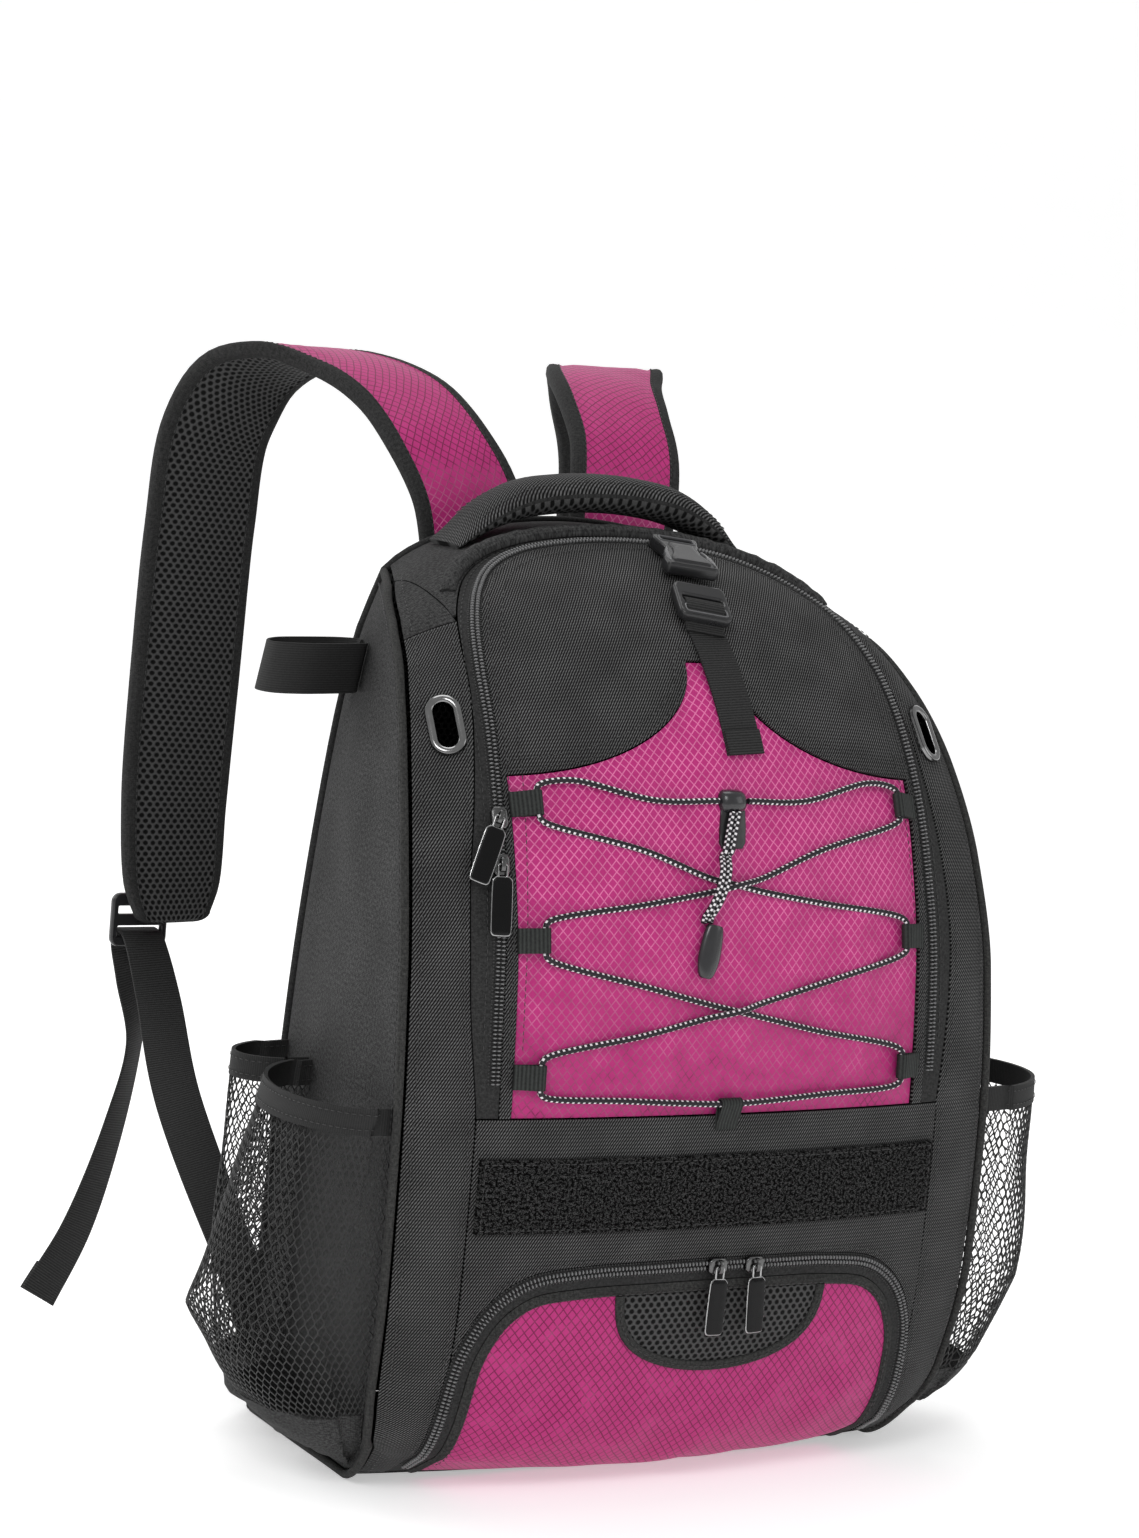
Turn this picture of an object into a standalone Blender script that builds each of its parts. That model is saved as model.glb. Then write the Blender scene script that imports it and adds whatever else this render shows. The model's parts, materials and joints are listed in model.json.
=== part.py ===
"""A sports backpack with a laced front flap, a shoe compartment, side net pockets and two shoulder straps.

Metres, +Z up. The front faces -Y and the wearer's back is at +Y. The origin is in the middle of the base,
on the surface that the bag stands on. Most of the bag is one curved skin, cut into sewn panels: a place on
it is (lateral, run), where run is the way along the middle line from the lower back edge, under the base,
up the front and over the top to the upper back edge.
"""

import math

import bmesh
import bpy
import numpy as np
from mathutils.geometry import delaunay_2d_cdt

# Driving sizes of the body
BODY_WIDTH = 0.356
BODY_DEPTH = 0.202
BODY_HEIGHT = 0.478
CLOTH = 0.0020
GAP = 0.0004
PIPING_RADIUS = 0.0022
BACK_PAD = 0.010
SIDE_BULGE = 0.004

# Zips and what runs on them
COIL_WIDTH = 0.0070
SLIDER_LENGTH = 0.0110
SLIDER_WIDTH = 0.0084
SLIDER_HEIGHT = 0.0032
BRIDGE_HEIGHT = 0.0034
BRIDGE_WIDTH = 0.0022
BRIDGE_WALL = 0.0010
PULL_LENGTH = 0.0290
PULL_WIDTH = 0.0108
PULL_THICKNESS = 0.0018
PULL_WIRE = 0.0006
PULL_REACH = 0.0062
MAIN_SLIDER_SPACING = 0.0240
SHOE_SLIDER_SPACING = 0.0225
MAIN_PULL_LEAN = 24.0

# Lacing
CORD_RADIUS = 0.0016
LACE_LOOP_WIDTH = 0.0125
LACE_LOOP_REACH = 0.0105
LACE_LOOP_WALL = 0.0009
TAIL_SPACING = 0.0037
CORD_END_LENGTH = 0.0270
CORD_END_WIDTH = 0.0125
CORD_END_THICKNESS = 0.0060
LOCK_WIDTH = 0.0170
LOCK_HEAD = 0.0100
LOCK_TAB = 0.0190
LOCK_HEIGHT = 0.0068
LOCK_FLAT = 0.0020

# Closure strap and its buckle
WEBBING_WIDTH = 0.0220
WEBBING_THICKNESS = 0.0016
BUCKLE_WIDTH = 0.0300
BUCKLE_THICKNESS = 0.0080
SOCKET_LENGTH = 0.0350
PLUG_LENGTH = 0.0250
BUCKLE_LIFT = GAP + WEBBING_THICKNESS + 0.0004

# Eyelets, loop strip and shoe vent
EYELET_LENGTH = 0.0330
EYELET_WIDTH = 0.0185
EYELET_RIM = 0.0042
EYELET_FIT = 0.0016
STRIP_HEIGHT = 0.0375
STRIP_THICKNESS = 0.0026
VENT_WIDTH = 0.1230
VENT_DEPTH = 0.0460

# Side pockets and loops
NET = 0.0012
POCKET_HEIGHT = 0.2000
ELASTIC_HEIGHT = 0.0260
ELASTIC_THICKNESS = 0.0016

# Carry handle and shoulder straps
HANDLE_WIDTH = 0.0340
HANDLE_THICKNESS = 0.0160
HANDLE_SPAN = 0.1760
HANDLE_RISE = 0.0115
STRAP_WIDTH = 0.0660
STRAP_THICKNESS = 0.0120
STRAP_ROOT = 0.0090
LOWER_WEBBING_WIDTH = 0.0250
ADJUSTER_WIDTH = 0.0340
ADJUSTER_LENGTH = 0.0300
ADJUSTER_THICKNESS = 0.0040
ADJUSTER_SHIFT = 0.0150
ADJUSTER_DROP = 0.0060
SIDE_LOOP_REACH = 0.0580

HALF = BODY_WIDTH / 2
BACK_Y = 0.416 * BODY_DEPTH
SEAM_INSET = PIPING_RADIUS + GAP
PIPING_SEAT = PIPING_RADIUS * 1.02
WALL_FOOT = PIPING_SEAT + SEAM_INSET

# Sections of the skin along its middle line: forward from the back, as a share of the depth; up, as a
# share of the height; half width, as a share of half the body width; crown, as a share of the depth
SKIN_SECTIONS = (
    (0.000, 0.000, 0.840, 0.000),
    (0.300, 0.000, 0.870, 0.000),
    (0.620, 0.000, 0.900, 0.010),
    (0.830, 0.018, 0.935, 0.100),
    (0.950, 0.092, 0.975, 0.115),
    (0.992, 0.230, 0.998, 0.095),
    (1.000, 0.400, 1.000, 0.100),
    (0.985, 0.560, 0.994, 0.120),
    (0.930, 0.690, 0.972, 0.145),
    (0.835, 0.805, 0.932, 0.170),
    (0.680, 0.902, 0.876, 0.182),
    (0.470, 0.965, 0.815, 0.180),
    (0.230, 0.994, 0.720, 0.165),
    (0.000, 1.000, 0.600, 0.150),
)
CROWN_ROUNDNESS = 0.93

# Half width of the back edge: up, as a share of the height; half width, as a share of half the body width
BACK_SECTIONS = (
    (0.000, 0.840),
    (0.220, 0.830),
    (0.450, 0.805),
    (0.700, 0.745),
    (0.860, 0.675),
    (0.937, 0.600),
)

# Lines on the skin: lateral, as a share of half the body width; run, as a share of the whole run
MAIN_ZIP_LINE = (
    (0.737, 0.4795),
    (0.737, 0.5570),
    (0.729, 0.6230),
    (0.708, 0.7330),
    (0.683, 0.7970),
    (0.638, 0.8400),
    (0.566, 0.8760),
    (0.478, 0.8990),
    (0.370, 0.9120),
    (0.200, 0.9180),
    (0.000, 0.9195),
)
GUSSET_LINE = (
    (0.784, 0.4795),
    (0.815, 0.5570),
    (0.812, 0.6250),
    (0.778, 0.6920),
    (0.735, 0.7640),
    (0.706, 0.8190),
    (0.668, 0.8540),
    (0.595, 0.8880),
    (0.496, 0.9100),
    (0.375, 0.9220),
    (0.200, 0.9275),
    (0.000, 0.9285),
)
SHOE_ZIP_LINE = (
    (0.786, 0.1800),
    (0.780, 0.2350),
    (0.775, 0.2850),
    (0.755, 0.3220),
    (0.690, 0.3520),
    (0.585, 0.3700),
    (0.420, 0.3760),
    (0.200, 0.3775),
    (0.000, 0.3780),
)
BASE_SEAM = 0.1800
BAND_SEAM = 0.4795
PATCH_SEAM = 0.8400
PATCH_INNER = 0.6900
STRIP_MIDDLE = 0.4290
STRIP_HALF_LENGTH = 0.7660
MAGENTA_EDGE = 0.6780
LOBE_CENTRE = (0.6460, 0.7850)
LOBE_SIZE = (0.5840, 0.0785)
SHOE_BINDING = 0.0450
VENT_MIDDLE = 0.0560
EYELET_PLACE = (0.8180, 0.7470)
LACE_RUNS = (0.6860, 0.5960, 0.5075)
LACE_EDGE = 0.6700
LOCK_RUN = 0.6860
LACE_FOOT_RUN = 0.4880
CROSSING_RUNS = (0.6310, 0.5490)
SOCKET_PLACE = (0.0900, 0.8780)
PLUG_PLACE = (0.0420, 0.8270)
CLOSURE_END = (0.0660, 0.7180)
BUCKLE_LEAN = -10.0
GRIP_PLACE = (-0.0970, 0.5880)
GRIP_LEAN = -12.0
MAIN_SLIDER_RUN = 0.6770

SIDE_LOOP_HEIGHT = 0.8370
HANDLE_Y = 0.272 * BODY_DEPTH

# Side pockets: name, side, front and back edges forward of the back as shares of the depth (None follows
# the front corner), belly as a share of the body width, then rim and foot as shares of the belly
POCKETS = (
    ("side_pocket_front_left", -1, None, 0.270, 0.214, 0.52, 0.34),
    ("side_pocket_front_right", 1, None, 0.270, 0.214, 0.94, 0.62),
    ("side_pocket_rear_left", -1, 0.255, 0.020, 0.104, 0.96, 0.62),
    ("side_pocket_rear_right", 1, 0.255, 0.020, 0.104, 0.96, 0.62),
)

# Side loop: forward of the back as a share of the depth, and out of the wall as a share of its reach
SIDE_LOOP = (
    (0.165, 0.00),
    (0.192, 0.02),
    (0.214, 0.20),
    (0.238, 0.62),
    (0.218, 0.90),
    (0.158, 1.00),
    (0.099, 0.90),
    (0.069, 0.60),
    (0.058, 0.20),
    (0.080, 0.02),
    (0.107, 0.00),
)

# Handle: lateral, as a share of half its span; rise, as a share of its rise; thickness, as a share of its own
HANDLE_ROWS = (
    (1.00, 0.00, 0.50),
    (0.90, 0.12, 0.62),
    (0.76, 0.42, 0.82),
    (0.52, 0.80, 1.00),
    (0.26, 0.96, 1.00),
    (0.00, 1.00, 1.00),
)

# Shoulder strap: lateral, as a share of half the body width; back from where it is sewn on and up, as shares
# of the body height; width, as a share of its own; padding, from the sewn root to the full thickness
STRAP_ROWS = (
    (0.247, 0.000, 0.889, 0.92, 0.00),
    (0.253, 0.000, 0.952, 0.96, 0.00),
    (0.275, 0.009, 1.015, 1.00, 0.30),
    (0.331, 0.048, 1.077, 1.00, 0.70),
    (0.376, 0.107, 1.123, 1.00, 1.00),
    (0.449, 0.174, 1.148, 1.00, 1.00),
    (0.556, 0.237, 1.153, 1.00, 1.00),
    (0.652, 0.287, 1.125, 1.00, 1.00),
    (0.719, 0.310, 1.063, 1.00, 1.00),
    (0.742, 0.316, 0.952, 1.00, 1.00),
    (0.758, 0.314, 0.795, 1.00, 1.00),
    (0.775, 0.306, 0.628, 0.96, 1.00),
    (0.772, 0.298, 0.530, 0.86, 0.95),
    (0.770, 0.295, 0.502, 0.70, 0.80),
)


def body_curve(rows, at):
    """Smooth monotone columns through rows whose first column rises, at the given values of it."""
    rows = np.array(rows, float)
    x, columns = rows[:, 0], rows[:, 1:]
    at = np.clip(at, x[0], x[-1])
    step = np.diff(x)
    slope = np.diff(columns, axis=0) / step[:, None]
    tangent = np.vstack([slope[:1], slope[:-1], slope[-1:]])
    for i in range(1, len(x) - 1):
        before, after = slope[i - 1], slope[i]
        w1, w2 = 2 * step[i] + step[i - 1], step[i] + 2 * step[i - 1]
        with np.errstate(divide="ignore", invalid="ignore"):
            mean = (w1 + w2) / (w1 / before + w2 / after)
        tangent[i] = np.where(before * after > 0, mean, 0)
    i = np.clip(np.searchsorted(x, at, side="right") - 1, 0, len(x) - 2)
    t, h = ((at - x[i]) / step[i])[:, None], step[i][:, None]
    return (
        (2 * t**3 - 3 * t**2 + 1) * columns[i]
        + (t**3 - 2 * t**2 + t) * h * tangent[i]
        + (3 * t**2 - 2 * t**3) * columns[i + 1]
        + (t**3 - t**2) * h * tangent[i + 1]
    )


def build_profile():
    """The middle line of the skin, evenly sampled: run, then y, z, half width, crown and the direction."""
    rows = np.array(SKIN_SECTIONS)
    columns = np.column_stack(
        [
            BACK_Y - rows[:, 0] * BODY_DEPTH,
            rows[:, 1] * BODY_HEIGHT,
            rows[:, 2] * HALF,
            rows[:, 3] * BODY_DEPTH,
        ]
    )
    chord = np.concatenate([[0], np.cumsum(np.linalg.norm(np.diff(columns[:, :2], axis=0), axis=1))])
    fine = body_curve(np.column_stack([chord, columns]), np.linspace(0, chord[-1], 1201))
    run = np.concatenate([[0], np.cumsum(np.linalg.norm(np.diff(fine[:, :2], axis=0), axis=1))])
    along = np.gradient(fine[:, :2], run, axis=0)
    along /= np.linalg.norm(along, axis=1)[:, None]
    return run, np.column_stack([fine, along])


RUN_TABLE, PROFILE = build_profile()
RUN = RUN_TABLE[-1]


def profile_at(run):
    return [np.interp(run, RUN_TABLE, PROFILE[:, k]) for k in range(6)]


def half_width(run):
    return np.interp(run, RUN_TABLE, PROFILE[:, 2])


def skin_surface(lateral, run):
    lateral, run = np.broadcast_arrays(np.asarray(lateral, float), np.asarray(run, float))
    y, z, half, crown, along_y, along_z = profile_at(run)
    t = np.clip(lateral / half, -1, 1)
    drop = 1 - np.sqrt(1 - (CROWN_ROUNDNESS * t) ** 2)
    drop = crown * drop / (1 - math.sqrt(1 - CROWN_ROUNDNESS**2))
    return np.stack([lateral, y + along_z * drop, z - along_y * drop], -1)


def unit(v):
    return v / np.linalg.norm(v, axis=-1, keepdims=True)


def skin(lateral, run, out=0.0):
    """Points of the skin, moved out of the bag by the given distance."""
    lateral, run = np.broadcast_arrays(np.asarray(lateral, float), np.asarray(run, float))
    e = 0.0005
    across = skin_surface(lateral + e, run) - skin_surface(lateral - e, run)
    up = skin_surface(lateral, np.minimum(run + e, RUN)) - skin_surface(lateral, np.maximum(run - e, 0))
    return skin_surface(lateral, run) + unit(np.cross(across, up)) * np.asarray(out)[..., None]


def skin_frame(lateral, run, out=0.0):
    """Origin, and the directions across, up the skin and out of it."""
    e = 0.002
    origin = skin(lateral, run, out)
    across = unit(skin(lateral + e, run) - skin(lateral - e, run))
    up = skin(lateral, run + e) - skin(lateral, run - e)
    up = unit(up - across * np.dot(up, across))
    return origin, across, up, np.cross(across, up)


def true_to_skin(lateral, run, offsets):
    """Places on the skin for offsets across and up that are measured on the cloth itself."""
    e = 0.002
    _, across, up, _ = skin_frame(lateral, run)
    per_lateral = (skin(lateral + e, run) - skin(lateral - e, run)) / (2 * e)
    per_run = (skin(lateral, run + e) - skin(lateral, run - e)) / (2 * e)
    offsets = np.asarray(offsets, float)
    rise = offsets[:, 1] / np.dot(per_run, up)
    shift = (offsets[:, 0] - rise * np.dot(per_run, across)) / np.dot(per_lateral, across)
    return np.column_stack([lateral + shift, run + rise])


# The front corner, where the skin meets the side panels, and the back edge
CORNER_RUN = np.linspace(0, RUN, 600)
CORNER = skin_surface(half_width(CORNER_RUN), CORNER_RUN)
FRONT_CORNER = CORNER[np.argmin(CORNER[:, 2] < 0.001 * BODY_HEIGHT) :]


def back_half_width(z):
    return body_curve(BACK_SECTIONS, np.atleast_1d(z) / BODY_HEIGHT)[:, 0] * HALF


def corner_y(z):
    return np.interp(z, FRONT_CORNER[:, 2], FRONT_CORNER[:, 1])


def side_surface(y, z):
    """The left and right walls as a positive x, between the back edge and the front corner at each height."""
    y, z = np.broadcast_arrays(np.asarray(y, float), np.asarray(z, float))
    front_x = np.interp(z, FRONT_CORNER[:, 2], FRONT_CORNER[:, 0])
    back_x = back_half_width(z.ravel()).reshape(z.shape)
    share = np.clip((BACK_Y - y) / np.maximum(BACK_Y - corner_y(z), 0.001), 0, 1)
    swell = SIDE_BULGE * np.sin(math.pi * share) * np.sin(math.pi * np.clip(z / FRONT_CORNER[-1, 2], 0, 1))
    return np.stack([back_x + (front_x - back_x) * share + swell, y, z], -1)


def side(y, z, out=0.0):
    e = 0.001
    forward = side_surface(y - e, z) - side_surface(y + e, z)
    up = side_surface(y, z + e) - side_surface(y, np.maximum(z - e, 0))
    return side_surface(y, z) + unit(np.cross(up, forward)) * np.asarray(out)[..., None]


def material(name, colour, roughness, metallic=0.0):
    made = bpy.data.materials.get(name) or bpy.data.materials.new(name)
    made.use_nodes = True
    shader = made.node_tree.nodes["Principled BSDF"]
    shader.inputs["Base Color"].default_value = (*colour, 1)
    shader.inputs["Roughness"].default_value = roughness
    shader.inputs["Metallic"].default_value = metallic
    made.diffuse_color = (*colour, 1)
    return made


def finish(name, points, faces, look, origin=(0, 0, 0), smooth=None):
    """An object from points and faces, with its faces turned outwards."""
    mesh = bpy.data.meshes.new(name)
    origin = np.asarray(origin, float)
    points = np.asarray(points, float)
    total = 0.0
    for face in faces:
        for j in range(1, len(face) - 1):
            total += np.dot(points[face[0]], np.cross(points[face[j]], points[face[j + 1]]))
    if total < 0:
        faces = [tuple(reversed(face)) for face in faces]
    mesh.from_pydata([tuple(p) for p in points - origin], [], [tuple(int(i) for i in f) for f in faces])
    mesh.validate()
    mesh.materials.append(look)
    if smooth is not None:
        mesh.shade_smooth()
        mesh.set_sharp_from_angle(angle=math.radians(smooth))
    made = bpy.data.objects.new(name, mesh)
    made.location = origin
    bpy.context.scene.collection.objects.link(made)
    return made


def smooth_line(points, spacing):
    """A smooth curve through the points, sampled about evenly."""
    points = np.asarray(points, float)
    ends = np.vstack([2 * points[0] - points[1], points, 2 * points[-1] - points[-2]])
    found = []
    for i in range(1, len(ends) - 2):
        p0, p1, p2, p3 = ends[i - 1 : i + 3]
        d1, d2, d3 = (max(np.linalg.norm(b - a) ** 0.5, 1e-6) for a, b in ((p0, p1), (p1, p2), (p2, p3)))
        m1 = d2 * ((p1 - p0) / d1 - (p2 - p0) / (d1 + d2)) + (p2 - p1)
        m2 = d2 * ((p3 - p2) / d3 - (p3 - p1) / (d2 + d3)) + (p2 - p1)
        count = max(int(math.ceil(np.linalg.norm(p2 - p1) / spacing)), 1)
        for t in np.arange(count) / count:
            found.append(
                (2 * t**3 - 3 * t**2 + 1) * p1
                + (t**3 - 2 * t**2 + t) * m1
                + (3 * t**2 - 2 * t**3) * p2
                + (t**3 - t**2) * m2
            )
    return np.array(found + [points[-1]])


def even(line, spacing):
    """The line with a point about every spacing, its ends kept."""
    line = np.asarray(line, float)
    length = np.concatenate([[0], np.cumsum(np.linalg.norm(np.diff(line, axis=0), axis=1))])
    count = max(int(round(length[-1] / spacing)), 1)
    at = np.linspace(0, length[-1], count + 1)
    return np.column_stack([np.interp(at, length, line[:, k]) for k in range(line.shape[1])])


def bent(line, count, straight=0.030, turn=0.40):
    """Count points of the line, closer together where it bends."""
    line = np.asarray(line, float)
    step = np.diff(line[:, :3], axis=0)
    direction = unit(step)
    cosine = np.clip((direction[1:] * direction[:-1]).sum(1), -1, 1)
    angle = np.concatenate([[0], np.arccos(cosine), [0]])
    weight = np.linalg.norm(step, axis=1) / straight + (angle[1:] + angle[:-1]) / 2 / turn
    weight = np.concatenate([[0], np.cumsum(weight)])
    at = np.linspace(0, weight[-1], count)
    return np.column_stack([np.interp(at, weight, line[:, k]) for k in range(line.shape[1])])


def offset_line(line, distance):
    """The line moved to its left by the distance."""
    tangent = unit(np.gradient(np.asarray(line, float), axis=0))
    return line + distance * np.column_stack([-tangent[:, 1], tangent[:, 0]])


def within(points, loop):
    """Which points lie inside the closed loop."""
    inside = np.zeros(len(points), bool)
    for a, b in zip(loop, np.roll(loop, -1, axis=0)):
        rise = (a[1] > points[:, 1]) != (b[1] > points[:, 1])
        with np.errstate(divide="ignore", invalid="ignore"):
            cross = a[0] + (points[:, 1] - a[1]) * (b[0] - a[0]) / (b[1] - a[1])
        inside ^= rise & (points[:, 0] < cross)
    return inside


def distance_to(points, loop):
    ends = np.roll(loop, -1, axis=0)
    along = ends - loop
    length = np.maximum((along**2).sum(1), 1e-18)
    t = np.clip(((points[:, None] - loop) * along).sum(-1) / length, 0, 1)
    return np.linalg.norm(points[:, None] - loop - t[..., None] * along, axis=-1).min(1)


def fill(outline, holes, cell):
    """Triangles that cover a flat outline with holes: points, then faces."""
    loops = [np.asarray(loop, float) for loop in (outline, *holes)]
    low, high = loops[0].min(0), loops[0].max(0)
    rows = np.arange(low[1] + cell / 2, high[1], cell * 0.87)
    grid = [
        (x, y)
        for i, y in enumerate(rows)
        for x in np.arange((low[0] + high[0]) / 2 - 20 * cell + (i % 2) * cell / 2, high[0], cell)
        if x > low[0]
    ]
    grid = np.array(grid).reshape(-1, 2)
    keep = within(grid, loops[0])
    for hole in loops[1:]:
        keep &= ~within(grid, hole)
    grid = grid[keep]
    if len(grid):
        grid = grid[np.min([distance_to(grid, loop) for loop in loops], axis=0) > 0.5 * cell]
    edges, points = [], []
    for loop in loops:
        start = len(points)
        points += [tuple(p) for p in loop]
        edges += [(start + i, start + (i + 1) % len(loop)) for i in range(len(loop))]
    points += [tuple(p) for p in grid]
    made, _, faces, *_ = delaunay_2d_cdt(points, edges, [], 1, 1e-7)
    made = np.array([tuple(v) for v in made])
    middles = np.array([made[list(face)].mean(0) for face in faces])
    keep = within(middles, loops[0])
    for hole in loops[1:]:
        keep &= ~within(middles, hole)
    return made, [face for face, kept in zip(faces, keep) if kept]


def rim_edges(faces):
    """Edges that only one face has, in that face's direction."""
    rim = {}
    for face in faces:
        for a, b in zip(face, (*face[1:], face[0])):
            if (b, a) in rim:
                del rim[b, a]
            else:
                rim[a, b] = True
    return list(rim)


def sheet(name, outline, place, inner, outer, look, cell=0.030, holes=(), smooth=40):
    """A closed wall over a flat outline: place(points, out) gives the points in space."""
    flat, faces = fill(outline, holes, cell)
    count = len(flat)
    points = np.vstack([place(flat, inner), place(flat, outer)])
    walls = [(a, a + count, b + count, b) for a, b in rim_edges(faces)]
    solid = [tuple(reversed(face)) for face in faces] + [tuple(i + count for i in f) for f in faces]
    solid += [tuple(reversed(wall)) for wall in walls]
    return finish(name, points, solid, look, smooth=smooth)


def on_skin(flat, out):
    return skin(flat[:, 0], flat[:, 1], np.full(len(flat), out))


def on_side(direction):
    def place(flat, out):
        return side(flat[:, 0], flat[:, 1], np.full(len(flat), out)) * (direction, 1, 1)

    return place


def skin_line(rows, spacing=0.016):
    """One half of a symmetric line on the skin, from its foot to the middle of the top."""
    return smooth_line(np.array(rows) * (HALF, RUN), spacing)


def arch(line):
    """The whole symmetric line from its left foot, over the top, to its right foot."""
    return np.vstack([line * (-1, 1), line[::-1][1:]])


def edge_line(low, high, count=20):
    """Where panels stop beside the front piping, on the right."""
    run = np.linspace(low, high, count)
    return np.column_stack([half_width(run) - SEAM_INSET - 2 * GAP, run])


def back_run(lateral):
    """The run at which the top stops beside the piping round the back."""
    overhang = skin_surface(lateral, RUN - SEAM_INSET)[..., 1] - (BACK_Y - SEAM_INSET)
    return RUN - SEAM_INSET - overhang


def corner_path():
    """The right front piping's middle line, from the back of the base round to the back of the top."""
    run = np.linspace(SEAM_INSET * 2.2, RUN - SEAM_INSET * 2.2, 400)
    path = skin_surface(half_width(run), run)
    path[:, 2] = np.maximum(path[:, 2], PIPING_SEAT)
    return bent(path, 36, 0.035, 0.13)


def side_edge(inset):
    """The front edge of the side walls in y and z, inside the piping's line by the inset."""
    fine = even(corner_path()[:, 1:], 0.002)
    edge = offset_line(fine, -inset - GAP / 2)
    return edge[edge[:, 0] < BACK_Y - inset]


def sweep(name, centres, across, section, look, smooth=40):
    """A section swept along centres: its points are (along across, along the normal) at each centre."""
    centres, across = np.asarray(centres, float), unit(np.asarray(across, float))
    tangent = unit(np.gradient(centres, axis=0))
    across = unit(across - tangent * (across * tangent).sum(1)[:, None])
    normal = np.cross(across, tangent)
    sections = np.asarray(section, float)
    if sections.ndim == 2:
        sections = np.broadcast_to(sections, (len(centres), *sections.shape))
    count = sections.shape[1]
    points = (
        centres[:, None]
        + sections[..., :1] * across[:, None]
        + sections[..., 1:] * normal[:, None]
    ).reshape(-1, 3)
    faces = []
    for i in range(len(centres) - 1):
        for j in range(count):
            a, b = i * count + j, i * count + (j + 1) % count
            faces.append((a, b, b + count, a + count))
    faces.append(tuple(range(count))[::-1])
    faces.append(tuple((len(centres) - 1) * count + j for j in range(count)))
    return finish(name, points, faces, look, smooth=smooth)


def flat_section(width, thickness):
    return ((-width / 2, 0), (width / 2, 0), (width / 2, thickness), (-width / 2, thickness))


def pad_section(width, thickness, edge):
    """A cushioned section, thickest in the middle, centred on its path."""
    half, thick = width / 2, thickness / 2
    shape = ((-1, -edge), (-0.72, -1), (0, -1.12), (0.72, -1), (1, -edge))
    return [(u * half, v * thick) for u, v in shape] + [(-u * half, -v * thick) for u, v in shape]


def tube(name, points, radius, look, cyclic=False, resolution=2):
    """A round cord or piping along the points."""
    curve = bpy.data.curves.new(name, "CURVE")
    curve.dimensions = "3D"
    spline = curve.splines.new("POLY")
    spline.points.add(len(points) - 1)
    for point, place in zip(spline.points, points):
        point.co = (*place, 1)
    spline.use_cyclic_u = cyclic
    curve.bevel_depth = radius
    curve.bevel_resolution = resolution
    curve.use_fill_caps = not cyclic
    curve.materials.append(look)
    made = bpy.data.objects.new(name, curve)
    bpy.context.scene.collection.objects.link(made)
    return made


def block(frame, outline, low, high, holes=()):
    """Points and faces of a plate: a flat outline in the frame's across and up, between two heights."""
    flat, faces = fill(outline, holes, 1.0)
    origin, across, up, out = frame
    base = origin + flat[:, :1] * across + flat[:, 1:] * up
    points = np.vstack([base + low * out, base + high * out])
    count = len(flat)
    solid = [tuple(reversed(face)) for face in faces] + [tuple(i + count for i in f) for f in faces]
    solid += [(b, b + count, a + count, a) for a, b in rim_edges(faces)]
    return points, solid


def plate(name, frame, outline, low, high, look, holes=(), smooth=35):
    points, faces = block(frame, outline, low, high, holes)
    return finish(name, points, faces, look, smooth=smooth)


def combine(base, other, operation):
    modifier = base.modifiers.new(operation.lower(), "BOOLEAN")
    modifier.operation = operation
    modifier.solver = "EXACT"
    modifier.object = other


def oval(width, length, corner_points=5, middle=(0, 0)):
    """A slot outline with round ends, its length along the second axis."""
    radius, straight = width / 2, (length - width) / 2
    angles = np.linspace(0, math.pi, corner_points)
    top = [(radius * math.cos(t), straight + radius * math.sin(t)) for t in angles]
    return [(x + middle[0], y + middle[1]) for x, y in top + [(-x, -y) for x, y in top]]


def rectangle(width, low, high):
    return [(-width / 2, low), (width / 2, low), (width / 2, high), (-width / 2, high)]


def turned(frame, degrees, middle=(0, 0)):
    """The frame turned about its outward direction, after a move across and up."""
    origin, across, up, out = frame
    c, s = math.cos(math.radians(degrees)), math.sin(math.radians(degrees))
    return (
        origin + middle[0] * across + middle[1] * up,
        c * across + s * up,
        c * up - s * across,
        out,
    )


BLACK = (0.018, 0.018, 0.020)
TWILL = material("black_twill", BLACK, 0.82)
SMOOTH_CLOTH = material("black_cloth", (0.026, 0.026, 0.029), 0.74)
MAGENTA = material("magenta_ripstop", (0.520, 0.036, 0.205), 0.52)
AIR_MESH = material("black_air_mesh", (0.014, 0.014, 0.015), 0.90)
FUZZ = material("black_loop_pile", (0.006, 0.006, 0.006), 0.96)
BINDING = material("black_binding", (0.016, 0.016, 0.018), 0.70)
COIL = material("black_zip", (0.020, 0.020, 0.022), 0.45)
PULL = material("black_enamel", (0.012, 0.012, 0.013), 0.22)
METAL = material("dark_chrome", (0.420, 0.420, 0.440), 0.24, 1.0)
PLASTIC = material("black_plastic", (0.022, 0.022, 0.024), 0.42)
CORD = material("speckled_cord", (0.120, 0.115, 0.120), 0.66)
ELASTIC = material("black_elastic", (0.020, 0.020, 0.022), 0.76)
NETTING = material("black_netting", (0.020, 0.020, 0.022), 0.72)
WEBBING = material("black_webbing", (0.017, 0.017, 0.019), 0.78)


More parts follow.
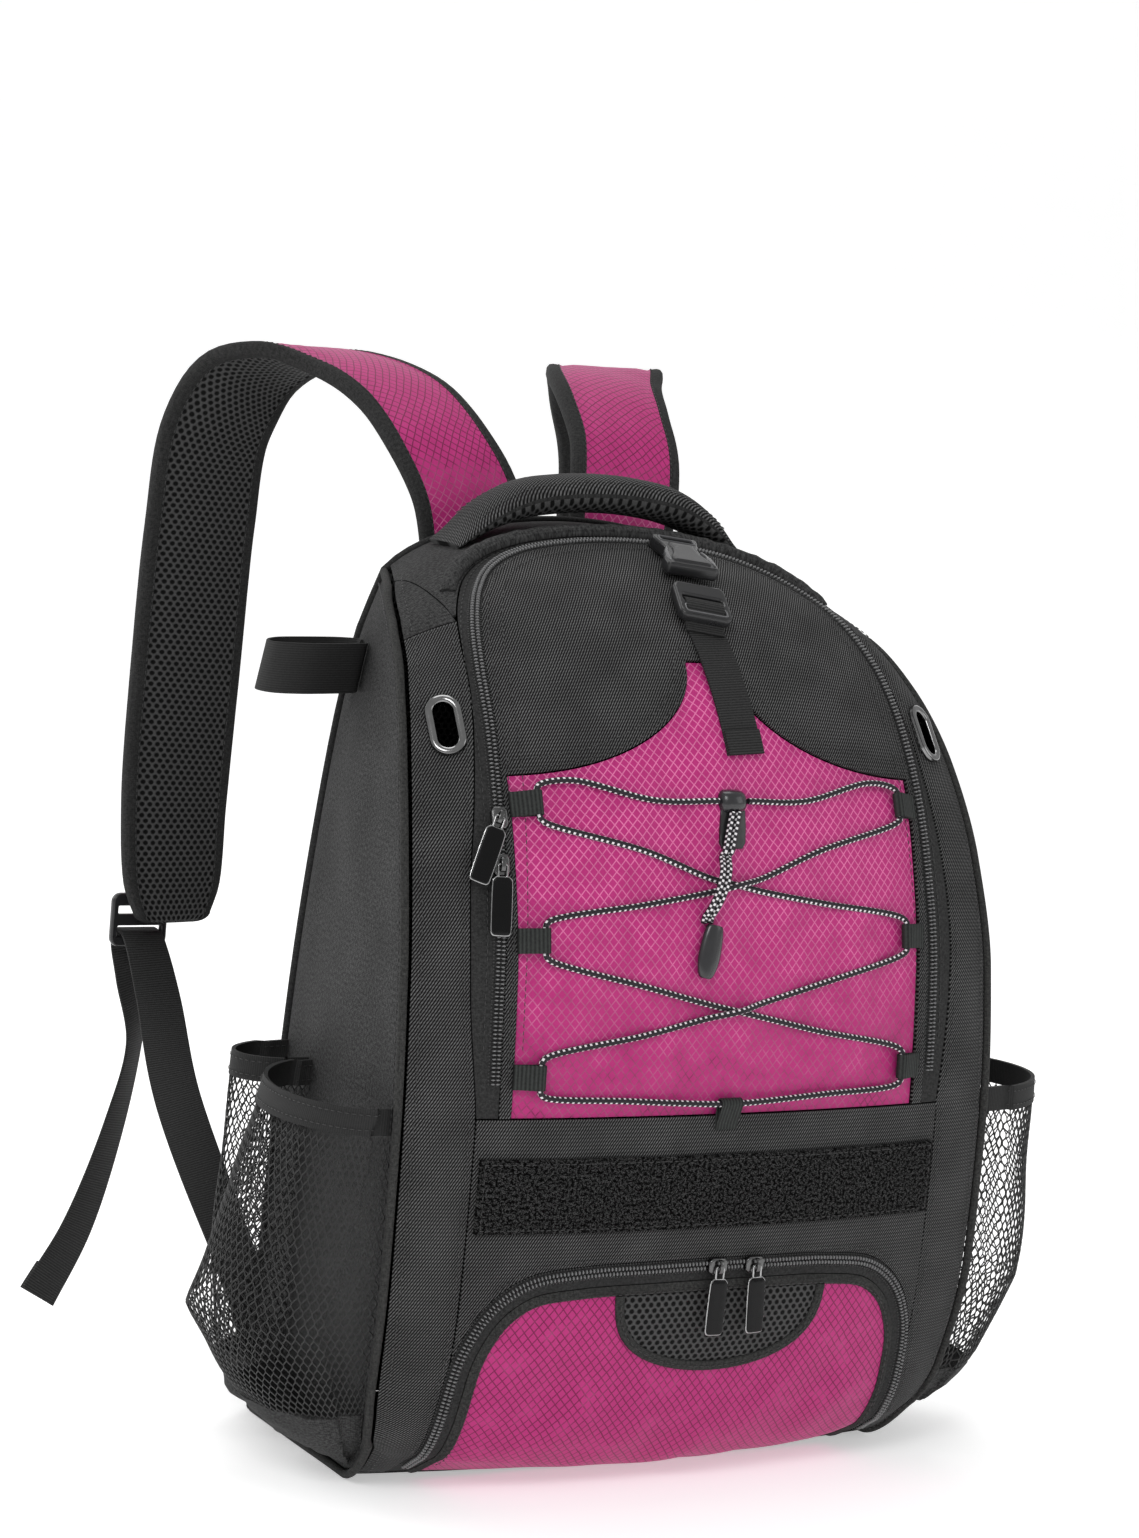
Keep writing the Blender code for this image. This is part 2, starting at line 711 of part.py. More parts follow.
def build_panels():
    """The sewn panels of the skin."""
    zip_line = arch(skin_line(MAIN_ZIP_LINE))
    gusset = skin_line(GUSSET_LINE)
    flap_edge = offset_line(zip_line, -COIL_WIDTH / 2)
    shoe_line = arch(skin_line(SHOE_ZIP_LINE))
    shoe_outer = offset_line(shoe_line, COIL_WIDTH / 2)
    inner, outer = -CLOTH, 0.0
    band = BAND_SEAM * RUN

    # Side bands: beside the loop strip and the main zip, from the base seam to the patch seam
    over_arch = offset_line(shoe_outer, GAP)
    arch_right = over_arch[len(over_arch) // 2 :]
    seam = GUSSET_LINE[0][0] * HALF
    foot_run, patch_run = BASE_SEAM * RUN + GAP, PATCH_SEAM * RUN - GAP
    below = arch_right[arch_right[:, 0] > seam + 2 * GAP][::-1]
    below[0, 1] = foot_run
    seam_foot = np.interp(seam + GAP, arch_right[:, 0], arch_right[:, 1])
    seam_side = offset_line(gusset, -GAP)
    seam_side = seam_side[(seam_side[:, 1] > band + 0.004) & (seam_side[:, 1] < patch_run - 0.004)]
    patch_x = np.interp(patch_run, gusset[:, 1], gusset[:, 0]) + GAP
    inner_edge = np.vstack([below, [(seam + GAP, seam_foot)], [(seam + GAP, band)], seam_side, [(patch_x, patch_run)]])
    outer_edge = edge_line(foot_run, patch_run, 24)
    band_right = np.vstack([outer_edge, inner_edge[::-1]])
    slot = oval(EYELET_WIDTH - 2 * EYELET_RIM + 2 * EYELET_FIT, EYELET_LENGTH - 2 * EYELET_RIM + 2 * EYELET_FIT, 7)
    slot = true_to_skin(EYELET_PLACE[0] * HALF, EYELET_PLACE[1] * RUN, slot)
    for name, sign in (("left", -1), ("right", 1)):
        sheet(
            f"side_band_{name}",
            band_right * (sign, 1),
            on_skin,
            inner,
            outer,
            TWILL,
            holes=(slot * (sign, 1),),
        )

    # Lower band, which carries the loop strip, over the arch of the shoe zip
    edge = seam - GAP
    crown = over_arch[np.abs(over_arch[:, 0]) < edge - 0.002]
    low = np.interp(edge, arch_right[:, 0], arch_right[:, 1])
    lower = np.vstack([[(-edge, band - GAP), (-edge, low)], crown, [(edge, low), (edge, band - GAP)]])
    top_edge = even([lower[-1], lower[0]], 0.030)[1:-1]
    sheet("lower_band", np.vstack([lower, top_edge]), on_skin, inner, outer, TWILL)

    # Main flap: black twill lobes and hem round a ripstop field
    edge = MAGENTA_EDGE * HALF
    centre, size = np.array(LOBE_CENTRE) * (HALF, RUN), np.array(LOBE_SIZE) * (HALF, RUN)
    angles = np.radians(np.linspace(-84, -180, 10))
    lobe = centre + size * np.column_stack([np.cos(angles), np.sin(angles)])
    lobe = lobe[lobe[:, 0] < edge - 0.003]
    field_right = np.vstack([[(edge, band + GAP)], [(edge, lobe[0, 1])], lobe])
    field_right = np.vstack([even(field_right[:2], 0.030), lobe])
    field = np.vstack([field_right, field_right[::-1] * (-1, 1)])
    field = np.vstack([field, even([field[-1], field[0]], 0.030)[1:-1]])
    hem = offset_line(np.vstack([field_right, field_right[::-1][:-1] * (-1, 1)]), -2 * GAP)
    hem[0, 1] = hem[-1, 1] = band + GAP
    flap = flap_edge.copy()
    flap[0, 1] = flap[-1, 1] = band + GAP
    sheet("flap_lower", field, on_skin, inner, outer, MAGENTA)
    sheet("flap_upper", np.vstack([flap, hem]), on_skin, inner, outer, TWILL)

    # Zip tapes
    tape_outer = offset_line(arch(gusset), -GAP)
    tape_outer[0, 1] = tape_outer[-1, 1] = band + GAP
    tape_inner = offset_line(zip_line, -COIL_WIDTH / 2 + GAP)
    tape_inner[0, 1] = tape_inner[-1, 1] = band + GAP
    sheet(
        "zip_main",
        np.vstack([tape_outer, tape_inner[::-1]]),
        on_skin,
        -0.0026,
        -0.0002,
        COIL,
        cell=0.05,
    )
    shoe_tape_outer = offset_line(shoe_outer, -GAP)
    shoe_flap_edge = offset_line(shoe_line, -SHOE_BINDING * HALF)
    shoe_tape_inner = offset_line(shoe_flap_edge, GAP)
    for line in (shoe_tape_outer, shoe_tape_inner, shoe_flap_edge):
        line[0, 1] = line[-1, 1] = BASE_SEAM * RUN + GAP
    sheet(
        "zip_shoe",
        np.vstack([shoe_tape_outer, shoe_tape_inner[::-1]]),
        on_skin,
        -0.0026,
        -0.0002,
        COIL,
        cell=0.05,
    )

    # Shoe compartment flap, with a vent hung from the middle of its top
    top = shoe_flap_edge[:, 1].max()
    angles = np.radians(np.linspace(0, 180, 13))
    vent = np.column_stack([np.cos(angles) * VENT_WIDTH / 2, top - VENT_DEPTH * np.sin(angles) ** 0.62])
    vent[:, 0] += VENT_MIDDLE * HALF
    left_part = shoe_flap_edge[shoe_flap_edge[:, 0] < vent[-1, 0] - 0.004]
    right_part = shoe_flap_edge[shoe_flap_edge[:, 0] > vent[0, 0] + 0.004]
    ends = np.interp(vent[[-1, 0], 0], shoe_flap_edge[:, 0][2:-2], shoe_flap_edge[:, 1][2:-2])
    notch = vent[::-1].copy()
    notch[0, 1], notch[-1, 1] = ends
    flap = np.vstack([left_part, notch, right_part])
    flap = np.vstack([flap, even([flap[-1], flap[0]], 0.030)[1:-1]])
    sheet("shoe_flap", flap, on_skin, inner, outer, MAGENTA)
    vent_loop = notch.copy()
    middle = vent_loop.mean(0)
    shrink = 1 - 2 * GAP / np.linalg.norm(vent_loop - middle, axis=1)
    vent_loop = middle + (vent_loop - middle) * shrink[:, None]
    sheet("shoe_vent", vent_loop, on_skin, inner, outer, AIR_MESH)

    # Shoulder patches, top panel and base panel
    gusset_top = arch(gusset)
    patch_low = PATCH_SEAM * RUN + GAP
    cut = PATCH_INNER * HALF
    run_end = RUN - SEAM_INSET
    patch_high = np.interp(-(cut + SEAM_INSET + 0.002), -PROFILE[600:, 2], RUN_TABLE[600:])
    patch_edge = edge_line(patch_low, patch_high, 9)
    low_inner = np.interp(patch_low, gusset[:, 1], gusset[:, 0])
    patch = np.vstack(
        [patch_edge, [(cut + 2 * GAP, patch_high)], [(cut + 2 * GAP, patch_low + 0.02)], [(low_inner + 2 * GAP, patch_low)]]
    )
    for name, sign in (("left", -1), ("right", 1)):
        sheet(f"shoulder_patch_{name}", patch * (sign, 1), on_skin, inner, outer, SMOOTH_CLOTH)
    front = offset_line(gusset_top, GAP)
    front = front[np.abs(front[:, 0]) < cut - GAP]
    side_edge = edge_line(patch_high + 2 * GAP, run_end, 7)
    side_edge = side_edge[side_edge[:, 0] < cut]
    right_side = np.vstack([[(cut, front[-1, 1])], [(cut, patch_high)], side_edge])
    back = even([right_side[-1], right_side[-1] * (-1, 1)], 0.030)[1:-1]
    right_side[-1, 1] = back_run(right_side[-1, 0])
    back[:, 1] = back_run(back[:, 0])
    top_loop = np.vstack([front, right_side, back, right_side[::-1] * (-1, 1)])
    sheet("top_panel", top_loop, on_skin, inner, outer, SMOOTH_CLOTH)
    base_side = edge_line(SEAM_INSET, BASE_SEAM * RUN - GAP, 8)
    base = np.vstack([base_side, even([base_side[-1], base_side[-1] * (-1, 1)], 0.04)[1:]])
    base = np.vstack([base, base_side[::-1][1:] * (-1, 1)])
    base = np.vstack([base, even([base[-1], base[0]], 0.04)[1:-1]])
    sheet("base_panel", base, on_skin, inner, outer, SMOOTH_CLOTH, cell=0.045)

    # Loop strip on the lower band
    strip_half = STRIP_HALF_LENGTH * HALF
    strip = even([(-strip_half, 0), (strip_half, 0)], 0.03)
    low = STRIP_MIDDLE * RUN - STRIP_HEIGHT / 2
    strip = np.vstack([strip + (0, low), strip[::-1] + (0, low + STRIP_HEIGHT)])
    sheet("loop_strip", strip, on_skin, GAP, GAP + STRIP_THICKNESS, FUZZ)


def back_loop(inset=0.0, count=10):
    """The outline of the back, in x and z, from the lower right corner round to the lower left."""
    top = skin_surface(np.linspace(1, -1, 11) * half_width(RUN), RUN)[:, [0, 2]]
    z = np.linspace(0, top[0, 1], count)[:-1]
    rise = np.column_stack([back_half_width(z), z])
    loop = np.vstack([rise, top, rise[::-1] * (-1, 1)])
    if inset:
        closed = np.vstack([loop[-1], loop, loop[0]])
        shifted = loop.copy()
        for i in range(len(loop)):
            before = unit(closed[i + 1] - closed[i]) if i else np.array((1.0, 0.0))
            after = unit(closed[i + 2] - closed[i + 1]) if i < len(loop) - 1 else np.array((1.0, 0.0))
            normal = unit(np.array((-before[1] - after[1], before[0] + after[0])))
            cosine = max(np.dot(normal, (-before[1], before[0])), 0.5)
            shifted[i] = loop[i] + normal * inset / cosine
        loop = shifted
    return loop


def build_walls():
    """Side walls, the padded back, and the piping between them."""
    inset = even(side_edge(SEAM_INSET), 0.020)
    rear = BACK_Y - SEAM_INSET
    loop = np.vstack([[(rear, inset[0, 1])], inset[1:-1], [(rear, inset[-1, 1])]])
    loop = np.vstack([loop, even([loop[-1], loop[0]], 0.035)[1:-1]])
    for name, sign in (("left", -1), ("right", 1)):
        sheet(f"side_panel_{name}", loop, on_side(sign), -CLOTH, 0.0, SMOOTH_CLOTH)
        tube(f"piping_front_{name}", corner_path() * (sign, 1, 1), PIPING_RADIUS, BINDING)
    outline = back_loop()
    path = np.column_stack([outline[:, 0], np.full(len(outline), BACK_Y), outline[:, 1]])
    path[:, 2] = np.maximum(path[:, 2], PIPING_SEAT)
    tube("piping_back", path, PIPING_RADIUS, BINDING, cyclic=True)
    outline = back_loop(SEAM_INSET)
    outline[:, 1] = np.maximum(outline[:, 1], WALL_FOOT)
    bottom = even([outline[-1], outline[0]], 0.04)[1:-1]

    def place(flat, out):
        return np.column_stack([flat[:, 0], np.full(len(flat), BACK_Y + out), flat[:, 1]])

    sheet("back_panel", np.vstack([outline, bottom]), place, -0.001, BACK_PAD, AIR_MESH, cell=0.045)


def build_ridge():
    """The padded welt that runs over the top of the main zip."""
    gusset = skin_line(GUSSET_LINE, 0.020)
    line = offset_line(arch(gusset), 0.0052)
    line = line[np.abs(line[:, 0]) < PATCH_INNER * HALF * 0.955]
    taper = np.minimum(1, np.minimum(np.arange(len(line)), np.arange(len(line))[::-1]) / 3 + 0.35)
    centres = skin(line[:, 0], line[:, 1], GAP)
    outwards = skin(line[:, 0], line[:, 1], 1.0) - skin(line[:, 0], line[:, 1], 0.0)
    tangent = np.gradient(centres, axis=0)
    across = np.cross(tangent, outwards)
    shape = [(-0.0044, 0), (0.0044, 0), (0.0040, 0.0030), (0.0015, 0.0052), (-0.0015, 0.0052), (-0.0040, 0.0030)]
    section = np.array(shape)[None] * np.stack([np.ones(len(line)), taper], -1)[:, None]
    sweep("storm_ridge", centres, across, section, SMOOTH_CLOTH)


def slider_frames():
    """Frames of the four zip sliders: name, frame on the zip, lean of its pull, and which way it runs."""
    zip_line = skin_line(MAIN_ZIP_LINE)
    shoe = skin_line(SHOE_ZIP_LINE)
    found = []
    for name, step, lean, tilt in (("main_upper", 0, -MAIN_PULL_LEAN, 1.5), ("main_lower", -1, -4.0, 4.0)):
        run = MAIN_SLIDER_RUN * RUN + step * MAIN_SLIDER_SPACING
        lateral = -np.interp(run, zip_line[:, 1], zip_line[:, 0])
        found.append((name, skin_frame(lateral, run), lean, tilt, False))
    middle = VENT_MIDDLE * HALF + 0.004
    for name, step in (("shoe_left", -0.5), ("shoe_right", 0.5)):
        lateral = middle + step * SHOE_SLIDER_SPACING
        run = np.interp(-abs(lateral), -shoe[:, 0], shoe[:, 1])
        found.append((name, skin_frame(lateral, run), 4.0 * step, 3.0, True))
    return found


def build_sliders():
    """Zip sliders, each with a bridge that a pull tab hangs from."""
    for name, frame, lean, tilt, crosswise in slider_frames():
        low, high = GAP, GAP + SLIDER_HEIGHT
        wide, long = (SLIDER_LENGTH, SLIDER_WIDTH) if crosswise else (SLIDER_WIDTH, SLIDER_LENGTH)
        outline = [
            (-wide / 2, -long * 0.30),
            (-wide * 0.32, -long / 2),
            (wide * 0.32, -long / 2),
            (wide / 2, -long * 0.30),
            (wide / 2, long * 0.30),
            (wide * 0.32, long / 2),
            (-wide * 0.32, long / 2),
            (-wide / 2, long * 0.30),
        ]
        body = plate(f"slider_{name}", frame, outline, low, high, METAL)
        origin, across, up, out = turned(frame, lean)
        span, rise = 0.0036, high + BRIDGE_HEIGHT
        profile = np.array(
            [
                (-span, high - 0.0008),
                (-span, high + BRIDGE_HEIGHT * 0.55),
                (-span * 0.55, rise),
                (span * 0.55, rise),
                (span, high + BRIDGE_HEIGHT * 0.55),
                (span, high - 0.0008),
                (span - BRIDGE_WALL, high - 0.0008),
                (span - BRIDGE_WALL, high + BRIDGE_HEIGHT * 0.55 - BRIDGE_WALL * 0.5),
                (span * 0.55 - BRIDGE_WALL * 0.4, rise - BRIDGE_WALL),
                (-span * 0.55 + BRIDGE_WALL * 0.4, rise - BRIDGE_WALL),
                (-span + BRIDGE_WALL, high + BRIDGE_HEIGHT * 0.55 - BRIDGE_WALL * 0.5),
                (-span + BRIDGE_WALL, high - 0.0008),
            ]
        )
        bridge = plate(
            f"bridge_{name}",
            (origin, up, out, across),
            profile,
            -BRIDGE_WIDTH / 2,
            BRIDGE_WIDTH / 2,
            METAL,
        )
        bridge.hide_render = True
        bridge.display_type = "WIRE"
        combine(body, bridge, "UNION")
        build_pull(name, (origin, across, up, out), high, tilt)


def build_pull(name, frame, base, tilt):
    """A pull tab: a wire bar under the bridge, two arms beside it, and an enamelled tab below."""
    origin, across, up, out = frame
    pivot = origin + out * (base + (BRIDGE_HEIGHT - BRIDGE_WALL) * 0.60)
    tilt = min(tilt, math.degrees(math.asin(out[2])))
    c, s = math.cos(math.radians(tilt)), math.sin(math.radians(tilt))
    down, face = -c * up - s * out, c * out - s * up
    arm = BRIDGE_WIDTH / 2 + 0.0006 + PULL_WIRE
    wire = PULL_WIRE
    half, corner = PULL_WIDTH / 2, PULL_WIDTH * 0.30
    foot = PULL_REACH + PULL_LENGTH
    outline = [
        (-arm - wire, -wire),
        (arm + wire, -wire),
        (arm + wire, PULL_REACH - 0.0012),
        (half * 0.62, PULL_REACH),
        (half, PULL_REACH + 0.0030),
        (half, foot - corner),
        (half * 0.80, foot - corner * 0.36),
        (half * 0.45, foot),
        (-half * 0.45, foot),
        (-half * 0.80, foot - corner * 0.36),
        (-half, foot - corner),
        (-half, PULL_REACH + 0.0030),
        (-half * 0.62, PULL_REACH),
        (-arm - wire, PULL_REACH - 0.0012),
    ]
    hole = [
        (-arm + wire, wire),
        (arm - wire, wire),
        (arm - wire, PULL_REACH - 0.0016),
        (-arm + wire, PULL_REACH - 0.0016),
    ]
    flat, faces = fill(outline, [hole], 1.0)
    thick = np.where(flat[:, 1] > PULL_REACH - 0.0014, PULL_THICKNESS / 2, wire)
    base_points = pivot + flat[:, :1] * across + flat[:, 1:] * down
    points = np.vstack([base_points - thick[:, None] * face, base_points + thick[:, None] * face])
    count = len(flat)
    solid = [tuple(reversed(f)) for f in faces] + [tuple(i + count for i in f) for f in faces]
    solid += [(b, b + count, a + count, a) for a, b in rim_edges(faces)]
    finish(f"pull_{name}", points, solid, PULL, origin=pivot, smooth=30)


def build_eyelets():
    """Oval metal eyelets in the side bands."""
    inner_width = EYELET_WIDTH - 2 * EYELET_RIM
    straight = (EYELET_LENGTH - EYELET_WIDTH) / 2
    radii = (
        (EYELET_WIDTH / 2, GAP),
        (EYELET_WIDTH / 2 - 0.0003, GAP + 0.0010),
        (EYELET_WIDTH / 2 - EYELET_RIM / 2, GAP + 0.0022),
        (inner_width / 2, GAP + 0.0012),
        (inner_width / 2, -CLOTH - 0.0008),
        (inner_width / 2 + 0.0007, -CLOTH - 0.0008),
        (inner_width / 2 + 0.0007, GAP),
    )
    angles = np.linspace(0, math.pi, 8)
    for name, sign in (("left", -1), ("right", 1)):
        origin, across, up, out = skin_frame(sign * EYELET_PLACE[0] * HALF, EYELET_PLACE[1] * RUN)
        rings = []
        for radius, height in radii:
            top = [(radius * math.cos(t), straight + radius * math.sin(t)) for t in angles]
            loop = np.array(top + [(-x, -y) for x, y in top])
            rings.append(origin + loop[:, :1] * across + loop[:, 1:] * up + height * out)
        points, count, faces = np.vstack(rings), len(rings[0]), []
        for i in range(len(rings)):
            for j in range(count):
                a, b = i * count + j, i * count + (j + 1) % count
                c, d = ((i + 1) % len(rings)) * count + (j + 1) % count, ((i + 1) % len(rings)) * count + j
                faces.append((a, b, c, d))
        finish(f"eyelet_{name}", points, faces, METAL, smooth=50)


def lace_loop(name, frame, width, reach):
    """A folded ribbon sewn down at one end, with the cord through its fold."""
    origin, across, up, out = frame
    radius = CORD_RADIUS + GAP
    outer = radius + LACE_LOOP_WALL
    lift = GAP + 0.0002
    centre = np.array((reach, lift + outer))
    angles = np.radians(np.linspace(-90, 90, 7))
    outline = [(0, lift)] + [tuple(centre + outer * np.array((math.cos(t), math.sin(t)))) for t in angles]
    outline += [(0, lift + 2 * LACE_LOOP_WALL)]
    angles = np.radians(np.arange(0, 360, 45))
    eye = [tuple(centre + radius * 1.16 * np.array((math.cos(t), math.sin(t)))) for t in angles]
    plate(name, (origin, across, out, up), outline, -width / 2, width / 2, ELASTIC, holes=[eye])
    return lift + outer


CORD_REST = CORD_RADIUS + 2 * GAP
CORD_OVER = CORD_REST + 2 * CORD_RADIUS + GAP


def build_lacing():
    """Loops down both edges of the ripstop field, and one cord that laces them crosswise."""
    edge = LACE_EDGE * HALF
    fold = edge - LACE_LOOP_REACH
    height = 0.0
    for row, share in zip(("top", "middle", "bottom"), LACE_RUNS):
        for name, sign in (("left", -1), ("right", 1)):
            middle, across, up, out = skin_frame(sign * (edge - LACE_LOOP_REACH / 2), share * RUN)
            frame = (middle + sign * across * LACE_LOOP_REACH / 2, -sign * across, up, out)
            height = lace_loop(f"lace_loop_{row}_{name}", frame, LACE_LOOP_WIDTH, LACE_LOOP_REACH)
    foot_run = LACE_FOOT_RUN * RUN
    origin, across, up, out = skin_frame(0, foot_run)
    lace_loop("lace_loop_foot", (origin - up * LACE_LOOP_REACH, up, across, out), LACE_LOOP_WIDTH, LACE_LOOP_REACH)

    runs = [share * RUN for share in LACE_RUNS]
    half = LACE_LOOP_WIDTH / 2
    crossings = [share * RUN for share in CROSSING_RUNS]
    lock_side = LOCK_WIDTH / 2 + GAP

    def through(sign, run, downwards):
        """The cord inside a loop, and its short bends above and below it."""
        step = -1 if downwards else 1
        return [
            (sign * (fold - 0.0030), run - step * (half + 0.0036), height * 0.72),
            (sign * (fold - 0.0004), run - step * (half + 0.0012), height),
            (sign * fold, run - step * half * 0.4, height),
            (sign * fold, run + step * half * 0.4, height),
            (sign * (fold - 0.0004), run + step * (half + 0.0012), height),
            (sign * (fold - 0.0030), run + step * (half + 0.0036), height * 0.72),
        ]

    def over(run, sign, level):
        """Three points at a crossing on the middle line, the middle one at the given level."""
        return [(sign * 0.016, run + 0.0035, CORD_REST), (0, run, level), (-sign * 0.016, run - 0.0035, CORD_REST)]

    lock = LOCK_RUN * RUN
    left = [(-lock_side, lock, CORD_REST + 0.0008), (-0.045, lock + 0.0005, CORD_REST), (-fold * 0.82, lock + half + 0.0050, CORD_REST)]
    route = left + through(-1, runs[0], True)
    route += [(-0.052, (runs[0] - half) * 0.42 + crossings[0] * 0.58 + 0.002, CORD_REST)] + over(crossings[0], -1, CORD_REST)
    route += [(0.052, (runs[1] + half) * 0.45 + crossings[0] * 0.55, CORD_REST)] + through(1, runs[1], True)
    route += [(0.052, (runs[1] - half) * 0.42 + crossings[1] * 0.58, CORD_REST)] + over(crossings[1], 1, CORD_OVER)
    route += [(-0.052, (runs[2] + half) * 0.45 + crossings[1] * 0.55, CORD_REST)] + through(-1, runs[2], True)
    foot_side = half + 0.003
    route += [(-0.060, foot_run + 0.0025, CORD_REST), (-foot_side, foot_run, height), (0, foot_run, height)]
    route += [(foot_side, foot_run, height), (0.060, foot_run + 0.0025, CORD_REST)] + through(1, runs[2], False)
    route += [(0.052, (runs[2] + half) * 0.45 + crossings[1] * 0.55, CORD_REST)]
    route += over(crossings[1], -1, CORD_REST)[::-1]
    route += [(-0.052, (runs[1] - half) * 0.42 + crossings[1] * 0.58, CORD_REST)] + through(-1, runs[1], False)
    route += [(-0.052, (runs[1] + half) * 0.45 + crossings[0] * 0.55, CORD_REST)] + over(crossings[0], 1, CORD_OVER)[::-1]
    route += [(0.052, (runs[0] - half) * 0.42 + crossings[0] * 0.58 + 0.002, CORD_REST)] + through(1, runs[0], False)
    route += [(-a, b, level) for a, b, level in left[::-1]]
    points = skin(*np.array(route).T)
    tube("lacing_cord", bent(smooth_line(points, 0.0012), 70, 0.030, 0.35), CORD_RADIUS, CORD)


def closure_frame(lateral, run, lean, out=0.0):
    return turned(skin_frame(lateral * HALF, run * RUN, out), lean)


def build_lock():
    """The moulded lock on the lacing, its two hanging cord ends and the grip that joins them."""
    lock = skin_frame(0, LOCK_RUN * RUN)
    origin, across, up, out = lock
    head = LOCK_HEAD / 2
    stations = (
        (-head - LOCK_TAB, 1.12, LOCK_FLAT, -0.24),
        (-head - LOCK_TAB * 0.4, 1.02, LOCK_FLAT, -0.12),
        (-head - 0.0004, 0.92, LOCK_FLAT, 0.0),
        (-head, 0.92, LOCK_HEIGHT * 0.86, 0.0),
        (0.0, 0.92, LOCK_HEIGHT, 0.0),
        (head * 0.7, 0.80, LOCK_HEIGHT * 0.86, 0.0),
        (head, 0.52, LOCK_HEIGHT * 0.5, 0.0),
    )
    half = LOCK_WIDTH / 2
    centres, section = [], []
    for rise, width, height, shift in stations:
        centres.append(origin + up * rise + across * shift * half + out * GAP)
        w = half * width
        section.append([(-w, 0), (w, 0), (w, height * 0.7), (w * 0.75, height), (-w * 0.75, height), (-w, height * 0.7)])
    sweep("cord_lock", centres, [across] * len(centres), section, PLASTIC, smooth=30)

    grip = closure_frame(GRIP_PLACE[0], GRIP_PLACE[1], GRIP_LEAN)
    top = CORD_OVER + 2 * CORD_RADIUS + GAP
    over_tab = LOCK_FLAT + 2 * GAP + CORD_RADIUS
    crossing = CROSSING_RUNS[0] * RUN
    start = np.array((0.0, LOCK_RUN * RUN - head - 2 * GAP))
    end = np.array((GRIP_PLACE[0] * HALF - 0.0022, GRIP_PLACE[1] * RUN + CORD_END_LENGTH / 2))
    slope = (end - start) / (start[1] - end[1])

    def lateral(run):
        return start[0] + slope[0] * (start[1] - run)

    hump = 0.0075
    levels = (
        (start[1], over_tab),
        (start[1] - LOCK_TAB * 0.6, over_tab + 0.0007),
        (start[1] - LOCK_TAB - 0.0010, over_tab + 0.0014),
        (crossing + 2 * hump, CORD_REST + 0.0016),
        (crossing + hump, top * 0.86),
        (crossing, top),
        (crossing - hump, top * 0.86),
        (crossing - 2 * hump, CORD_REST + 0.0012),
        (end[1] + 0.0040, CORD_REST + 0.0006),
        (end[1] + 2 * GAP, CORD_END_THICKNESS / 2 + GAP),
    )
    for name, sign in (("left", -0.5), ("right", 0.5)):
        route = [(lateral(run) + sign * TAIL_SPACING, run, level) for run, level in levels]
        tube(f"cord_tail_{name}", bent(smooth_line(skin(*np.array(route).T), 0.0012), 16), CORD_RADIUS, CORD)

    origin, across, up, out = grip
    centres, section = [], []
    for share, width in ((0.5, 0.66), (0.40, 0.84), (0.15, 0.98), (-0.15, 1.0), (-0.36, 0.80), (-0.5, 0.42)):
        centres.append(origin + up * share * CORD_END_LENGTH + out * (GAP + CORD_END_THICKNESS / 2))
        w, h = CORD_END_WIDTH / 2 * width, CORD_END_THICKNESS / 2 * (0.55 + 0.45 * width)
        angles = np.radians(np.arange(0, 360, 36))
        section.append(np.column_stack([w * np.cos(angles), h * np.sin(angles)]))
    sweep("cord_grip", centres, [across] * len(centres), section, PLASTIC, smooth=60)


def build_buckle():
    """The closure strap with its fastened side-release buckle."""
    half = BUCKLE_WIDTH / 2
    low, high = BUCKLE_LIFT, BUCKLE_LIFT + BUCKLE_THICKNESS
    frame = closure_frame(*SOCKET_PLACE, BUCKLE_LEAN)
    outline_rows = (
        (-0.50, 0.94),
        (-0.30, 1.00),
        (-0.12, 0.80),
        (0.10, 0.64),
        (0.28, 0.74),
        (0.50, 0.84),
    )
    right = [(w * half, share * SOCKET_LENGTH) for share, w in outline_rows]
    slot = rectangle(WEBBING_WIDTH * 0.86, SOCKET_LENGTH * 0.5 - 0.0066, SOCKET_LENGTH * 0.5 - 0.0026)
    outline = right + [(-x, y) for x, y in right[::-1]]
    plate("buckle_socket", frame, outline, low, high, PLASTIC, holes=[slot])
    frame = closure_frame(*PLUG_PLACE, BUCKLE_LEAN)
    corner = 0.0030
    top, foot = PLUG_LENGTH / 2, -PLUG_LENGTH / 2
    right = [(half - corner, foot), (half, foot + corner), (half, top - 0.0020), (half * 0.9, top)]
    outline = right + [(-x, y) for x, y in right[::-1]]
    slots = [
        rectangle(WEBBING_WIDTH * 1.06, foot + 0.0032, foot + 0.0072),
        rectangle(WEBBING_WIDTH * 1.06, foot + 0.0112, foot + 0.0152),
    ]
    plate("buckle_plug", frame, outline, low, high - 0.0016, PLASTIC, holes=slots)
    stops = (
        (PLUG_PLACE[0] * HALF, PLUG_PLACE[1] * RUN + PLUG_LENGTH * 0.42),
        (PLUG_PLACE[0] * HALF - 0.0010, PLUG_PLACE[1] * RUN - PLUG_LENGTH * 0.3),
        (CLOSURE_END[0] * HALF, CLOSURE_END[1] * RUN),
    )
    ribbon_on_skin("closure_strap", stops, WEBBING_WIDTH, WEBBING_THICKNESS)
    top = SOCKET_PLACE[1] * RUN + SOCKET_LENGTH / 2 - 0.0070
    flap_top = MAIN_ZIP_LINE[-1][1] * RUN - COIL_WIDTH / 2 - 0.0012
    lean = math.tan(math.radians(-BUCKLE_LEAN))
    middle = (SOCKET_PLACE[0] * HALF + lean * (top - SOCKET_PLACE[1] * RUN), top)
    stops = (middle, (middle[0] + lean * (flap_top - top), flap_top))
    ribbon_on_skin("closure_anchor", stops, WEBBING_WIDTH * 0.8, WEBBING_THICKNESS)


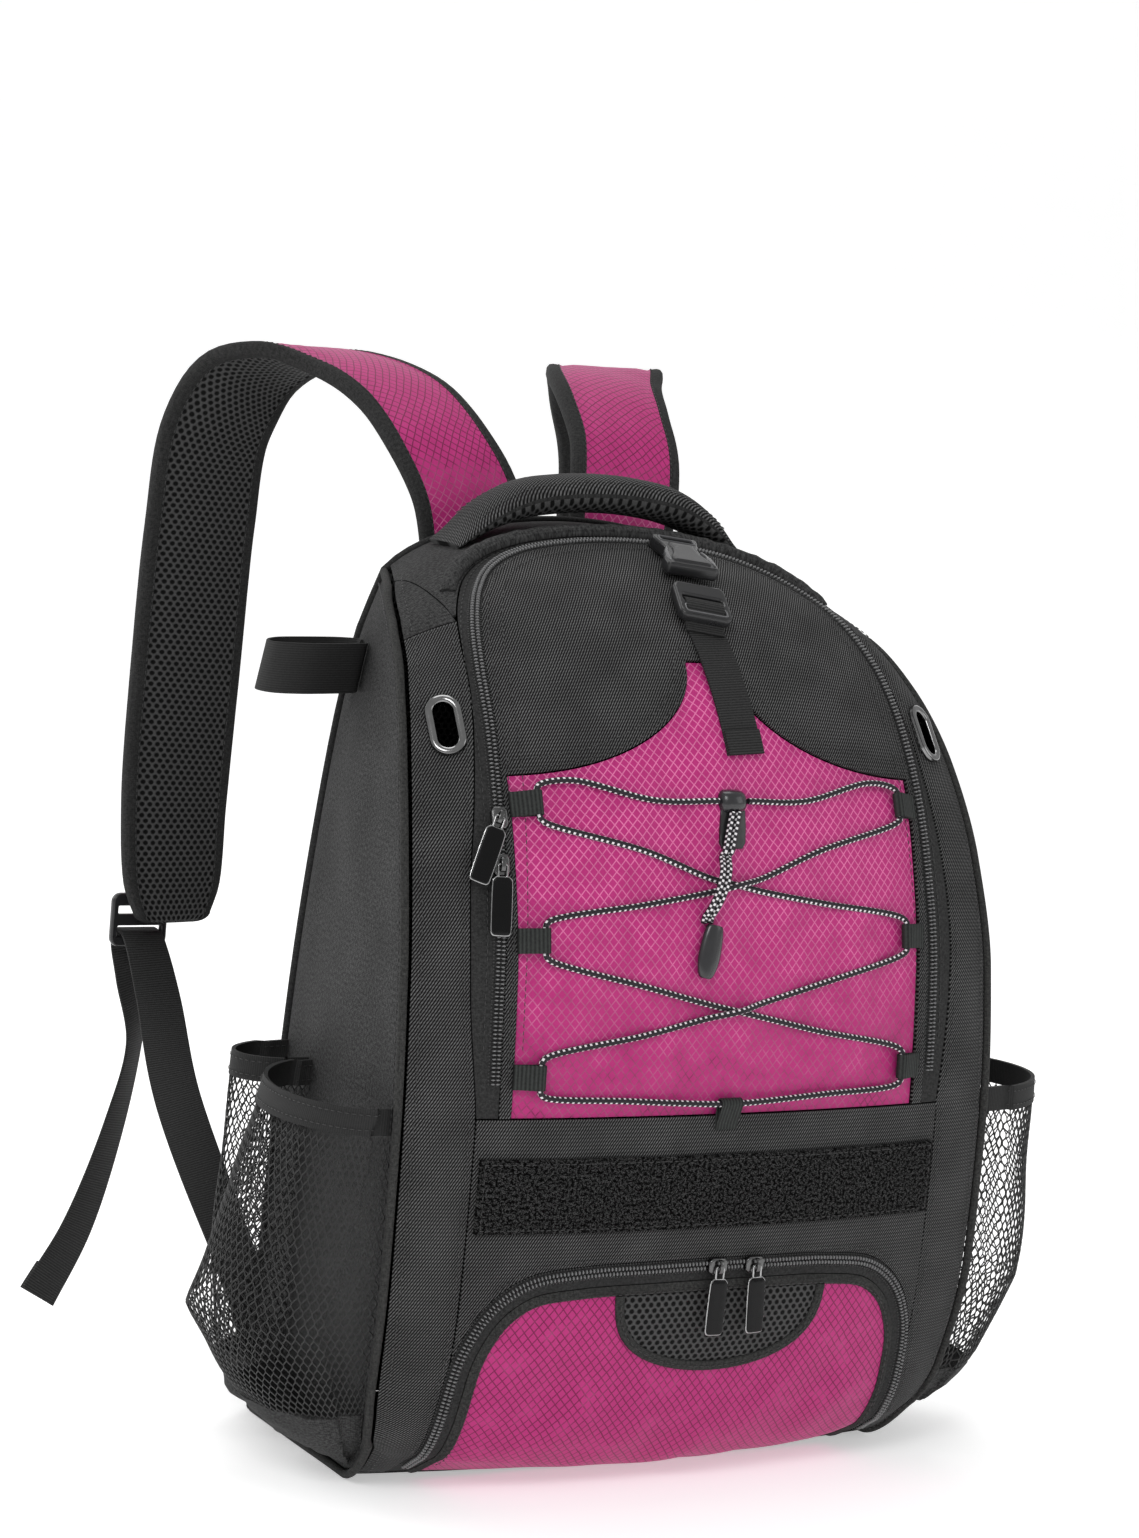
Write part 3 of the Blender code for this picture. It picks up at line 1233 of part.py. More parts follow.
def ribbon_on_skin(name, stops, width, thickness):
    """A flat strap that lies on the skin along the stops."""
    line = even(smooth_line(np.array(stops), 0.004), 0.012)
    centres = skin(line[:, 0], line[:, 1], GAP)
    outwards = skin(line[:, 0], line[:, 1], 1.0) - skin(line[:, 0], line[:, 1], 0.0)
    across = np.cross(np.gradient(centres, axis=0), outwards)
    return sweep(name, centres, across, flat_section(width, thickness), WEBBING)


def build_pockets():
    """Open-topped net pockets on both sides, and an elastic loop above them."""
    for name, sign, front, back, belly, rim, foot in POCKETS:
        rows, columns = (8, 9) if front is None else (7, 7)
        low, high = 0.0100, POCKET_HEIGHT
        edge = side_edge(SEAM_INSET + 0.003)
        edge = edge[edge[:, 1] > low - 0.001]
        layers = []
        for out in (2 * GAP, 2 * GAP + NET):
            points = []
            for i in range(rows):
                t = i / (rows - 1)
                z = low + (high - low) * t**1.25
                rise = np.interp(t, (0.0, 0.10, 0.28, 0.50, 0.75, 1.0), (0.0, foot, 0.5 + foot / 2, 1.0, (1 + rim) / 2, rim))
                lead = np.interp(z, edge[:, 1], edge[:, 0]) if front is None else BACK_Y - front * BODY_DEPTH
                rear = BACK_Y - back * BODY_DEPTH
                for j in range(columns):
                    s = 0.5 - 0.5 * math.cos(math.pi * j / (columns - 1))
                    swell = belly * BODY_WIDTH * rise * (4 * s * (1 - s)) ** 0.5
                    y = lead + (rear - lead) * s
                    points.append(side_surface(y, z) + (swell, 0, 0))
            grid = np.array(points).reshape(rows, columns, 3)
            du, dv = np.gradient(grid, axis=1), np.gradient(grid, axis=0)
            dv[0] = (0.0, 0.0, 1.0)
            du[:, [0, -1]] = (0, -1, 0) if front is None or front > back else (0, 1, 0)
            normal = unit(np.cross(dv, du))
            normal *= np.sign(normal[..., :1].sum()) or 1
            layers.append((grid + normal * out) * (sign, 1, 1))
        points = np.vstack([layer.reshape(-1, 3) for layer in layers])
        count = rows * columns
        faces = []
        for i in range(rows - 1):
            for j in range(columns - 1):
                a = i * columns + j
                quad = (a, a + 1, a + columns + 1, a + columns)
                faces += [quad, tuple(k + count for k in reversed(quad))]
        ring = list(range(columns)) + [i * columns + columns - 1 for i in range(1, rows)]
        ring += [(rows - 1) * columns + j for j in range(columns - 2, -1, -1)]
        ring += [i * columns for i in range(rows - 2, 0, -1)]
        for a, b in zip(ring, ring[1:] + ring[:1]):
            faces.append((b, a, a + count, b + count))
        finish(name, points, faces, NETTING, smooth=60)
    for name, sign in (("left", -1), ("right", 1)):
        rows = np.array(SIDE_LOOP)
        z = SIDE_LOOP_HEIGHT * BODY_HEIGHT
        y = BACK_Y - rows[:, 0] * BODY_DEPTH
        x = side_surface(y, z)[:, 0] + rows[:, 1] * SIDE_LOOP_REACH
        x += 2 * GAP
        line = even(smooth_line(np.column_stack([x, y]), 0.004), 0.011)
        centres = np.column_stack([line * (sign, 1), np.full(len(line), z)])
        section = flat_section(ELASTIC_HEIGHT, sign * ELASTIC_THICKNESS)
        lean = side_surface(y[-1], z + ELASTIC_HEIGHT / 2) - side_surface(y[-1], z - ELASTIC_HEIGHT / 2)
        sweep(f"side_loop_{name}", centres, [lean * (sign, 1, 1)] * len(centres), section, ELASTIC)


def build_handle():
    rows = np.array(HANDLE_ROWS)
    rows = np.vstack([rows * (-1, 1, 1), rows[::-1][1:]])
    scale = np.array((HANDLE_SPAN / 2, HANDLE_RISE, HANDLE_THICKNESS))
    line = smooth_line(rows * scale, 0.016) / (1, *scale[1:])
    run = RUN - (BACK_Y - HANDLE_Y)
    surface = skin_surface(line[:, 0], run)
    outwards = skin(line[:, 0], run, 1.0) - skin(line[:, 0], run, 0.0)
    thick = HANDLE_THICKNESS * line[:, 2]
    centres = surface + outwards * (GAP + thick / 2)[:, None] + np.outer(line[:, 1] * HANDLE_RISE, (0, 0, 1))
    shape = np.array(pad_section(HANDLE_WIDTH, 1.0, 0.45))
    section = shape[None] * np.stack([np.ones(len(line)), thick], -1)[:, None]
    sweep("carry_handle", centres, [(0, -1, 0)] * len(centres), section, SMOOTH_CLOTH, smooth=60)


def strap_stations(rows, spacing):
    """Centres, half widths and half thicknesses along a shoulder strap on the right."""
    rows = np.array(rows)
    base = BACK_Y + BACK_PAD + GAP + STRAP_ROOT / 2
    columns = np.column_stack([rows[:, 0] * HALF, base + rows[:, 1] * BODY_HEIGHT, rows[:, 2] * BODY_HEIGHT])
    return smooth_line(np.column_stack([columns, rows[:, 3:] * 0.02]), spacing)


def build_straps():
    """Padded shoulder straps, their adjusters and the webbing that runs on from them."""
    for name, sign in (("left", -1), ("right", 1)):
        line = strap_stations(STRAP_ROWS, 0.032)
        centres = line[:, :3] * (sign, 1, 1)
        width = STRAP_WIDTH * line[:, 3] / 0.02
        thick = STRAP_ROOT + (STRAP_THICKNESS - STRAP_ROOT) * line[:, 4] / 0.02
        shape = np.array([(-1, -0.42), (-0.74, -1), (0.74, -1), (1, -0.42), (1, 0.42), (0.74, 1), (-0.74, 1), (-1, 0.42)])
        section = shape[None] * np.stack([width / 2, thick / 2], -1)[:, None]
        sweep(f"strap_pad_{name}", centres, [(1, 0, 0)] * len(centres), section, MAGENTA, smooth=60)

        tip = centres[-1]
        out_y = STRAP_THICKNESS / 2 + 0.0022
        middle = tip + np.array((sign * ADJUSTER_SHIFT, out_y, -ADJUSTER_DROP))
        frame = (middle, np.array((1.0, 0, 0)), np.array((0, 0, 1.0)), np.array((0, 1.0, 0)))
        w, h = ADJUSTER_WIDTH / 2, ADJUSTER_LENGTH / 2
        right = [(w - 0.004, -h), (w, -h + 0.005), (w, h - 0.005), (w - 0.004, h)]
        outline = right + [(-x, y) for x, y in right[::-1]]
        slots = [
            rectangle(LOWER_WEBBING_WIDTH + 0.0014, -h * 0.62, -h * 0.62 + 0.0060),
            rectangle(LOWER_WEBBING_WIDTH + 0.0014, h * 0.22, h * 0.22 + 0.0045),
        ]
        plate(f"adjuster_{name}", frame, outline, 0, ADJUSTER_THICKNESS, PLASTIC, holes=slots)
        gate = middle + (0, ADJUSTER_THICKNESS / 2, -h * 0.62 + 0.0030)
        build_lower_webbing(name, sign, gate)


def build_lower_webbing(name, sign, gate):
    """One ribbon from the foot of the back, through the adjuster at the gate, to its hanging end."""
    back = BACK_Y + BACK_PAD
    seat = np.array((0.760 * HALF * sign, back + GAP + 0.0002, 0.055 * BODY_HEIGHT))
    leave = np.array((0.835 * HALF * sign, back + 0.0060, 0.135 * BODY_HEIGHT))
    reach = gate - leave
    middle = leave + reach * (0.5, 0.5, 0.52) + (0.008 * sign, 0, 0)
    into, over = gate + (0, -0.012, -0.0070), gate + (0, -0.0045, -0.0008)
    round_, beyond = gate + (0, 0.0045, 0.0004), gate + (0, 0.0072, -0.0050)
    drop = gate[2] - 0.045 * BODY_HEIGHT
    rows = [
        (seat, (1, 0, 0)),
        (seat * 0.5 + leave * 0.5 - (0, 0.0008, 0), (1, 0.0, 0)),
        (leave, (1, 0, 0)),
        (middle, (0.75, 0.6 * sign, 0)),
        (leave + reach * 0.80, (0.95, 0.25 * sign, 0)),
        (into, (1, 0, 0)),
        (over, (1, 0, 0)),
        (gate, (1, 0, 0)),
        (round_, (1, 0, 0)),
        (beyond, (1, 0, 0)),
        (beyond + (-0.003 * sign, 0.0016, -0.10 * drop), (0.95, -0.3 * sign, 0)),
        (beyond + (-0.008 * sign, 0.0030, -0.28 * drop), (0.72, -0.70 * sign, 0)),
        (beyond + (0.000 * sign, 0.0030, -0.50 * drop), (0.80, -0.60 * sign, 0)),
        (beyond + (0.020 * sign, 0.0020, -0.80 * drop), (0.95, -0.35 * sign, 0)),
        (beyond + (0.042 * sign, 0.0000, -0.985 * drop), (1, -0.15 * sign, 0)),
    ]
    points = smooth_line(np.array([np.concatenate([p, unit(np.array(a, float)) * 0.02]) for p, a in rows]), 0.0030)
    points = bent(points, 32)
    half = WEBBING_THICKNESS / 2
    section = [(-LOWER_WEBBING_WIDTH / 2, -half), (LOWER_WEBBING_WIDTH / 2, -half)]
    section += [(LOWER_WEBBING_WIDTH / 2, half), (-LOWER_WEBBING_WIDTH / 2, half)]
    points[:, 1] += np.where(np.arange(len(points)) < 3, half, 0)
    sweep(f"lower_webbing_{name}", points[:, :3], points[:, 3:], section, WEBBING)


def main():
    for old in list(bpy.data.objects):
        bpy.data.objects.remove(old, do_unlink=True)
    build_panels()
    build_walls()
    build_ridge()
    build_sliders()
    build_eyelets()
    build_lacing()
    build_lock()
    build_buckle()
    build_pockets()
    build_handle()
    build_straps()


main()
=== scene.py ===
import json
import math

import bpy
import numpy as np
from mathutils import Matrix, Vector
from mathutils.geometry import delaunay_2d_cdt
from mathutils.kdtree import KDTree

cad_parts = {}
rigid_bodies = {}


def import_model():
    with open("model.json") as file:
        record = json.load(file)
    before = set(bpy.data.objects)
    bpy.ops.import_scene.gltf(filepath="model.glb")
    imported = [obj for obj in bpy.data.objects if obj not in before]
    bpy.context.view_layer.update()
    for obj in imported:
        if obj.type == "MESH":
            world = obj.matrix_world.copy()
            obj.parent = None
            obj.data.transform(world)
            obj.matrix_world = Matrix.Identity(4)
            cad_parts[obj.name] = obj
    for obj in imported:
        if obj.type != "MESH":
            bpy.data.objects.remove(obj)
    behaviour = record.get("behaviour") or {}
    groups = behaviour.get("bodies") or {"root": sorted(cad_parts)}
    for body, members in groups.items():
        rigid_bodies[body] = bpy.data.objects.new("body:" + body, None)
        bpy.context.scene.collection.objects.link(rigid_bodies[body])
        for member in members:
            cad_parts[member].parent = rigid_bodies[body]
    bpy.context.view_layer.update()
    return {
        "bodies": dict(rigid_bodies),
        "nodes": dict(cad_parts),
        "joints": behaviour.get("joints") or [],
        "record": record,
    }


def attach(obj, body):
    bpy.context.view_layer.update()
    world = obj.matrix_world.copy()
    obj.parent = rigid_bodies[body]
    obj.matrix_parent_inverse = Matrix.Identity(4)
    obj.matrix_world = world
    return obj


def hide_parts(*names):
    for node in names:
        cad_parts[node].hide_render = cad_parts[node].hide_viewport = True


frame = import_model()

print("frame loaded", len(frame["nodes"]), "nodes")

# the bag stands on z = 0, its front faces -Y; lengths are in metres
bag = {
    "width": 0.356,
    "depth": 0.202,
    "height": 0.478,
    "cloth": 0.002,
    "gap": 0.0004,
    "pipingRadius": 0.0022,
    "backPad": 0.01,
    "sideBulge": 0.004,
    "crownRoundness": 0.93,
}
bothSides = (("left", -1), ("right", 1))
half = bag["width"] / 2
backY = 0.416 * bag["depth"]
seamInset = bag["pipingRadius"] + bag["gap"]
pipingSeat = bag["pipingRadius"] * 1.02

# forward, up, half width and crown, as shares of depth, height, half width and depth
skinSections = (
    (0.000, 0.000, 0.840, 0.000),
    (0.300, 0.000, 0.870, 0.000),
    (0.620, 0.000, 0.900, 0.010),
    (0.830, 0.018, 0.935, 0.100),
    (0.950, 0.092, 0.975, 0.115),
    (0.992, 0.230, 0.998, 0.095),
    (1.000, 0.400, 1.000, 0.100),
    (0.985, 0.560, 0.994, 0.120),
    (0.930, 0.690, 0.972, 0.145),
    (0.835, 0.805, 0.932, 0.170),
    (0.680, 0.902, 0.876, 0.182),
    (0.470, 0.965, 0.815, 0.180),
    (0.230, 0.994, 0.720, 0.165),
    (0.000, 1.000, 0.600, 0.150),
)
backSections = ((0.0, 0.84), (0.22, 0.83), (0.45, 0.805), (0.7, 0.745), (0.86, 0.675), (0.937, 0.6))

# lines on the skin: lateral as a share of the half width, run as a share of the whole run
mainZipLine = (
    (0.737, 0.4795), (0.737, 0.5570), (0.729, 0.6230), (0.708, 0.7330), (0.683, 0.7970), (0.638, 0.8400),
    (0.566, 0.8760), (0.478, 0.8990), (0.370, 0.9120), (0.200, 0.9180), (0.000, 0.9195),
)
gussetLine = (
    (0.784, 0.4795), (0.815, 0.5570), (0.812, 0.6250), (0.778, 0.6920), (0.735, 0.7640), (0.706, 0.8190),
    (0.668, 0.8540), (0.595, 0.8880), (0.496, 0.9100), (0.375, 0.9220), (0.200, 0.9275), (0.000, 0.9285),
)
shoeZipLine = (
    (0.786, 0.1800), (0.780, 0.2350), (0.775, 0.2850), (0.755, 0.3220), (0.690, 0.3520), (0.585, 0.3700),
    (0.420, 0.3760), (0.200, 0.3775), (0.000, 0.3780),
)
seams = {"base": 0.18, "band": 0.4795, "patch": 0.84, "patchInner": 0.69, "magenta": 0.678}


def bodyCurve(rows, at):
    rows = np.array(rows, float)
    x, columns = rows[:, 0], rows[:, 1:]
    at = np.clip(at, x[0], x[-1])
    step = np.diff(x)
    slope = np.diff(columns, axis=0) / step[:, None]
    tangent = np.vstack([slope[:1], slope[:-1], slope[-1:]])
    for i in range(1, len(x) - 1):
        before, after = slope[i - 1], slope[i]
        w1, w2 = 2 * step[i] + step[i - 1], step[i] + 2 * step[i - 1]
        with np.errstate(divide="ignore", invalid="ignore"):
            mean = (w1 + w2) / (w1 / before + w2 / after)
        tangent[i] = np.where(before * after > 0, mean, 0)
    i = np.clip(np.searchsorted(x, at, side="right") - 1, 0, len(x) - 2)
    t, h = ((at - x[i]) / step[i])[:, None], step[i][:, None]
    return (
        (2 * t**3 - 3 * t**2 + 1) * columns[i]
        + (t**3 - 2 * t**2 + t) * h * tangent[i]
        + (3 * t**2 - 2 * t**3) * columns[i + 1]
        + (t**3 - t**2) * h * tangent[i + 1]
    )


def skinProfile():
    rows = np.array(skinSections)
    columns = np.column_stack([backY - rows[:, 0] * bag["depth"], rows[:, 1] * bag["height"],
            rows[:, 2] * half, rows[:, 3] * bag["depth"]])
    chord = np.concatenate([[0], np.cumsum(np.linalg.norm(np.diff(columns[:, :2], axis=0), axis=1))])
    fine = bodyCurve(np.column_stack([chord, columns]), np.linspace(0, chord[-1], 1201))
    run = np.concatenate([[0], np.cumsum(np.linalg.norm(np.diff(fine[:, :2], axis=0), axis=1))])
    along = np.gradient(fine[:, :2], run, axis=0)
    along /= np.linalg.norm(along, axis=1)[:, None]
    return run, np.column_stack([fine, along])


runTable, profile = skinProfile()
wholeRun = runTable[-1]


def unit(v):
    return v / np.maximum(np.linalg.norm(v, axis=-1, keepdims=True), 1e-12)


def halfWidth(run):
    return np.interp(run, runTable, profile[:, 2])


def skinSurface(lateral, run):
    lateral, run = np.broadcast_arrays(np.asarray(lateral, float), np.asarray(run, float))
    y, z, wide, crown, alongY, alongZ = (np.interp(run, runTable, profile[:, k]) for k in range(6))
    t = np.clip(lateral / wide, -1, 1)
    drop = 1 - np.sqrt(1 - (bag["crownRoundness"] * t) ** 2)
    drop = crown * drop / (1 - math.sqrt(1 - bag["crownRoundness"] ** 2))
    return np.stack([lateral, y + alongZ * drop, z - alongY * drop], -1)


def skin(lateral, run, out=0.0):
    lateral, run = np.broadcast_arrays(np.asarray(lateral, float), np.asarray(run, float))
    e = 0.0005
    across = skinSurface(lateral + e, run) - skinSurface(lateral - e, run)
    up = skinSurface(lateral, np.minimum(run + e, wholeRun)) - skinSurface(lateral, np.maximum(run - e, 0))
    return skinSurface(lateral, run) + unit(np.cross(across, up)) * np.asarray(out)[..., None]


def onSkin(flat, out):
    return skin(flat[:, 0], flat[:, 1], out)


def outwardsAt(line):
    return onSkin(line, 1.0) - onSkin(line, 0.0)


def skinFrame(lateral, run):
    e = 0.002
    origin = skin(lateral, run)
    across = unit(skin(lateral + e, run) - skin(lateral - e, run))
    up = skin(lateral, run + e) - skin(lateral, run - e)
    up = unit(up - across * np.dot(up, across))
    return origin, across, up, np.cross(across, up)


def trueToSkin(lateral, run, offsets):
    e = 0.002
    _, across, up, _ = skinFrame(lateral, run)
    perLateral = (skin(lateral + e, run) - skin(lateral - e, run)) / (2 * e)
    perRun = (skin(lateral, run + e) - skin(lateral, run - e)) / (2 * e)
    offsets = np.asarray(offsets, float)
    rise = offsets[:, 1] / np.dot(perRun, up)
    shift = (offsets[:, 0] - rise * np.dot(perRun, across)) / np.dot(perLateral, across)
    return np.column_stack([lateral + shift, run + rise])


cornerRun = np.linspace(0, wholeRun, 600)
corner = skinSurface(halfWidth(cornerRun), cornerRun)
frontCorner = corner[np.argmin(corner[:, 2] < 0.001 * bag["height"]):]


def cornerY(z):
    return np.interp(z, frontCorner[:, 2], frontCorner[:, 1])


def backHalfWidth(z):
    return bodyCurve(backSections, np.atleast_1d(z) / bag["height"])[:, 0] * half


def sideSurface(y, z):
    y, z = np.broadcast_arrays(np.asarray(y, float), np.asarray(z, float))
    frontX = np.interp(z, frontCorner[:, 2], frontCorner[:, 0])
    backX = backHalfWidth(z.ravel()).reshape(z.shape)
    share = np.clip((backY - y) / np.maximum(backY - cornerY(z), 0.001), 0, 1)
    swell = bag["sideBulge"] * np.sin(math.pi * share) * np.sin(math.pi * np.clip(z / frontCorner[-1, 2], 0, 1))
    return np.stack([backX + (frontX - backX) * share + swell, y, z], -1)


def side(y, z, out=0.0):
    e = 0.001
    forward = sideSurface(y - e, z) - sideSurface(y + e, z)
    up = sideSurface(y, z + e) - sideSurface(y, np.maximum(z - e, 0))
    return sideSurface(y, z) + unit(np.cross(up, forward)) * np.asarray(out)[..., None]


def smoothLine(points, spacing):
    points = np.asarray(points, float)
    ends = np.vstack([2 * points[0] - points[1], points, 2 * points[-1] - points[-2]])
    found = []
    for i in range(1, len(ends) - 2):
        p0, p1, p2, p3 = ends[i - 1:i + 3]
        d1, d2, d3 = (max(np.linalg.norm(b - a) ** 0.5, 1e-6) for a, b in ((p0, p1), (p1, p2), (p2, p3)))
        m1 = d2 * ((p1 - p0) / d1 - (p2 - p0) / (d1 + d2)) + (p2 - p1)
        m2 = d2 * ((p3 - p2) / d3 - (p3 - p1) / (d2 + d3)) + (p2 - p1)
        count = max(int(math.ceil(np.linalg.norm(p2 - p1) / spacing)), 1)
        t = (np.arange(count) / count)[:, None]
        found.append((2 * t**3 - 3 * t**2 + 1) * p1 + (t**3 - 2 * t**2 + t) * m1
            + (3 * t**2 - 2 * t**3) * p2 + (t**3 - t**2) * m2)
    return np.vstack(found + [points[-1:]])


def lineLength(line):
    return np.concatenate([[0], np.cumsum(np.linalg.norm(np.diff(line, axis=0), axis=1))])


def even(line, spacing):
    line = np.asarray(line, float)
    length = lineLength(line)
    at = np.linspace(0, length[-1], max(int(round(length[-1] / spacing)), 1) + 1)
    return np.column_stack([np.interp(at, length, line[:, k]) for k in range(line.shape[1])])


def offsetLine(line, distance):  # to the line's left
    tangent = unit(np.gradient(np.asarray(line, float), axis=0))
    return line + distance * np.column_stack([-tangent[:, 1], tangent[:, 0]])


def skinLine(rows, spacing=0.006):
    return smoothLine(np.array(rows) * (half, wholeRun), spacing)


def arch(line):
    return np.vstack([line * (-1, 1), line[::-1][1:]])


def mirrored(line):
    return np.vstack([line, line[::-1] * (-1, 1)])


def straight(a, b, spacing=0.006):
    return even(np.array([a, b], float), spacing)


def closedStraight(line):
    return np.vstack([line, straight(line[-1], line[0])[1:-1]])


def within(points, loop):
    inside = np.zeros(len(points), bool)
    for a, b in zip(loop, np.roll(loop, -1, axis=0)):
        if a[1] == b[1]:
            continue
        rise = (a[1] > points[:, 1]) != (b[1] > points[:, 1])
        inside ^= rise & (points[:, 0] < a[0] + (points[:, 1] - a[1]) * (b[0] - a[0]) / (b[1] - a[1]))
    return inside


def distanceTo(points, loops):
    nearest = np.full(len(points), 1e9)
    for loop in loops:
        along = np.roll(loop, -1, axis=0) - loop
        length = np.maximum((along**2).sum(1), 1e-18)
        for start in range(0, len(points), 2000):
            part = points[start:start + 2000]
            t = np.clip(((part[:, None] - loop) * along).sum(-1) / length, 0, 1)
            away = np.linalg.norm(part[:, None] - loop - t[..., None] * along, axis=-1).min(1)
            nearest[start:start + 2000] = np.minimum(nearest[start:start + 2000], away)
    return nearest


def dense(loop, spacing):
    closed = np.vstack([loop, loop[:1]])
    found = []
    for a, b in zip(closed, closed[1:]):
        count = max(int(round(np.linalg.norm(b - a) / spacing)), 1)
        found.append(a + (b - a) * (np.arange(count) / count)[:, None])
    return np.vstack(found)


def fill(outline, holes, cell):
    loops = [dense(np.asarray(loop, float), cell) for loop in (outline, *holes)]
    low, high = loops[0].min(0), loops[0].max(0)
    xs = np.arange(low[0], high[0] + cell, cell)
    ys = np.arange(low[1] + cell / 2, high[1], cell * 0.87)
    grid = np.array([(x + (i % 2) * cell / 2, y) for i, y in enumerate(ys) for x in xs]).reshape(-1, 2)
    if len(grid):
        keep = within(grid, loops[0])
        for hole in loops[1:]:
            keep &= ~within(grid, hole)
        grid = grid[keep]
    if len(grid):
        grid = grid[distanceTo(grid, loops) > 0.5 * cell]
    edges, points = [], []
    for loop in loops:
        start = len(points)
        points += [tuple(p) for p in loop]
        edges += [(start + i, start + (i + 1) % len(loop)) for i in range(len(loop))]
    points += [tuple(p) for p in grid]
    made, _, faces, *_ = delaunay_2d_cdt(points, edges, [], 1, 1e-7)
    made = np.array([tuple(v) for v in made])
    faces = np.array([face for face in faces if len(face) == 3])
    middles = made[faces].mean(1)
    keep = within(middles, loops[0])
    for hole in loops[1:]:
        keep &= ~within(middles, hole)
    return made, faces[keep], loops


def rimEdges(faces):
    ends = np.concatenate([faces[:, [0, 1]], faces[:, [1, 2]], faces[:, [2, 0]]])
    known = {(a, b) for a, b in ends.tolist()}
    return np.array([(a, b) for a, b in known if (b, a) not in known])


def makePiece(name, points, faces, looks, uv=None, faceLook=None, smooth=40, body="bag", nodes=()):
    # faces is a list of arrays, each of one size of face; uv is per corner, in the same order
    points = np.asarray(points, float)
    blocks = [np.asarray(block, int) for block in faces if len(block)]
    volume = 0.0  # below nothing where the faces point inwards
    for block in blocks:
        for j in range(1, block.shape[1] - 1):
            a, b, c = points[block[:, 0]], points[block[:, j]], points[block[:, j + 1]]
            volume += np.einsum("ij,ij->", a, np.cross(b, c))
    if volume < 0:
        blocks = [block[:, ::-1] for block in blocks]
        if uv is not None:
            uv = [corners[:, ::-1] for corners in uv]
    mesh = bpy.data.meshes.new(name)
    mesh.from_pydata(points.tolist(), [], [tuple(f) for block in blocks for f in block.tolist()])
    if uv is not None:
        layer = mesh.uv_layers.new(name="cloth")
        layer.data.foreach_set("uv", np.concatenate([c.reshape(-1) for c in uv]).astype(np.float32))
    looks = looks if isinstance(looks, (list, tuple)) else [looks]
    for look in looks:
        mesh.materials.append(look)
    if faceLook is not None:
        mesh.polygons.foreach_set("material_index", np.asarray(faceLook, np.int32))
    mesh.shade_smooth()
    mesh.set_sharp_from_angle(angle=math.radians(smooth))
    piece = bpy.data.objects.new(name, mesh)
    bpy.context.scene.collection.objects.link(piece)
    settle(piece, body, nodes)
    return piece


def settle(piece, body, nodes=()):
    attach(piece, body)
    if nodes:
        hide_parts(*nodes)


def ripple(flat, size, seed):
    rng = np.random.default_rng(seed)
    total = np.zeros(len(flat))
    for _ in range(7):
        angle, phase = rng.uniform(0, 2 * math.pi, 2)
        wave = 2 * math.pi / (size * rng.uniform(0.7, 1.6))
        total += np.sin(wave * (flat[:, 0] * math.cos(angle) + flat[:, 1] * math.sin(angle)) + phase)
    return total / 4


def onSide(direction):
    return lambda flat, out: side(flat[:, 0], flat[:, 1], out) * (direction, 1, 1)


def clothPanel(name, outline, look, nodes, place=onSkin, holes=(), cell=0.0055, lift=0.0, puff=0.0008,
        reach=0.006, thick=0.0018, wave=0.0005, waveSize=0.06, seed=1, shape=None):
    # a sewn panel: full in the middle, pulled down along its seams
    flat, tris, loops = fill(outline, holes, cell)
    away = distanceTo(flat, loops)
    rise = puff * (1 - np.exp(-away / reach)) + wave * ripple(flat, waveSize, seed) * (1 - np.exp(-away / 0.015))
    if shape is not None:
        rise = rise + shape(flat, away)
    count = len(flat)
    points = np.vstack([place(flat, lift - thick + 0 * away), place(flat, lift + rise - 0.0002)])
    rim = rimEdges(tris)
    walls = np.column_stack([rim[:, 0], rim[:, 1], rim[:, 1] + count, rim[:, 0] + count])
    blocks = [tris[:, ::-1], tris + count, walls]
    both = np.vstack([flat, flat])
    return makePiece(name, points, blocks, look, uv=[both[b] for b in blocks], smooth=50, nodes=nodes)


def ringFaces(rings, sides, closed=False):
    # four corners of every face between rings of points, with its ring and side
    rows = np.arange(rings if closed else rings - 1)
    i, j = (k.ravel() for k in np.meshgrid(rows, np.arange(sides), indexing="ij"))
    here, after, beside = i * sides, (i + 1) % rings * sides, (j + 1) % sides
    return np.column_stack([here + j, here + beside, after + beside, after + j]), i, j


def ringUv(around, along, i, j):
    corners = ((j, i), (j + 1, i), (j + 1, i + 1), (j, i + 1))
    return np.stack([np.column_stack([around[a], along[b]]) for a, b in corners], 1)


def sweepPiece(name, centres, across, sections, looks, faceLook=None, smooth=40, nodes=()):
    # a section carried along centres; UV holds metres round the section and along the path
    centres = np.asarray(centres, float)
    across = unit(np.broadcast_to(np.asarray(across, float), centres.shape))
    tangent = unit(np.gradient(centres, axis=0))
    across = unit(across - tangent * (across * tangent).sum(1)[:, None])
    normal = np.cross(across, tangent)
    sections = np.asarray(sections, float)
    if sections.ndim == 2:
        sections = np.broadcast_to(sections, (len(centres), *sections.shape))
    n = sections.shape[1]
    points = (centres[:, None] + sections[..., :1] * across[:, None] + sections[..., 1:] * normal[:, None])
    quads, i, j = ringFaces(len(centres), n)
    ring = np.linalg.norm(np.diff(np.vstack([sections[0], sections[0][:1]]), axis=0), axis=1)
    around = np.concatenate([[0], np.cumsum(ring)])
    corners = ringUv(around, lineLength(centres), i, j)
    first, last = np.arange(n)[None, ::-1], (len(centres) - 1) * n + np.arange(n)[None]
    capUv = np.repeat(sections[0][None, :, :], 2, axis=0) * 0.2
    blocks, uv = [quads, first, last], [corners, capUv[:1], capUv[:1]]
    if faceLook is not None:
        faceLook = np.concatenate([np.asarray(faceLook)[j], [faceLook[0], faceLook[0]]])
    return makePiece(name, points.reshape(-1, 3), blocks, looks, uv=uv, faceLook=faceLook, smooth=smooth, nodes=nodes)


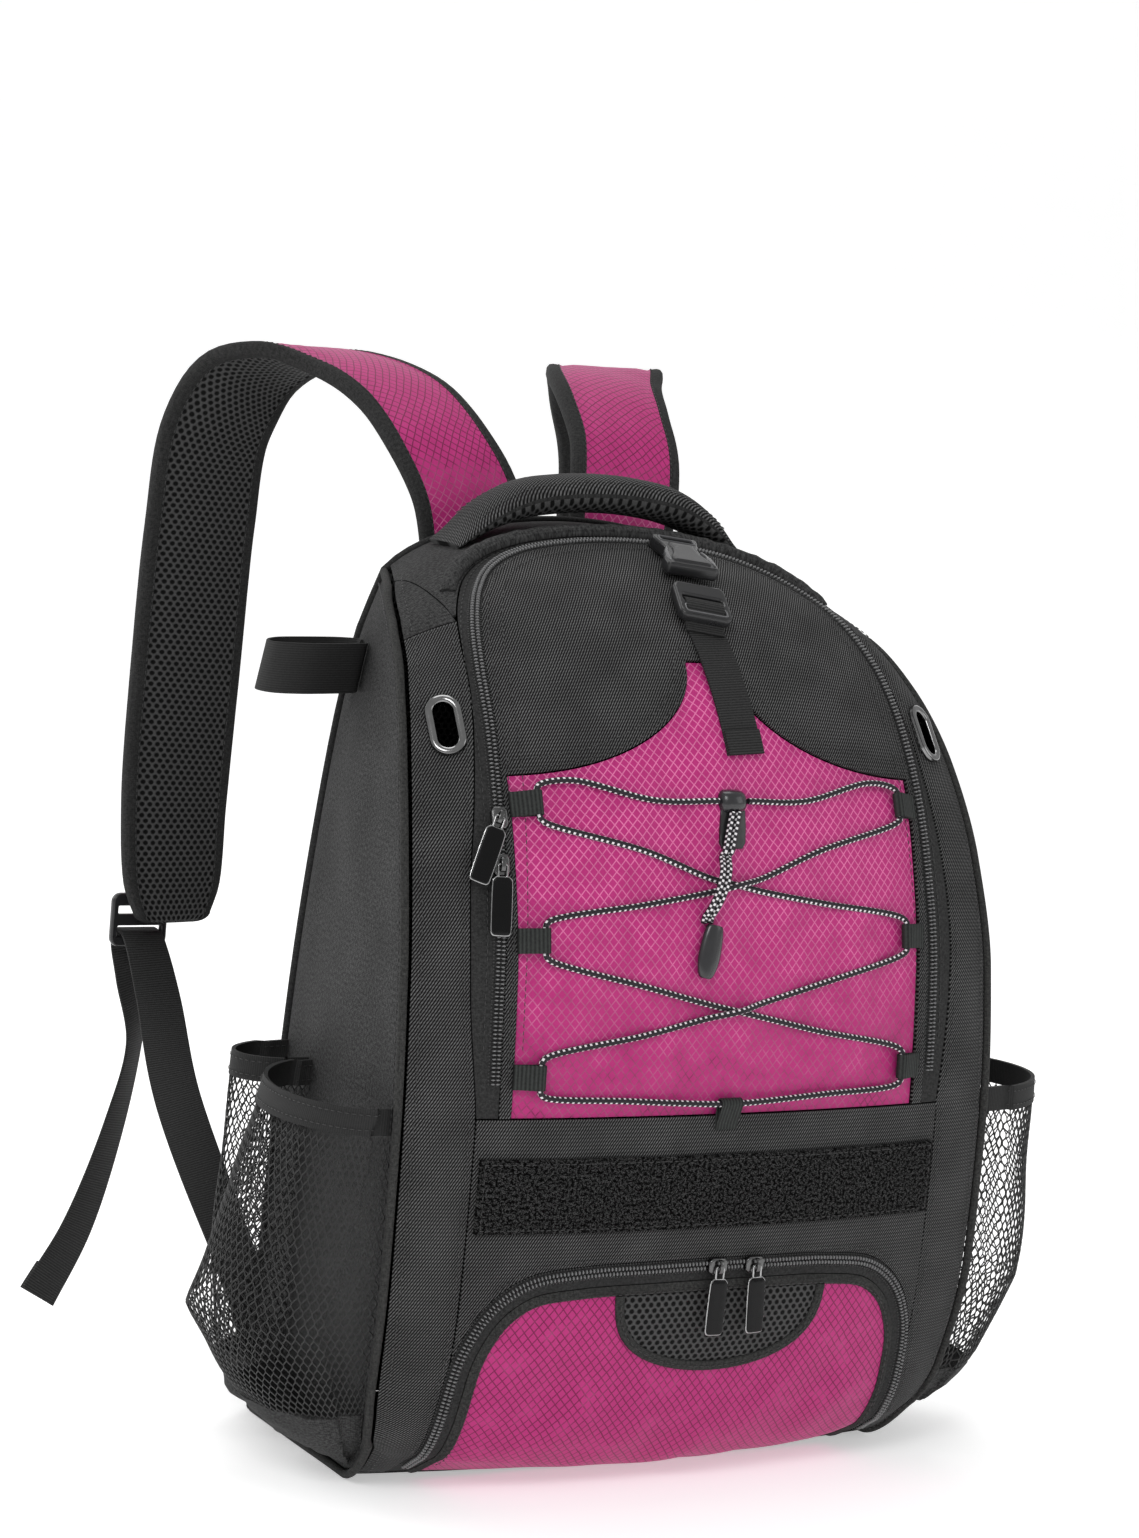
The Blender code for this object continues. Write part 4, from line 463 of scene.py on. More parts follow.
def roundSection(sides):
    angles = np.linspace(0, 2 * math.pi, sides, endpoint=False)
    return np.column_stack([np.cos(angles), np.sin(angles)])


def roundedBox(width, thickness, radius, steps=3):
    points = []
    for cx, cy, start in ((1, -1, -90), (1, 1, 0), (-1, 1, 90), (-1, -1, 180)):
        for k in range(steps + 1):
            angle = math.radians(start + 90 * k / steps)
            points.append((cx * (width / 2 - radius) + radius * math.cos(angle),
                    cy * (thickness / 2 - radius) + radius * math.sin(angle)))
    return np.array(points)


# node helpers for the looks
def addNode(tree, kind, inputs=None, **settings):
    made = tree.nodes.new(kind)
    for key, value in settings.items():
        setattr(made, key, value)
    for key, value in (inputs or {}).items():
        if isinstance(value, bpy.types.NodeSocket):
            tree.links.new(value, made.inputs[key])
        else:
            made.inputs[key].default_value = value
    return made


def calc(tree, operation, a, b=0.0, c=0.0, clamp=False):
    return addNode(tree, "ShaderNodeMath", {0: a, 1: b, 2: c}, operation=operation, use_clamp=clamp).outputs[0]


def clothUv(tree):
    vector = addNode(tree, "ShaderNodeUVMap", uv_map="cloth").outputs[0]
    split = addNode(tree, "ShaderNodeSeparateXYZ", {0: vector})
    return vector, split.outputs[0], split.outputs[1]


def objectPlace(tree):
    return addNode(tree, "ShaderNodeTexCoord").outputs["Object"]


def lineAway(tree, position, pitch):  # 0 on a line, 0.5 half way to the next
    return calc(tree, "PINGPONG", calc(tree, "MULTIPLY", position, 1 / pitch), 0.5)


def ramp(tree, value, low, high, first=0.0, last=1.0, kind="LINEAR"):
    return addNode(tree, "ShaderNodeMapRange", {0: value, 1: low, 2: high, 3: first, 4: last},
        interpolation_type=kind).outputs[0]


def band(tree, value, low, high):  # 1 under low, 0 over high
    return ramp(tree, value, low, high, 1.0, 0.0, "SMOOTHSTEP")


def blendColour(tree, factor, first, second):
    made = addNode(tree, "ShaderNodeMix", data_type="RGBA")
    for key, value in ((0, factor), (6, first), (7, second)):
        if isinstance(value, bpy.types.NodeSocket):
            tree.links.new(value, made.inputs[key])
        else:
            made.inputs[key].default_value = (*value, 1) if isinstance(value, tuple) else value
    return made.outputs[2]


def noise(tree, vector, scale, detail=2.0, rough=0.5):
    return addNode(tree, "ShaderNodeTexNoise", {"Vector": vector, "Scale": scale, "Detail": detail,
            "Roughness": rough}).outputs[0]


def grey(value):
    return value, value, value


def startLook(name, roughness, metallic=0.0, **sockets):
    look = bpy.data.materials.new(name)
    look.use_nodes = True
    shader = look.node_tree.nodes["Principled BSDF"]
    shader.inputs["Roughness"].default_value = roughness
    shader.inputs["Metallic"].default_value = metallic
    for key, value in sockets.items():
        shader.inputs[key.replace("_", " ")].default_value = value
    return look, look.node_tree, shader


def finishLook(tree, shader, colour, height=None, strength=0.4, distance=0.0004, rough=None):
    if isinstance(colour, bpy.types.NodeSocket):
        tree.links.new(colour, shader.inputs["Base Color"])
    else:
        shader.inputs["Base Color"].default_value = (*colour, 1)
    if height is not None:
        bump = addNode(tree, "ShaderNodeBump", {"Strength": strength, "Distance": distance, "Height": height})
        tree.links.new(bump.outputs[0], shader.inputs["Normal"])
    if rough is not None:
        tree.links.new(rough, shader.inputs["Roughness"])


def twillLook(name, dark, light, pitch=0.00115, lean=1.55, strength=0.5):
    # woven cloth with steep diagonal ribs
    look, tree, shader = startLook(name, 0.8, Specular_IOR_Level=0.16)
    vector, u, v = clothUv(tree)
    wobble = calc(tree, "MULTIPLY", noise(tree, vector, 260.0, 2.0), 0.0007)
    across = calc(tree, "ADD", calc(tree, "MULTIPLY_ADD", v, -1 / lean, u), wobble)
    rib = lineAway(tree, across, pitch)
    floated = lineAway(tree, v, pitch * 1.3)
    raised = ramp(tree, rib, 0.16, 0.42, kind="SMOOTHSTEP")
    thread = calc(tree, "MULTIPLY", raised, calc(tree, "MULTIPLY_ADD", floated, 1.1, 0.35), clamp=True)
    cloudy = noise(tree, vector, 34.0, 3.0)
    tone = calc(tree, "MULTIPLY", thread, calc(tree, "MULTIPLY_ADD", cloudy, 0.9, 0.45), clamp=True)
    finishLook(tree, shader, blendColour(tree, tone, dark, light), thread, strength, 0.00035)
    return look


def weaveLook(name, dark, light, pitch=0.0007, strength=0.35, rough=0.8):
    # plain close weave with a mottled tone
    look, tree, shader = startLook(name, rough, Specular_IOR_Level=0.16)
    vector, u, v = clothUv(tree)
    cross = calc(tree, "ADD", lineAway(tree, u, pitch), lineAway(tree, v, pitch))
    speck = noise(tree, vector, 620.0, 2.0, 0.8)
    sharp = ramp(tree, speck, 0.38, 0.66)
    cloudy = noise(tree, vector, 26.0, 3.0)
    tone = calc(tree, "MULTIPLY", calc(tree, "MULTIPLY_ADD", sharp, 0.75, calc(tree, "MULTIPLY", cross, 0.35)),
        calc(tree, "MULTIPLY_ADD", cloudy, 0.7, 0.5), clamp=True)
    finishLook(tree, shader, blendColour(tree, tone, dark, light), calc(tree, "ADD", cross, speck), strength, 0.0002)
    return look


def ripstopLook(name):
    # thin shiny cloth with a raised diamond grid, whose lines carry painted light: lighter higher up the bag, darker
    # low down, and dark again from about 0.47 m up
    look, tree, shader = startLook(name, 0.46, Specular_IOR_Level=0.28)
    vector, u, v = clothUv(tree)
    height = addNode(tree, "ShaderNodeSeparateXYZ", {0: objectPlace(tree)}).outputs[2]
    wobble = calc(tree, "MULTIPLY", noise(tree, vector, 90.0, 2.0), 0.001)
    side1 = calc(tree, "MULTIPLY", calc(tree, "ADD", u, wobble), 1 / 0.005)
    side2 = calc(tree, "MULTIPLY", calc(tree, "ADD", v, wobble), 1 / 0.0058)
    one = calc(tree, "PINGPONG", calc(tree, "ADD", side1, side2), 0.5)
    two = calc(tree, "PINGPONG", calc(tree, "SUBTRACT", side1, side2), 0.5)
    ridge = band(tree, calc(tree, "MINIMUM", one, two), 0.045, 0.115)
    fine = calc(tree, "ADD", lineAway(tree, u, 0.00062), lineAway(tree, v, 0.00062))
    patchy = noise(tree, vector, 60.0, 3.0, 0.65)
    # painted light: the grid lines lighten with height, as if lit from above, and darken again at the very top
    paintedLight = ramp(tree, height, 0.14, 0.34)
    high = ramp(tree, height, 0.47, 0.51)
    paintedLight = calc(tree, "ADD", paintedLight, calc(tree, "MULTIPLY_ADD", patchy, 1.4, -0.75), clamp=True)
    paintedLight = calc(tree, "SUBTRACT", paintedLight, high, clamp=True)
    ground = blendColour(tree, patchy, (0.375, 0.014, 0.138), (0.525, 0.03, 0.206))
    # painted highlight and painted shade: the grid lines' light and dark colours
    lines = blendColour(tree, paintedLight, (0.14, 0.003, 0.048), (0.78, 0.19, 0.41))
    colour = blendColour(tree, calc(tree, "MULTIPLY", ridge, 0.85), ground, lines)
    relief = calc(tree, "ADD", calc(tree, "MULTIPLY", ridge, 0.8), calc(tree, "MULTIPLY", fine, 0.35))
    finishLook(tree, shader, colour, relief, 0.45, 0.00035)
    return look


def holedLook(name, dark, light, wide=0.0036, tall=0.0052, hole=0.3, strength=0.9):
    # spacer mesh: a lattice of round holes in a puffy knit
    look, tree, shader = startLook(name, 0.82, Specular_IOR_Level=0.18)
    vector, u, v = clothUv(tree)
    away = []
    for shift in (0.0, 0.5):
        du = calc(tree, "PINGPONG", calc(tree, "MULTIPLY_ADD", u, 1 / wide, shift), 0.5)
        dv = calc(tree, "PINGPONG", calc(tree, "MULTIPLY_ADD", v, 1 / tall, shift), 0.5)
        dv = calc(tree, "MULTIPLY", dv, tall / wide * 1.05)
        squares = calc(tree, "ADD", calc(tree, "MULTIPLY", du, du), calc(tree, "MULTIPLY", dv, dv))
        away.append(calc(tree, "SQRT", squares))
    near = calc(tree, "MINIMUM", away[0], away[1])
    hollow = band(tree, near, hole * 0.55, hole * 1.15)
    thread = noise(tree, vector, 700.0, 2.0, 0.6)
    knit = blendColour(tree, thread, tuple(c * 0.55 for c in light), light)
    colour = blendColour(tree, hollow, knit, dark)
    relief = calc(tree, "SUBTRACT", calc(tree, "MULTIPLY", thread, 0.25), hollow)
    finishLook(tree, shader, colour, relief, strength, 0.0009)
    return look


def ribbedLook(name, dark, light, pitch=0.0016, axis="v", place="cloth", strength=0.7, rough=0.72):
    # webbing or elastic with ribs
    look, tree, shader = startLook(name, rough, Specular_IOR_Level=0.18)
    vector, u, v = clothUv(tree)
    if place == "object":
        vector = objectPlace(tree)
        split = addNode(tree, "ShaderNodeSeparateXYZ", {0: vector})
        u, v = split.outputs[0], split.outputs[1]
    run, other = (u, v) if axis == "u" else (v, u)
    rib = lineAway(tree, run, pitch)
    yarn = lineAway(tree, other, 0.0011)
    speck = noise(tree, vector, 800.0, 2.0, 0.7)
    tone = calc(tree, "MULTIPLY_ADD", rib, 1.3, calc(tree, "MULTIPLY_ADD", speck, 0.7, -0.25), clamp=True)
    relief = calc(tree, "ADD", rib, calc(tree, "MULTIPLY", yarn, 0.3))
    finishLook(tree, shader, blendColour(tree, tone, dark, light), relief, strength, 0.0004)
    return look


def flatLook(name, colour, roughness, metallic=0.0, grain=0.0, scale=400.0, **sockets):
    # moulded plastic, enamel or metal, with a faint grain and uneven gloss
    look, tree, shader = startLook(name, roughness, metallic, **sockets)
    place = objectPlace(tree)
    speck = noise(tree, place, scale, 3.0, 0.6)
    rough = calc(tree, "MULTIPLY_ADD", noise(tree, place, 90.0, 2.0), 0.16, roughness - 0.08)
    shade = blendColour(tree, speck, tuple(c * 0.8 for c in colour), tuple(min(c * 1.2, 1.0) for c in colour))
    finishLook(tree, shader, shade, speck, grain, 0.0002, rough)
    return look


def cordLook(name, radius=0.0016):
    # braided cord with two staggered rows of white flecks
    look, tree, shader = startLook(name, 0.62, Specular_IOR_Level=0.35)
    _, u, v = clothUv(tree)
    turn = calc(tree, "MULTIPLY", u, 1 / (2 * math.pi * radius))
    flecks = []
    for centre, shift in ((0.165, 0.0), (0.335, 0.5), (0.665, 0.0), (0.835, 0.5)):
        away = calc(tree, "ABSOLUTE", calc(tree, "SUBTRACT", turn, centre))
        along = calc(tree, "PINGPONG", calc(tree, "MULTIPLY_ADD", v, 1 / 0.003, shift), 0.5)
        along = calc(tree, "SUBTRACT", 0.5, along)
        flecks.append(calc(tree, "MULTIPLY", band(tree, away, 0.055, 0.085), band(tree, along, 0.17, 0.24)))
    fleck = calc(tree, "MAXIMUM", calc(tree, "MAXIMUM", flecks[0], flecks[1]),
        calc(tree, "MAXIMUM", flecks[2], flecks[3]))
    braid = calc(tree, "MULTIPLY", lineAway(tree, calc(tree, "ADD", u, v), 0.0013),
        lineAway(tree, calc(tree, "SUBTRACT", u, v), 0.0013))
    colour = blendColour(tree, fleck, blendColour(tree, braid, (0.01, 0.008, 0.012), (0.05, 0.045, 0.05)),
        (0.80, 0.78, 0.80))
    finishLook(tree, shader, colour, braid, 0.6, 0.0003)
    return look


def pileLook(name):
    # loop pile: rough, very dark, with lighter fibre specks
    look, tree, shader = startLook(name, 0.95, Specular_IOR_Level=0.05)
    vector, _, _ = clothUv(tree)
    coarse, fine = noise(tree, vector, 640.0, 3.0, 0.7), noise(tree, vector, 1500.0, 2.0, 0.7)
    fibre = calc(tree, "MAXIMUM", band(tree, coarse, 0.44, 0.58), band(tree, fine, 0.4, 0.58))
    colour = blendColour(tree, fibre, (0.08, 0.08, 0.08), (0.0006, 0.0006, 0.0006))
    finishLook(tree, shader, colour, calc(tree, "ADD", coarse, fine), 1.0, 0.0012)
    return look


looks = {
    "twill": twillLook("blackTwill", (0.0012, 0.0012, 0.0013), grey(0.175), pitch=0.0015),
    "cloth": weaveLook("blackCloth", (0.004, 0.004, 0.0042), grey(0.078), pitch=0.0009),
    "hem": weaveLook("blackHem", grey(0.012), (0.058, 0.058, 0.056), pitch=0.0009),
    "ripstop": ripstopLook("magentaRipstop"),
    "airMesh": holedLook("blackAirMesh", grey(0.0008), grey(0.08), wide=0.0042, tall=0.006, hole=0.36),
    "vent": holedLook("ventMesh", grey(0.001), grey(0.085), wide=0.0044, tall=0.0058, hole=0.34),
    "pile": pileLook("loopPile"),
    "binding": weaveLook("blackBinding", grey(0.01), grey(0.04), pitch=0.001),
    "tape": weaveLook("zipTape", grey(0.012), grey(0.046), pitch=0.0008),
    # zip coil teeth coloured mid grey rather than black: a painted highlight
    "tooth": flatLook("zipToothPaintedHighlight", (0.15, 0.15, 0.152), 0.24, Coat_Weight=0.3),
    "thread": flatLook("blackThread", grey(0.034), 0.55),
    "chrome": flatLook("darkChrome", grey(0.24), 0.14, 1.0, grain=0.02),
    "slider": flatLook("blackNickel", grey(0.13), 0.24, 1.0, grain=0.05),
    "steel": flatLook("darkSteel", grey(0.36), 0.18, 1.0, grain=0.03),
    "enamel": flatLook("blackEnamel", (0.003, 0.003, 0.0032), 0.18, grain=0.03, Specular_IOR_Level=0.2),
    "plastic": flatLook("blackPlastic", (0.015, 0.015, 0.016), 0.3, grain=0.18, scale=1500.0),
    # the buckle's black plastic painted a lighter grey: a painted highlight for its rims and prongs
    "plasticPaintedHighlight": flatLook("paintedHighlightPlastic", (0.1, 0.1, 0.104), 0.2, grain=0.03),
    "gloss": flatLook("glossPlastic", (0.02, 0.02, 0.022), 0.24, grain=0.05, Coat_Weight=0.2),
    "cord": cordLook("speckledCord"),
    "elastic": ribbedLook("ribbedElastic", grey(0.014), grey(0.036), 0.0012, "u", strength=0.35),
    "loop": ribbedLook("loopElastic", grey(0.008), (0.05, 0.055, 0.052), 0.0018, "u", "object"),
    "net": flatLook("blackNet", grey(0.022), 0.62, grain=0.2, scale=1800.0),
    "webbing": ribbedLook("blackWebbing", grey(0.005), grey(0.046), 0.0014, "v"),
}
print("looks made", len(looks))

# camera and stage
view = {"yaw": 32.05, "pitch": 6.65, "roll": 4.82, "distance": 2.2097, "lens": 100.02,
    "target": (-0.0356, 0.0, 0.3554)}


def placeCamera():
    yaw, pitch, roll = (math.radians(view[k]) for k in ("yaw", "pitch", "roll"))
    forward = Vector((math.sin(yaw) * math.cos(pitch), math.cos(yaw) * math.cos(pitch), -math.sin(pitch)))
    right = Vector((math.cos(yaw), -math.sin(yaw), 0))
    up = right.cross(forward)
    turnedRight = right * math.cos(roll) + up * math.sin(roll)
    turnedUp = up * math.cos(roll) - right * math.sin(roll)
    data = bpy.data.cameras.new("camera")
    data.lens, data.sensor_width, data.sensor_fit = view["lens"], 36.0, "AUTO"
    data.clip_start, data.clip_end = 0.05, 100
    camera = bpy.data.objects.new("camera", data)
    place = Matrix((turnedRight, turnedUp, -forward)).transposed().to_4x4()
    place.translation = Vector(view["target"]) - forward * view["distance"]
    camera.matrix_world = place
    bpy.context.scene.collection.objects.link(camera)
    bpy.context.scene.camera = camera


studio = {
    "world": 0.5,
    "glow": 0.42,  # of the floor itself
    "lights": (  # name, place, size, watts
        ("key", (-1.9, -1.9, 2.3), 1.2, 30.0),
        ("fill", (2.2, -2.0, 1.4), 1.6, 9.0),
        ("top", (0.1, 0.5, 2.6), 1.4, 15.0),
        ("back", (-1.6, 2.0, 1.6), 1.4, 16.0),
    ),
}


def buildStudio():
    mesh = bpy.data.meshes.new("floor")
    turn = np.linspace(0, math.pi / 2, 17)
    line = [(-9.0, 0.0)] + [(5.0 + 3 * math.sin(a), 3 - 3 * math.cos(a)) for a in turn] + [(8.0, 12.0)]
    points = [(x, y, z - 0.0004) for y, z in line for x in (-14.0, 14.0)]
    mesh.from_pydata(points, [], [(2 * i, 2 * i + 1, 2 * i + 3, 2 * i + 2) for i in range(len(line) - 1)])
    mesh.shade_smooth()
    floor = bpy.data.objects.new("floor", mesh)
    look, tree, shader = startLook("paleFloor", 0.85, Specular_IOR_Level=0.1, Emission_Color=(1, 1, 1, 1),
        Emission_Strength=studio["glow"])
    place = objectPlace(tree)
    finishLook(tree, shader, blendColour(tree, noise(tree, place, 3.0), (0.9, 0.9, 0.9), (0.92, 0.92, 0.92)))
    mesh.materials.append(look)
    bpy.context.scene.collection.objects.link(floor)
    for name, spot, size, watts in studio["lights"]:
        data = bpy.data.lights.new(name, "AREA")
        data.energy, data.size = watts, size
        lamp = bpy.data.objects.new(name, data)
        lamp.location = spot
        lamp.rotation_euler = (Vector((0, 0, 0.25)) - Vector(spot)).to_track_quat("-Z", "Y").to_euler()
        bpy.context.scene.collection.objects.link(lamp)
    world = bpy.data.worlds.new("studio")
    world.use_nodes = True
    world.node_tree.nodes["Background"].inputs[0].default_value = (1, 1, 1, 1)
    world.node_tree.nodes["Background"].inputs[1].default_value = studio["world"]
    bpy.context.scene.world = world
    bpy.context.scene.view_settings.view_transform = "Standard"


placeCamera()
buildStudio()
print("camera and studio set")

# repeats: small shapes set along lines, and net made from edges
def newTree(name, inputs):
    tree = bpy.data.node_groups.new(name, "GeometryNodeTree")
    tree.interface.new_socket("Line", in_out="INPUT", socket_type="NodeSocketGeometry")
    for label, kind in inputs:
        tree.interface.new_socket(label, in_out="INPUT", socket_type=kind)
    tree.interface.new_socket("Made", in_out="OUTPUT", socket_type="NodeSocketGeometry")
    return tree, addNode(tree, "NodeGroupInput"), addNode(tree, "NodeGroupOutput")


def endTree(tree, start, end, made):
    real = addNode(tree, "GeometryNodeRealizeInstances", {0: made})
    soft = addNode(tree, "GeometryNodeSetShadeSmooth", {0: real.outputs[0]})
    dressed = addNode(tree, "GeometryNodeSetMaterial",
        {"Geometry": soft.outputs[0], "Material": start.outputs["Look"]})
    tree.links.new(dressed.outputs[0], end.inputs[0])
    return tree


def makeRepeatTree():
    tree, start, end = newTree("repeatOnLine", (("Spacing", "NodeSocketFloat"), ("Size", "NodeSocketVector"),
            ("Look", "NodeSocketMaterial")))
    curve = addNode(tree, "GeometryNodeMeshToCurve", {0: start.outputs["Line"]})
    points = addNode(tree, "GeometryNodeResampleCurve",
        {"Curve": curve.outputs[0], "Length": start.outputs["Spacing"]}, mode="LENGTH")
    facing = addNode(tree, "GeometryNodeInputNamedAttribute", {"Name": "facing"}, data_type="FLOAT_VECTOR")
    upright = addNode(tree, "FunctionNodeAlignRotationToVector", {"Vector": facing.outputs[0]}, axis="Z")
    tangent = addNode(tree, "GeometryNodeInputTangent")
    turn = addNode(tree, "FunctionNodeAlignRotationToVector", {"Rotation": upright.outputs[0],
            "Vector": tangent.outputs[0]}, axis="X", pivot_axis="Z")
    ball = addNode(tree, "GeometryNodeMeshUVSphere", {"Segments": 6, "Rings": 4, "Radius": 0.5})
    item = addNode(tree, "GeometryNodeTransform", {"Geometry": ball.outputs[0], "Scale": start.outputs["Size"]})
    made = addNode(tree, "GeometryNodeInstanceOnPoints", {"Points": points.outputs[0], "Instance": item.outputs[0],
            "Rotation": turn.outputs[0]})
    return endTree(tree, start, end, made.outputs[0])


def makeNetTree():
    tree, start, end = newTree("netFromEdges", (("Radius", "NodeSocketFloat"), ("Look", "NodeSocketMaterial")))
    curve = addNode(tree, "GeometryNodeMeshToCurve", {0: start.outputs["Line"]})
    ring = addNode(tree, "GeometryNodeCurvePrimitiveCircle", {"Resolution": 4, "Radius": start.outputs["Radius"]})
    made = addNode(tree, "GeometryNodeCurveToMesh", {"Curve": curve.outputs[0], "Profile Curve": ring.outputs[0],
            "Fill Caps": True})
    return endTree(tree, start, end, made.outputs[0])


def runTree(name, tree, points, edges, facing, values, nodes=()):
    mesh = bpy.data.meshes.new(name)
    mesh.from_pydata(np.asarray(points).tolist(), np.asarray(edges).tolist(), [])
    if facing is not None:
        mesh.attributes.new("facing", "FLOAT_VECTOR", "POINT").data.foreach_set(
            "vector", np.asarray(facing, np.float32).ravel())
    piece = bpy.data.objects.new(name, mesh)
    bpy.context.scene.collection.objects.link(piece)
    modifier = piece.modifiers.new("repeat", "NODES")
    modifier.node_group = tree
    sockets = {item.name: item.identifier for item in tree.interface.items_tree if item.in_out == "INPUT"}
    for label, value in values.items():
        modifier[sockets[label]] = value
    bpy.context.view_layer.update()
    graph = bpy.context.evaluated_depsgraph_get()
    made = bpy.data.meshes.new_from_object(piece.evaluated_get(graph))
    piece.modifiers.clear()
    piece.data = made
    settle(piece, "bag", nodes)
    return piece


repeatTree, netTree = makeRepeatTree(), makeNetTree()


def alongLines(name, lines, spacing, size, look):
    # lines is a list of (points, facing); one small shape stands at every spacing
    points = np.vstack([line for line, _ in lines])
    facing = np.vstack([np.broadcast_to(up, line.shape) for line, up in lines])
    edges, start = [], 0
    for line, _ in lines:
        edges += [(start + i, start + i + 1) for i in range(len(line) - 1)]
        start += len(line)
    return runTree(name, repeatTree, points, edges, facing, {"Spacing": spacing, "Size": size, "Look": look})


sewing = {"spacing": 0.0036, "size": (0.0026, 0.00055, 0.00055), "lift": 0.0006}
seamLines = []  # collected while the panels are made


def sewOn(flat, lift):
    flat = even(flat, 0.004)
    seamLines.append((onSkin(flat, lift + sewing["lift"]), outwardsAt(flat)))


def tubePiece(name, points, radius, look, body="bag", nodes=(), sides=12, closed=False):
    points = np.asarray(points, float)
    count = len(points)
    around = np.roll(points, -1, 0) - np.roll(points, 1, 0) if closed else np.gradient(points, axis=0)
    tangent = unit(around)
    sideways = np.cross(tangent[0], (0.0, 0.0, 1.0))
    if np.linalg.norm(sideways) < 0.2:
        sideways = np.cross(tangent[0], (0.0, 1.0, 0.0))
    frames = [unit(sideways)]
    for t in tangent[1:]:
        last = frames[-1] - t * np.dot(frames[-1], t)
        frames.append(unit(last))
    across = np.array(frames)
    if closed:
        last = across[-1] - tangent[0] * np.dot(across[-1], tangent[0])
        gapAngle = math.atan2(np.dot(np.cross(unit(last), across[0]), tangent[0]), np.dot(unit(last), across[0]))
        turn = np.linspace(0, gapAngle, count)[:, None]
        across = across * np.cos(turn) + np.cross(tangent, across) * np.sin(turn)
    normal = np.cross(across, tangent)
    angles = np.linspace(0, 2 * math.pi, sides, endpoint=False)
    ring = np.stack([np.cos(angles), np.sin(angles)], -1)[None] * np.broadcast_to(radius, count)[:, None, None]
    made = (points[:, None] + ring[..., :1] * across[:, None] + ring[..., 1:] * normal[:, None]).reshape(-1, 3)
    quads, i, j = ringFaces(count, sides, closed)
    length = lineLength(np.vstack([points, points[:1]]) if closed else points)
    wide = 2 * math.pi * float(np.max(radius)) / sides
    blocks, corners = [quads], [ringUv(np.arange(sides + 1) * wide, length, i, j)]
    if not closed:
        cap = np.arange(sides)[None]
        flat = np.column_stack([np.cos(angles), np.sin(angles)])[None] * 0.0004
        blocks += [cap[:, ::-1], cap + (count - 1) * sides]
        corners += [flat, flat]
    return makePiece(name, made, blocks, look, uv=corners, smooth=60, body=body, nodes=nodes)


def moulded(name, frame, outline, low, high, look, holes=(), rounding=0.0007, steps=3, body="bag", nodes=(),
        cell=0.003):
    # a plate with rounded rims, its outline in the frame's across and up
    origin, across, up, out = frame
    flat, tris, loops = fill(outline, holes, cell)
    inward, start = np.zeros_like(flat), 0
    for k, loop in enumerate(loops):
        before, after = unit(loop - np.roll(loop, 1, 0)), unit(np.roll(loop, -1, 0) - loop)
        along = unit(before + after)
        left = np.column_stack([-along[:, 1], along[:, 0]])
        nxt = np.roll(loop, -1, 0)
        turnway = np.sign((loop[:, 0] * nxt[:, 1] - nxt[:, 0] * loop[:, 1]).sum())
        inward[start:start + len(loop)] = left * turnway * (1 if k == 0 else -1)
        start += len(loop)
    rings = [(1 - math.cos(t), 1 - math.sin(t)) for t in np.linspace(math.pi / 2, 0, steps)]
    rimShape = [(i * rounding, low + z * rounding) for i, z in rings]
    rimShape += [(i * rounding, high - z * rounding) for i, z in rings[::-1]]
    layers = []
    for inset, height in rimShape:
        plane = flat + inward * inset
        layers.append(origin + plane[:, :1] * across + plane[:, 1:] * up + height * out)
    count = len(flat)
    blocks = [tris[:, ::-1], tris + count * (len(layers) - 1)]
    rim = rimEdges(tris)
    for k in range(len(layers) - 1):
        blocks.append(np.column_stack([rim[:, 0], rim[:, 1], rim[:, 1] + count, rim[:, 0] + count]) + k * count)
    both = np.tile(flat, (len(layers), 1))
    return makePiece(name, np.vstack(layers), blocks, look, uv=[both[b] for b in blocks], smooth=45,
        body=body, nodes=nodes)


def oval(width, length, count):
    radius, straight = width / 2, (length - width) / 2
    angles = np.linspace(0, math.pi, count)
    top = [(radius * math.cos(t), straight + radius * math.sin(t)) for t in angles]
    return np.array(top + [(-x, -y) for x, y in top])


def roundedRectangle(width, low, high, radius, count=5):
    points = []
    for cx, cy, start in ((1, 0, -90), (1, 1, 0), (-1, 1, 90), (-1, 0, 180)):
        for k in range(count):
            angle = math.radians(start + 90 * k / (count - 1))
            y = high - radius if cy else low + radius
            points.append((cx * (width / 2 - radius) + radius * math.cos(angle), y + radius * math.sin(angle)))
    return np.array(points)


def turned(frame, degrees):
    origin, across, up, out = frame
    c, s = math.cos(math.radians(degrees)), math.sin(math.radians(degrees))
    return origin, c * across + s * up, c * up - s * across, out


def closureFrame(lateral, run, lean):
    return turned(skinFrame(lateral * half, run * wholeRun), lean)


def edgeLine(low, high, count=60):
    run = np.linspace(low, high, count)
    return np.column_stack([halfWidth(run) - seamInset - 2 * bag["gap"], run])


def cornerPath(count):
    run = np.linspace(seamInset * 2.2, wholeRun - seamInset * 2.2, 900)
    path = skinSurface(halfWidth(run), run)
    path[:, 2] = np.maximum(path[:, 2], pipingSeat)
    return even(path, lineLength(path)[-1] / count)


def sideEdge(inset):
    edge = offsetLine(even(cornerPath(900)[:, 1:], 0.002), -inset - bag["gap"] / 2)
    return edge[edge[:, 0] < backY - inset]


# cords come first: the laced cord, its two free ends and their grip
lacing = {
    "cordRadius": 0.0016, "edge": 0.67, "reach": 0.0105, "loopWidth": 0.0125, "loopWall": 0.0009,
    "runs": (0.686, 0.596, 0.5075), "footRun": 0.488, "crossings": (0.631, 0.549),
    "lockWidth": 0.017, "lockHead": 0.01, "lockTab": 0.019, "lockHeight": 0.0068, "lockFlat": 0.002,
    "gripPlace": (-0.097, 0.588), "gripLean": -12.0, "gripLength": 0.027, "gripWidth": 0.0125, "gripThick": 0.006,
    "tailSpacing": 0.0037,
}


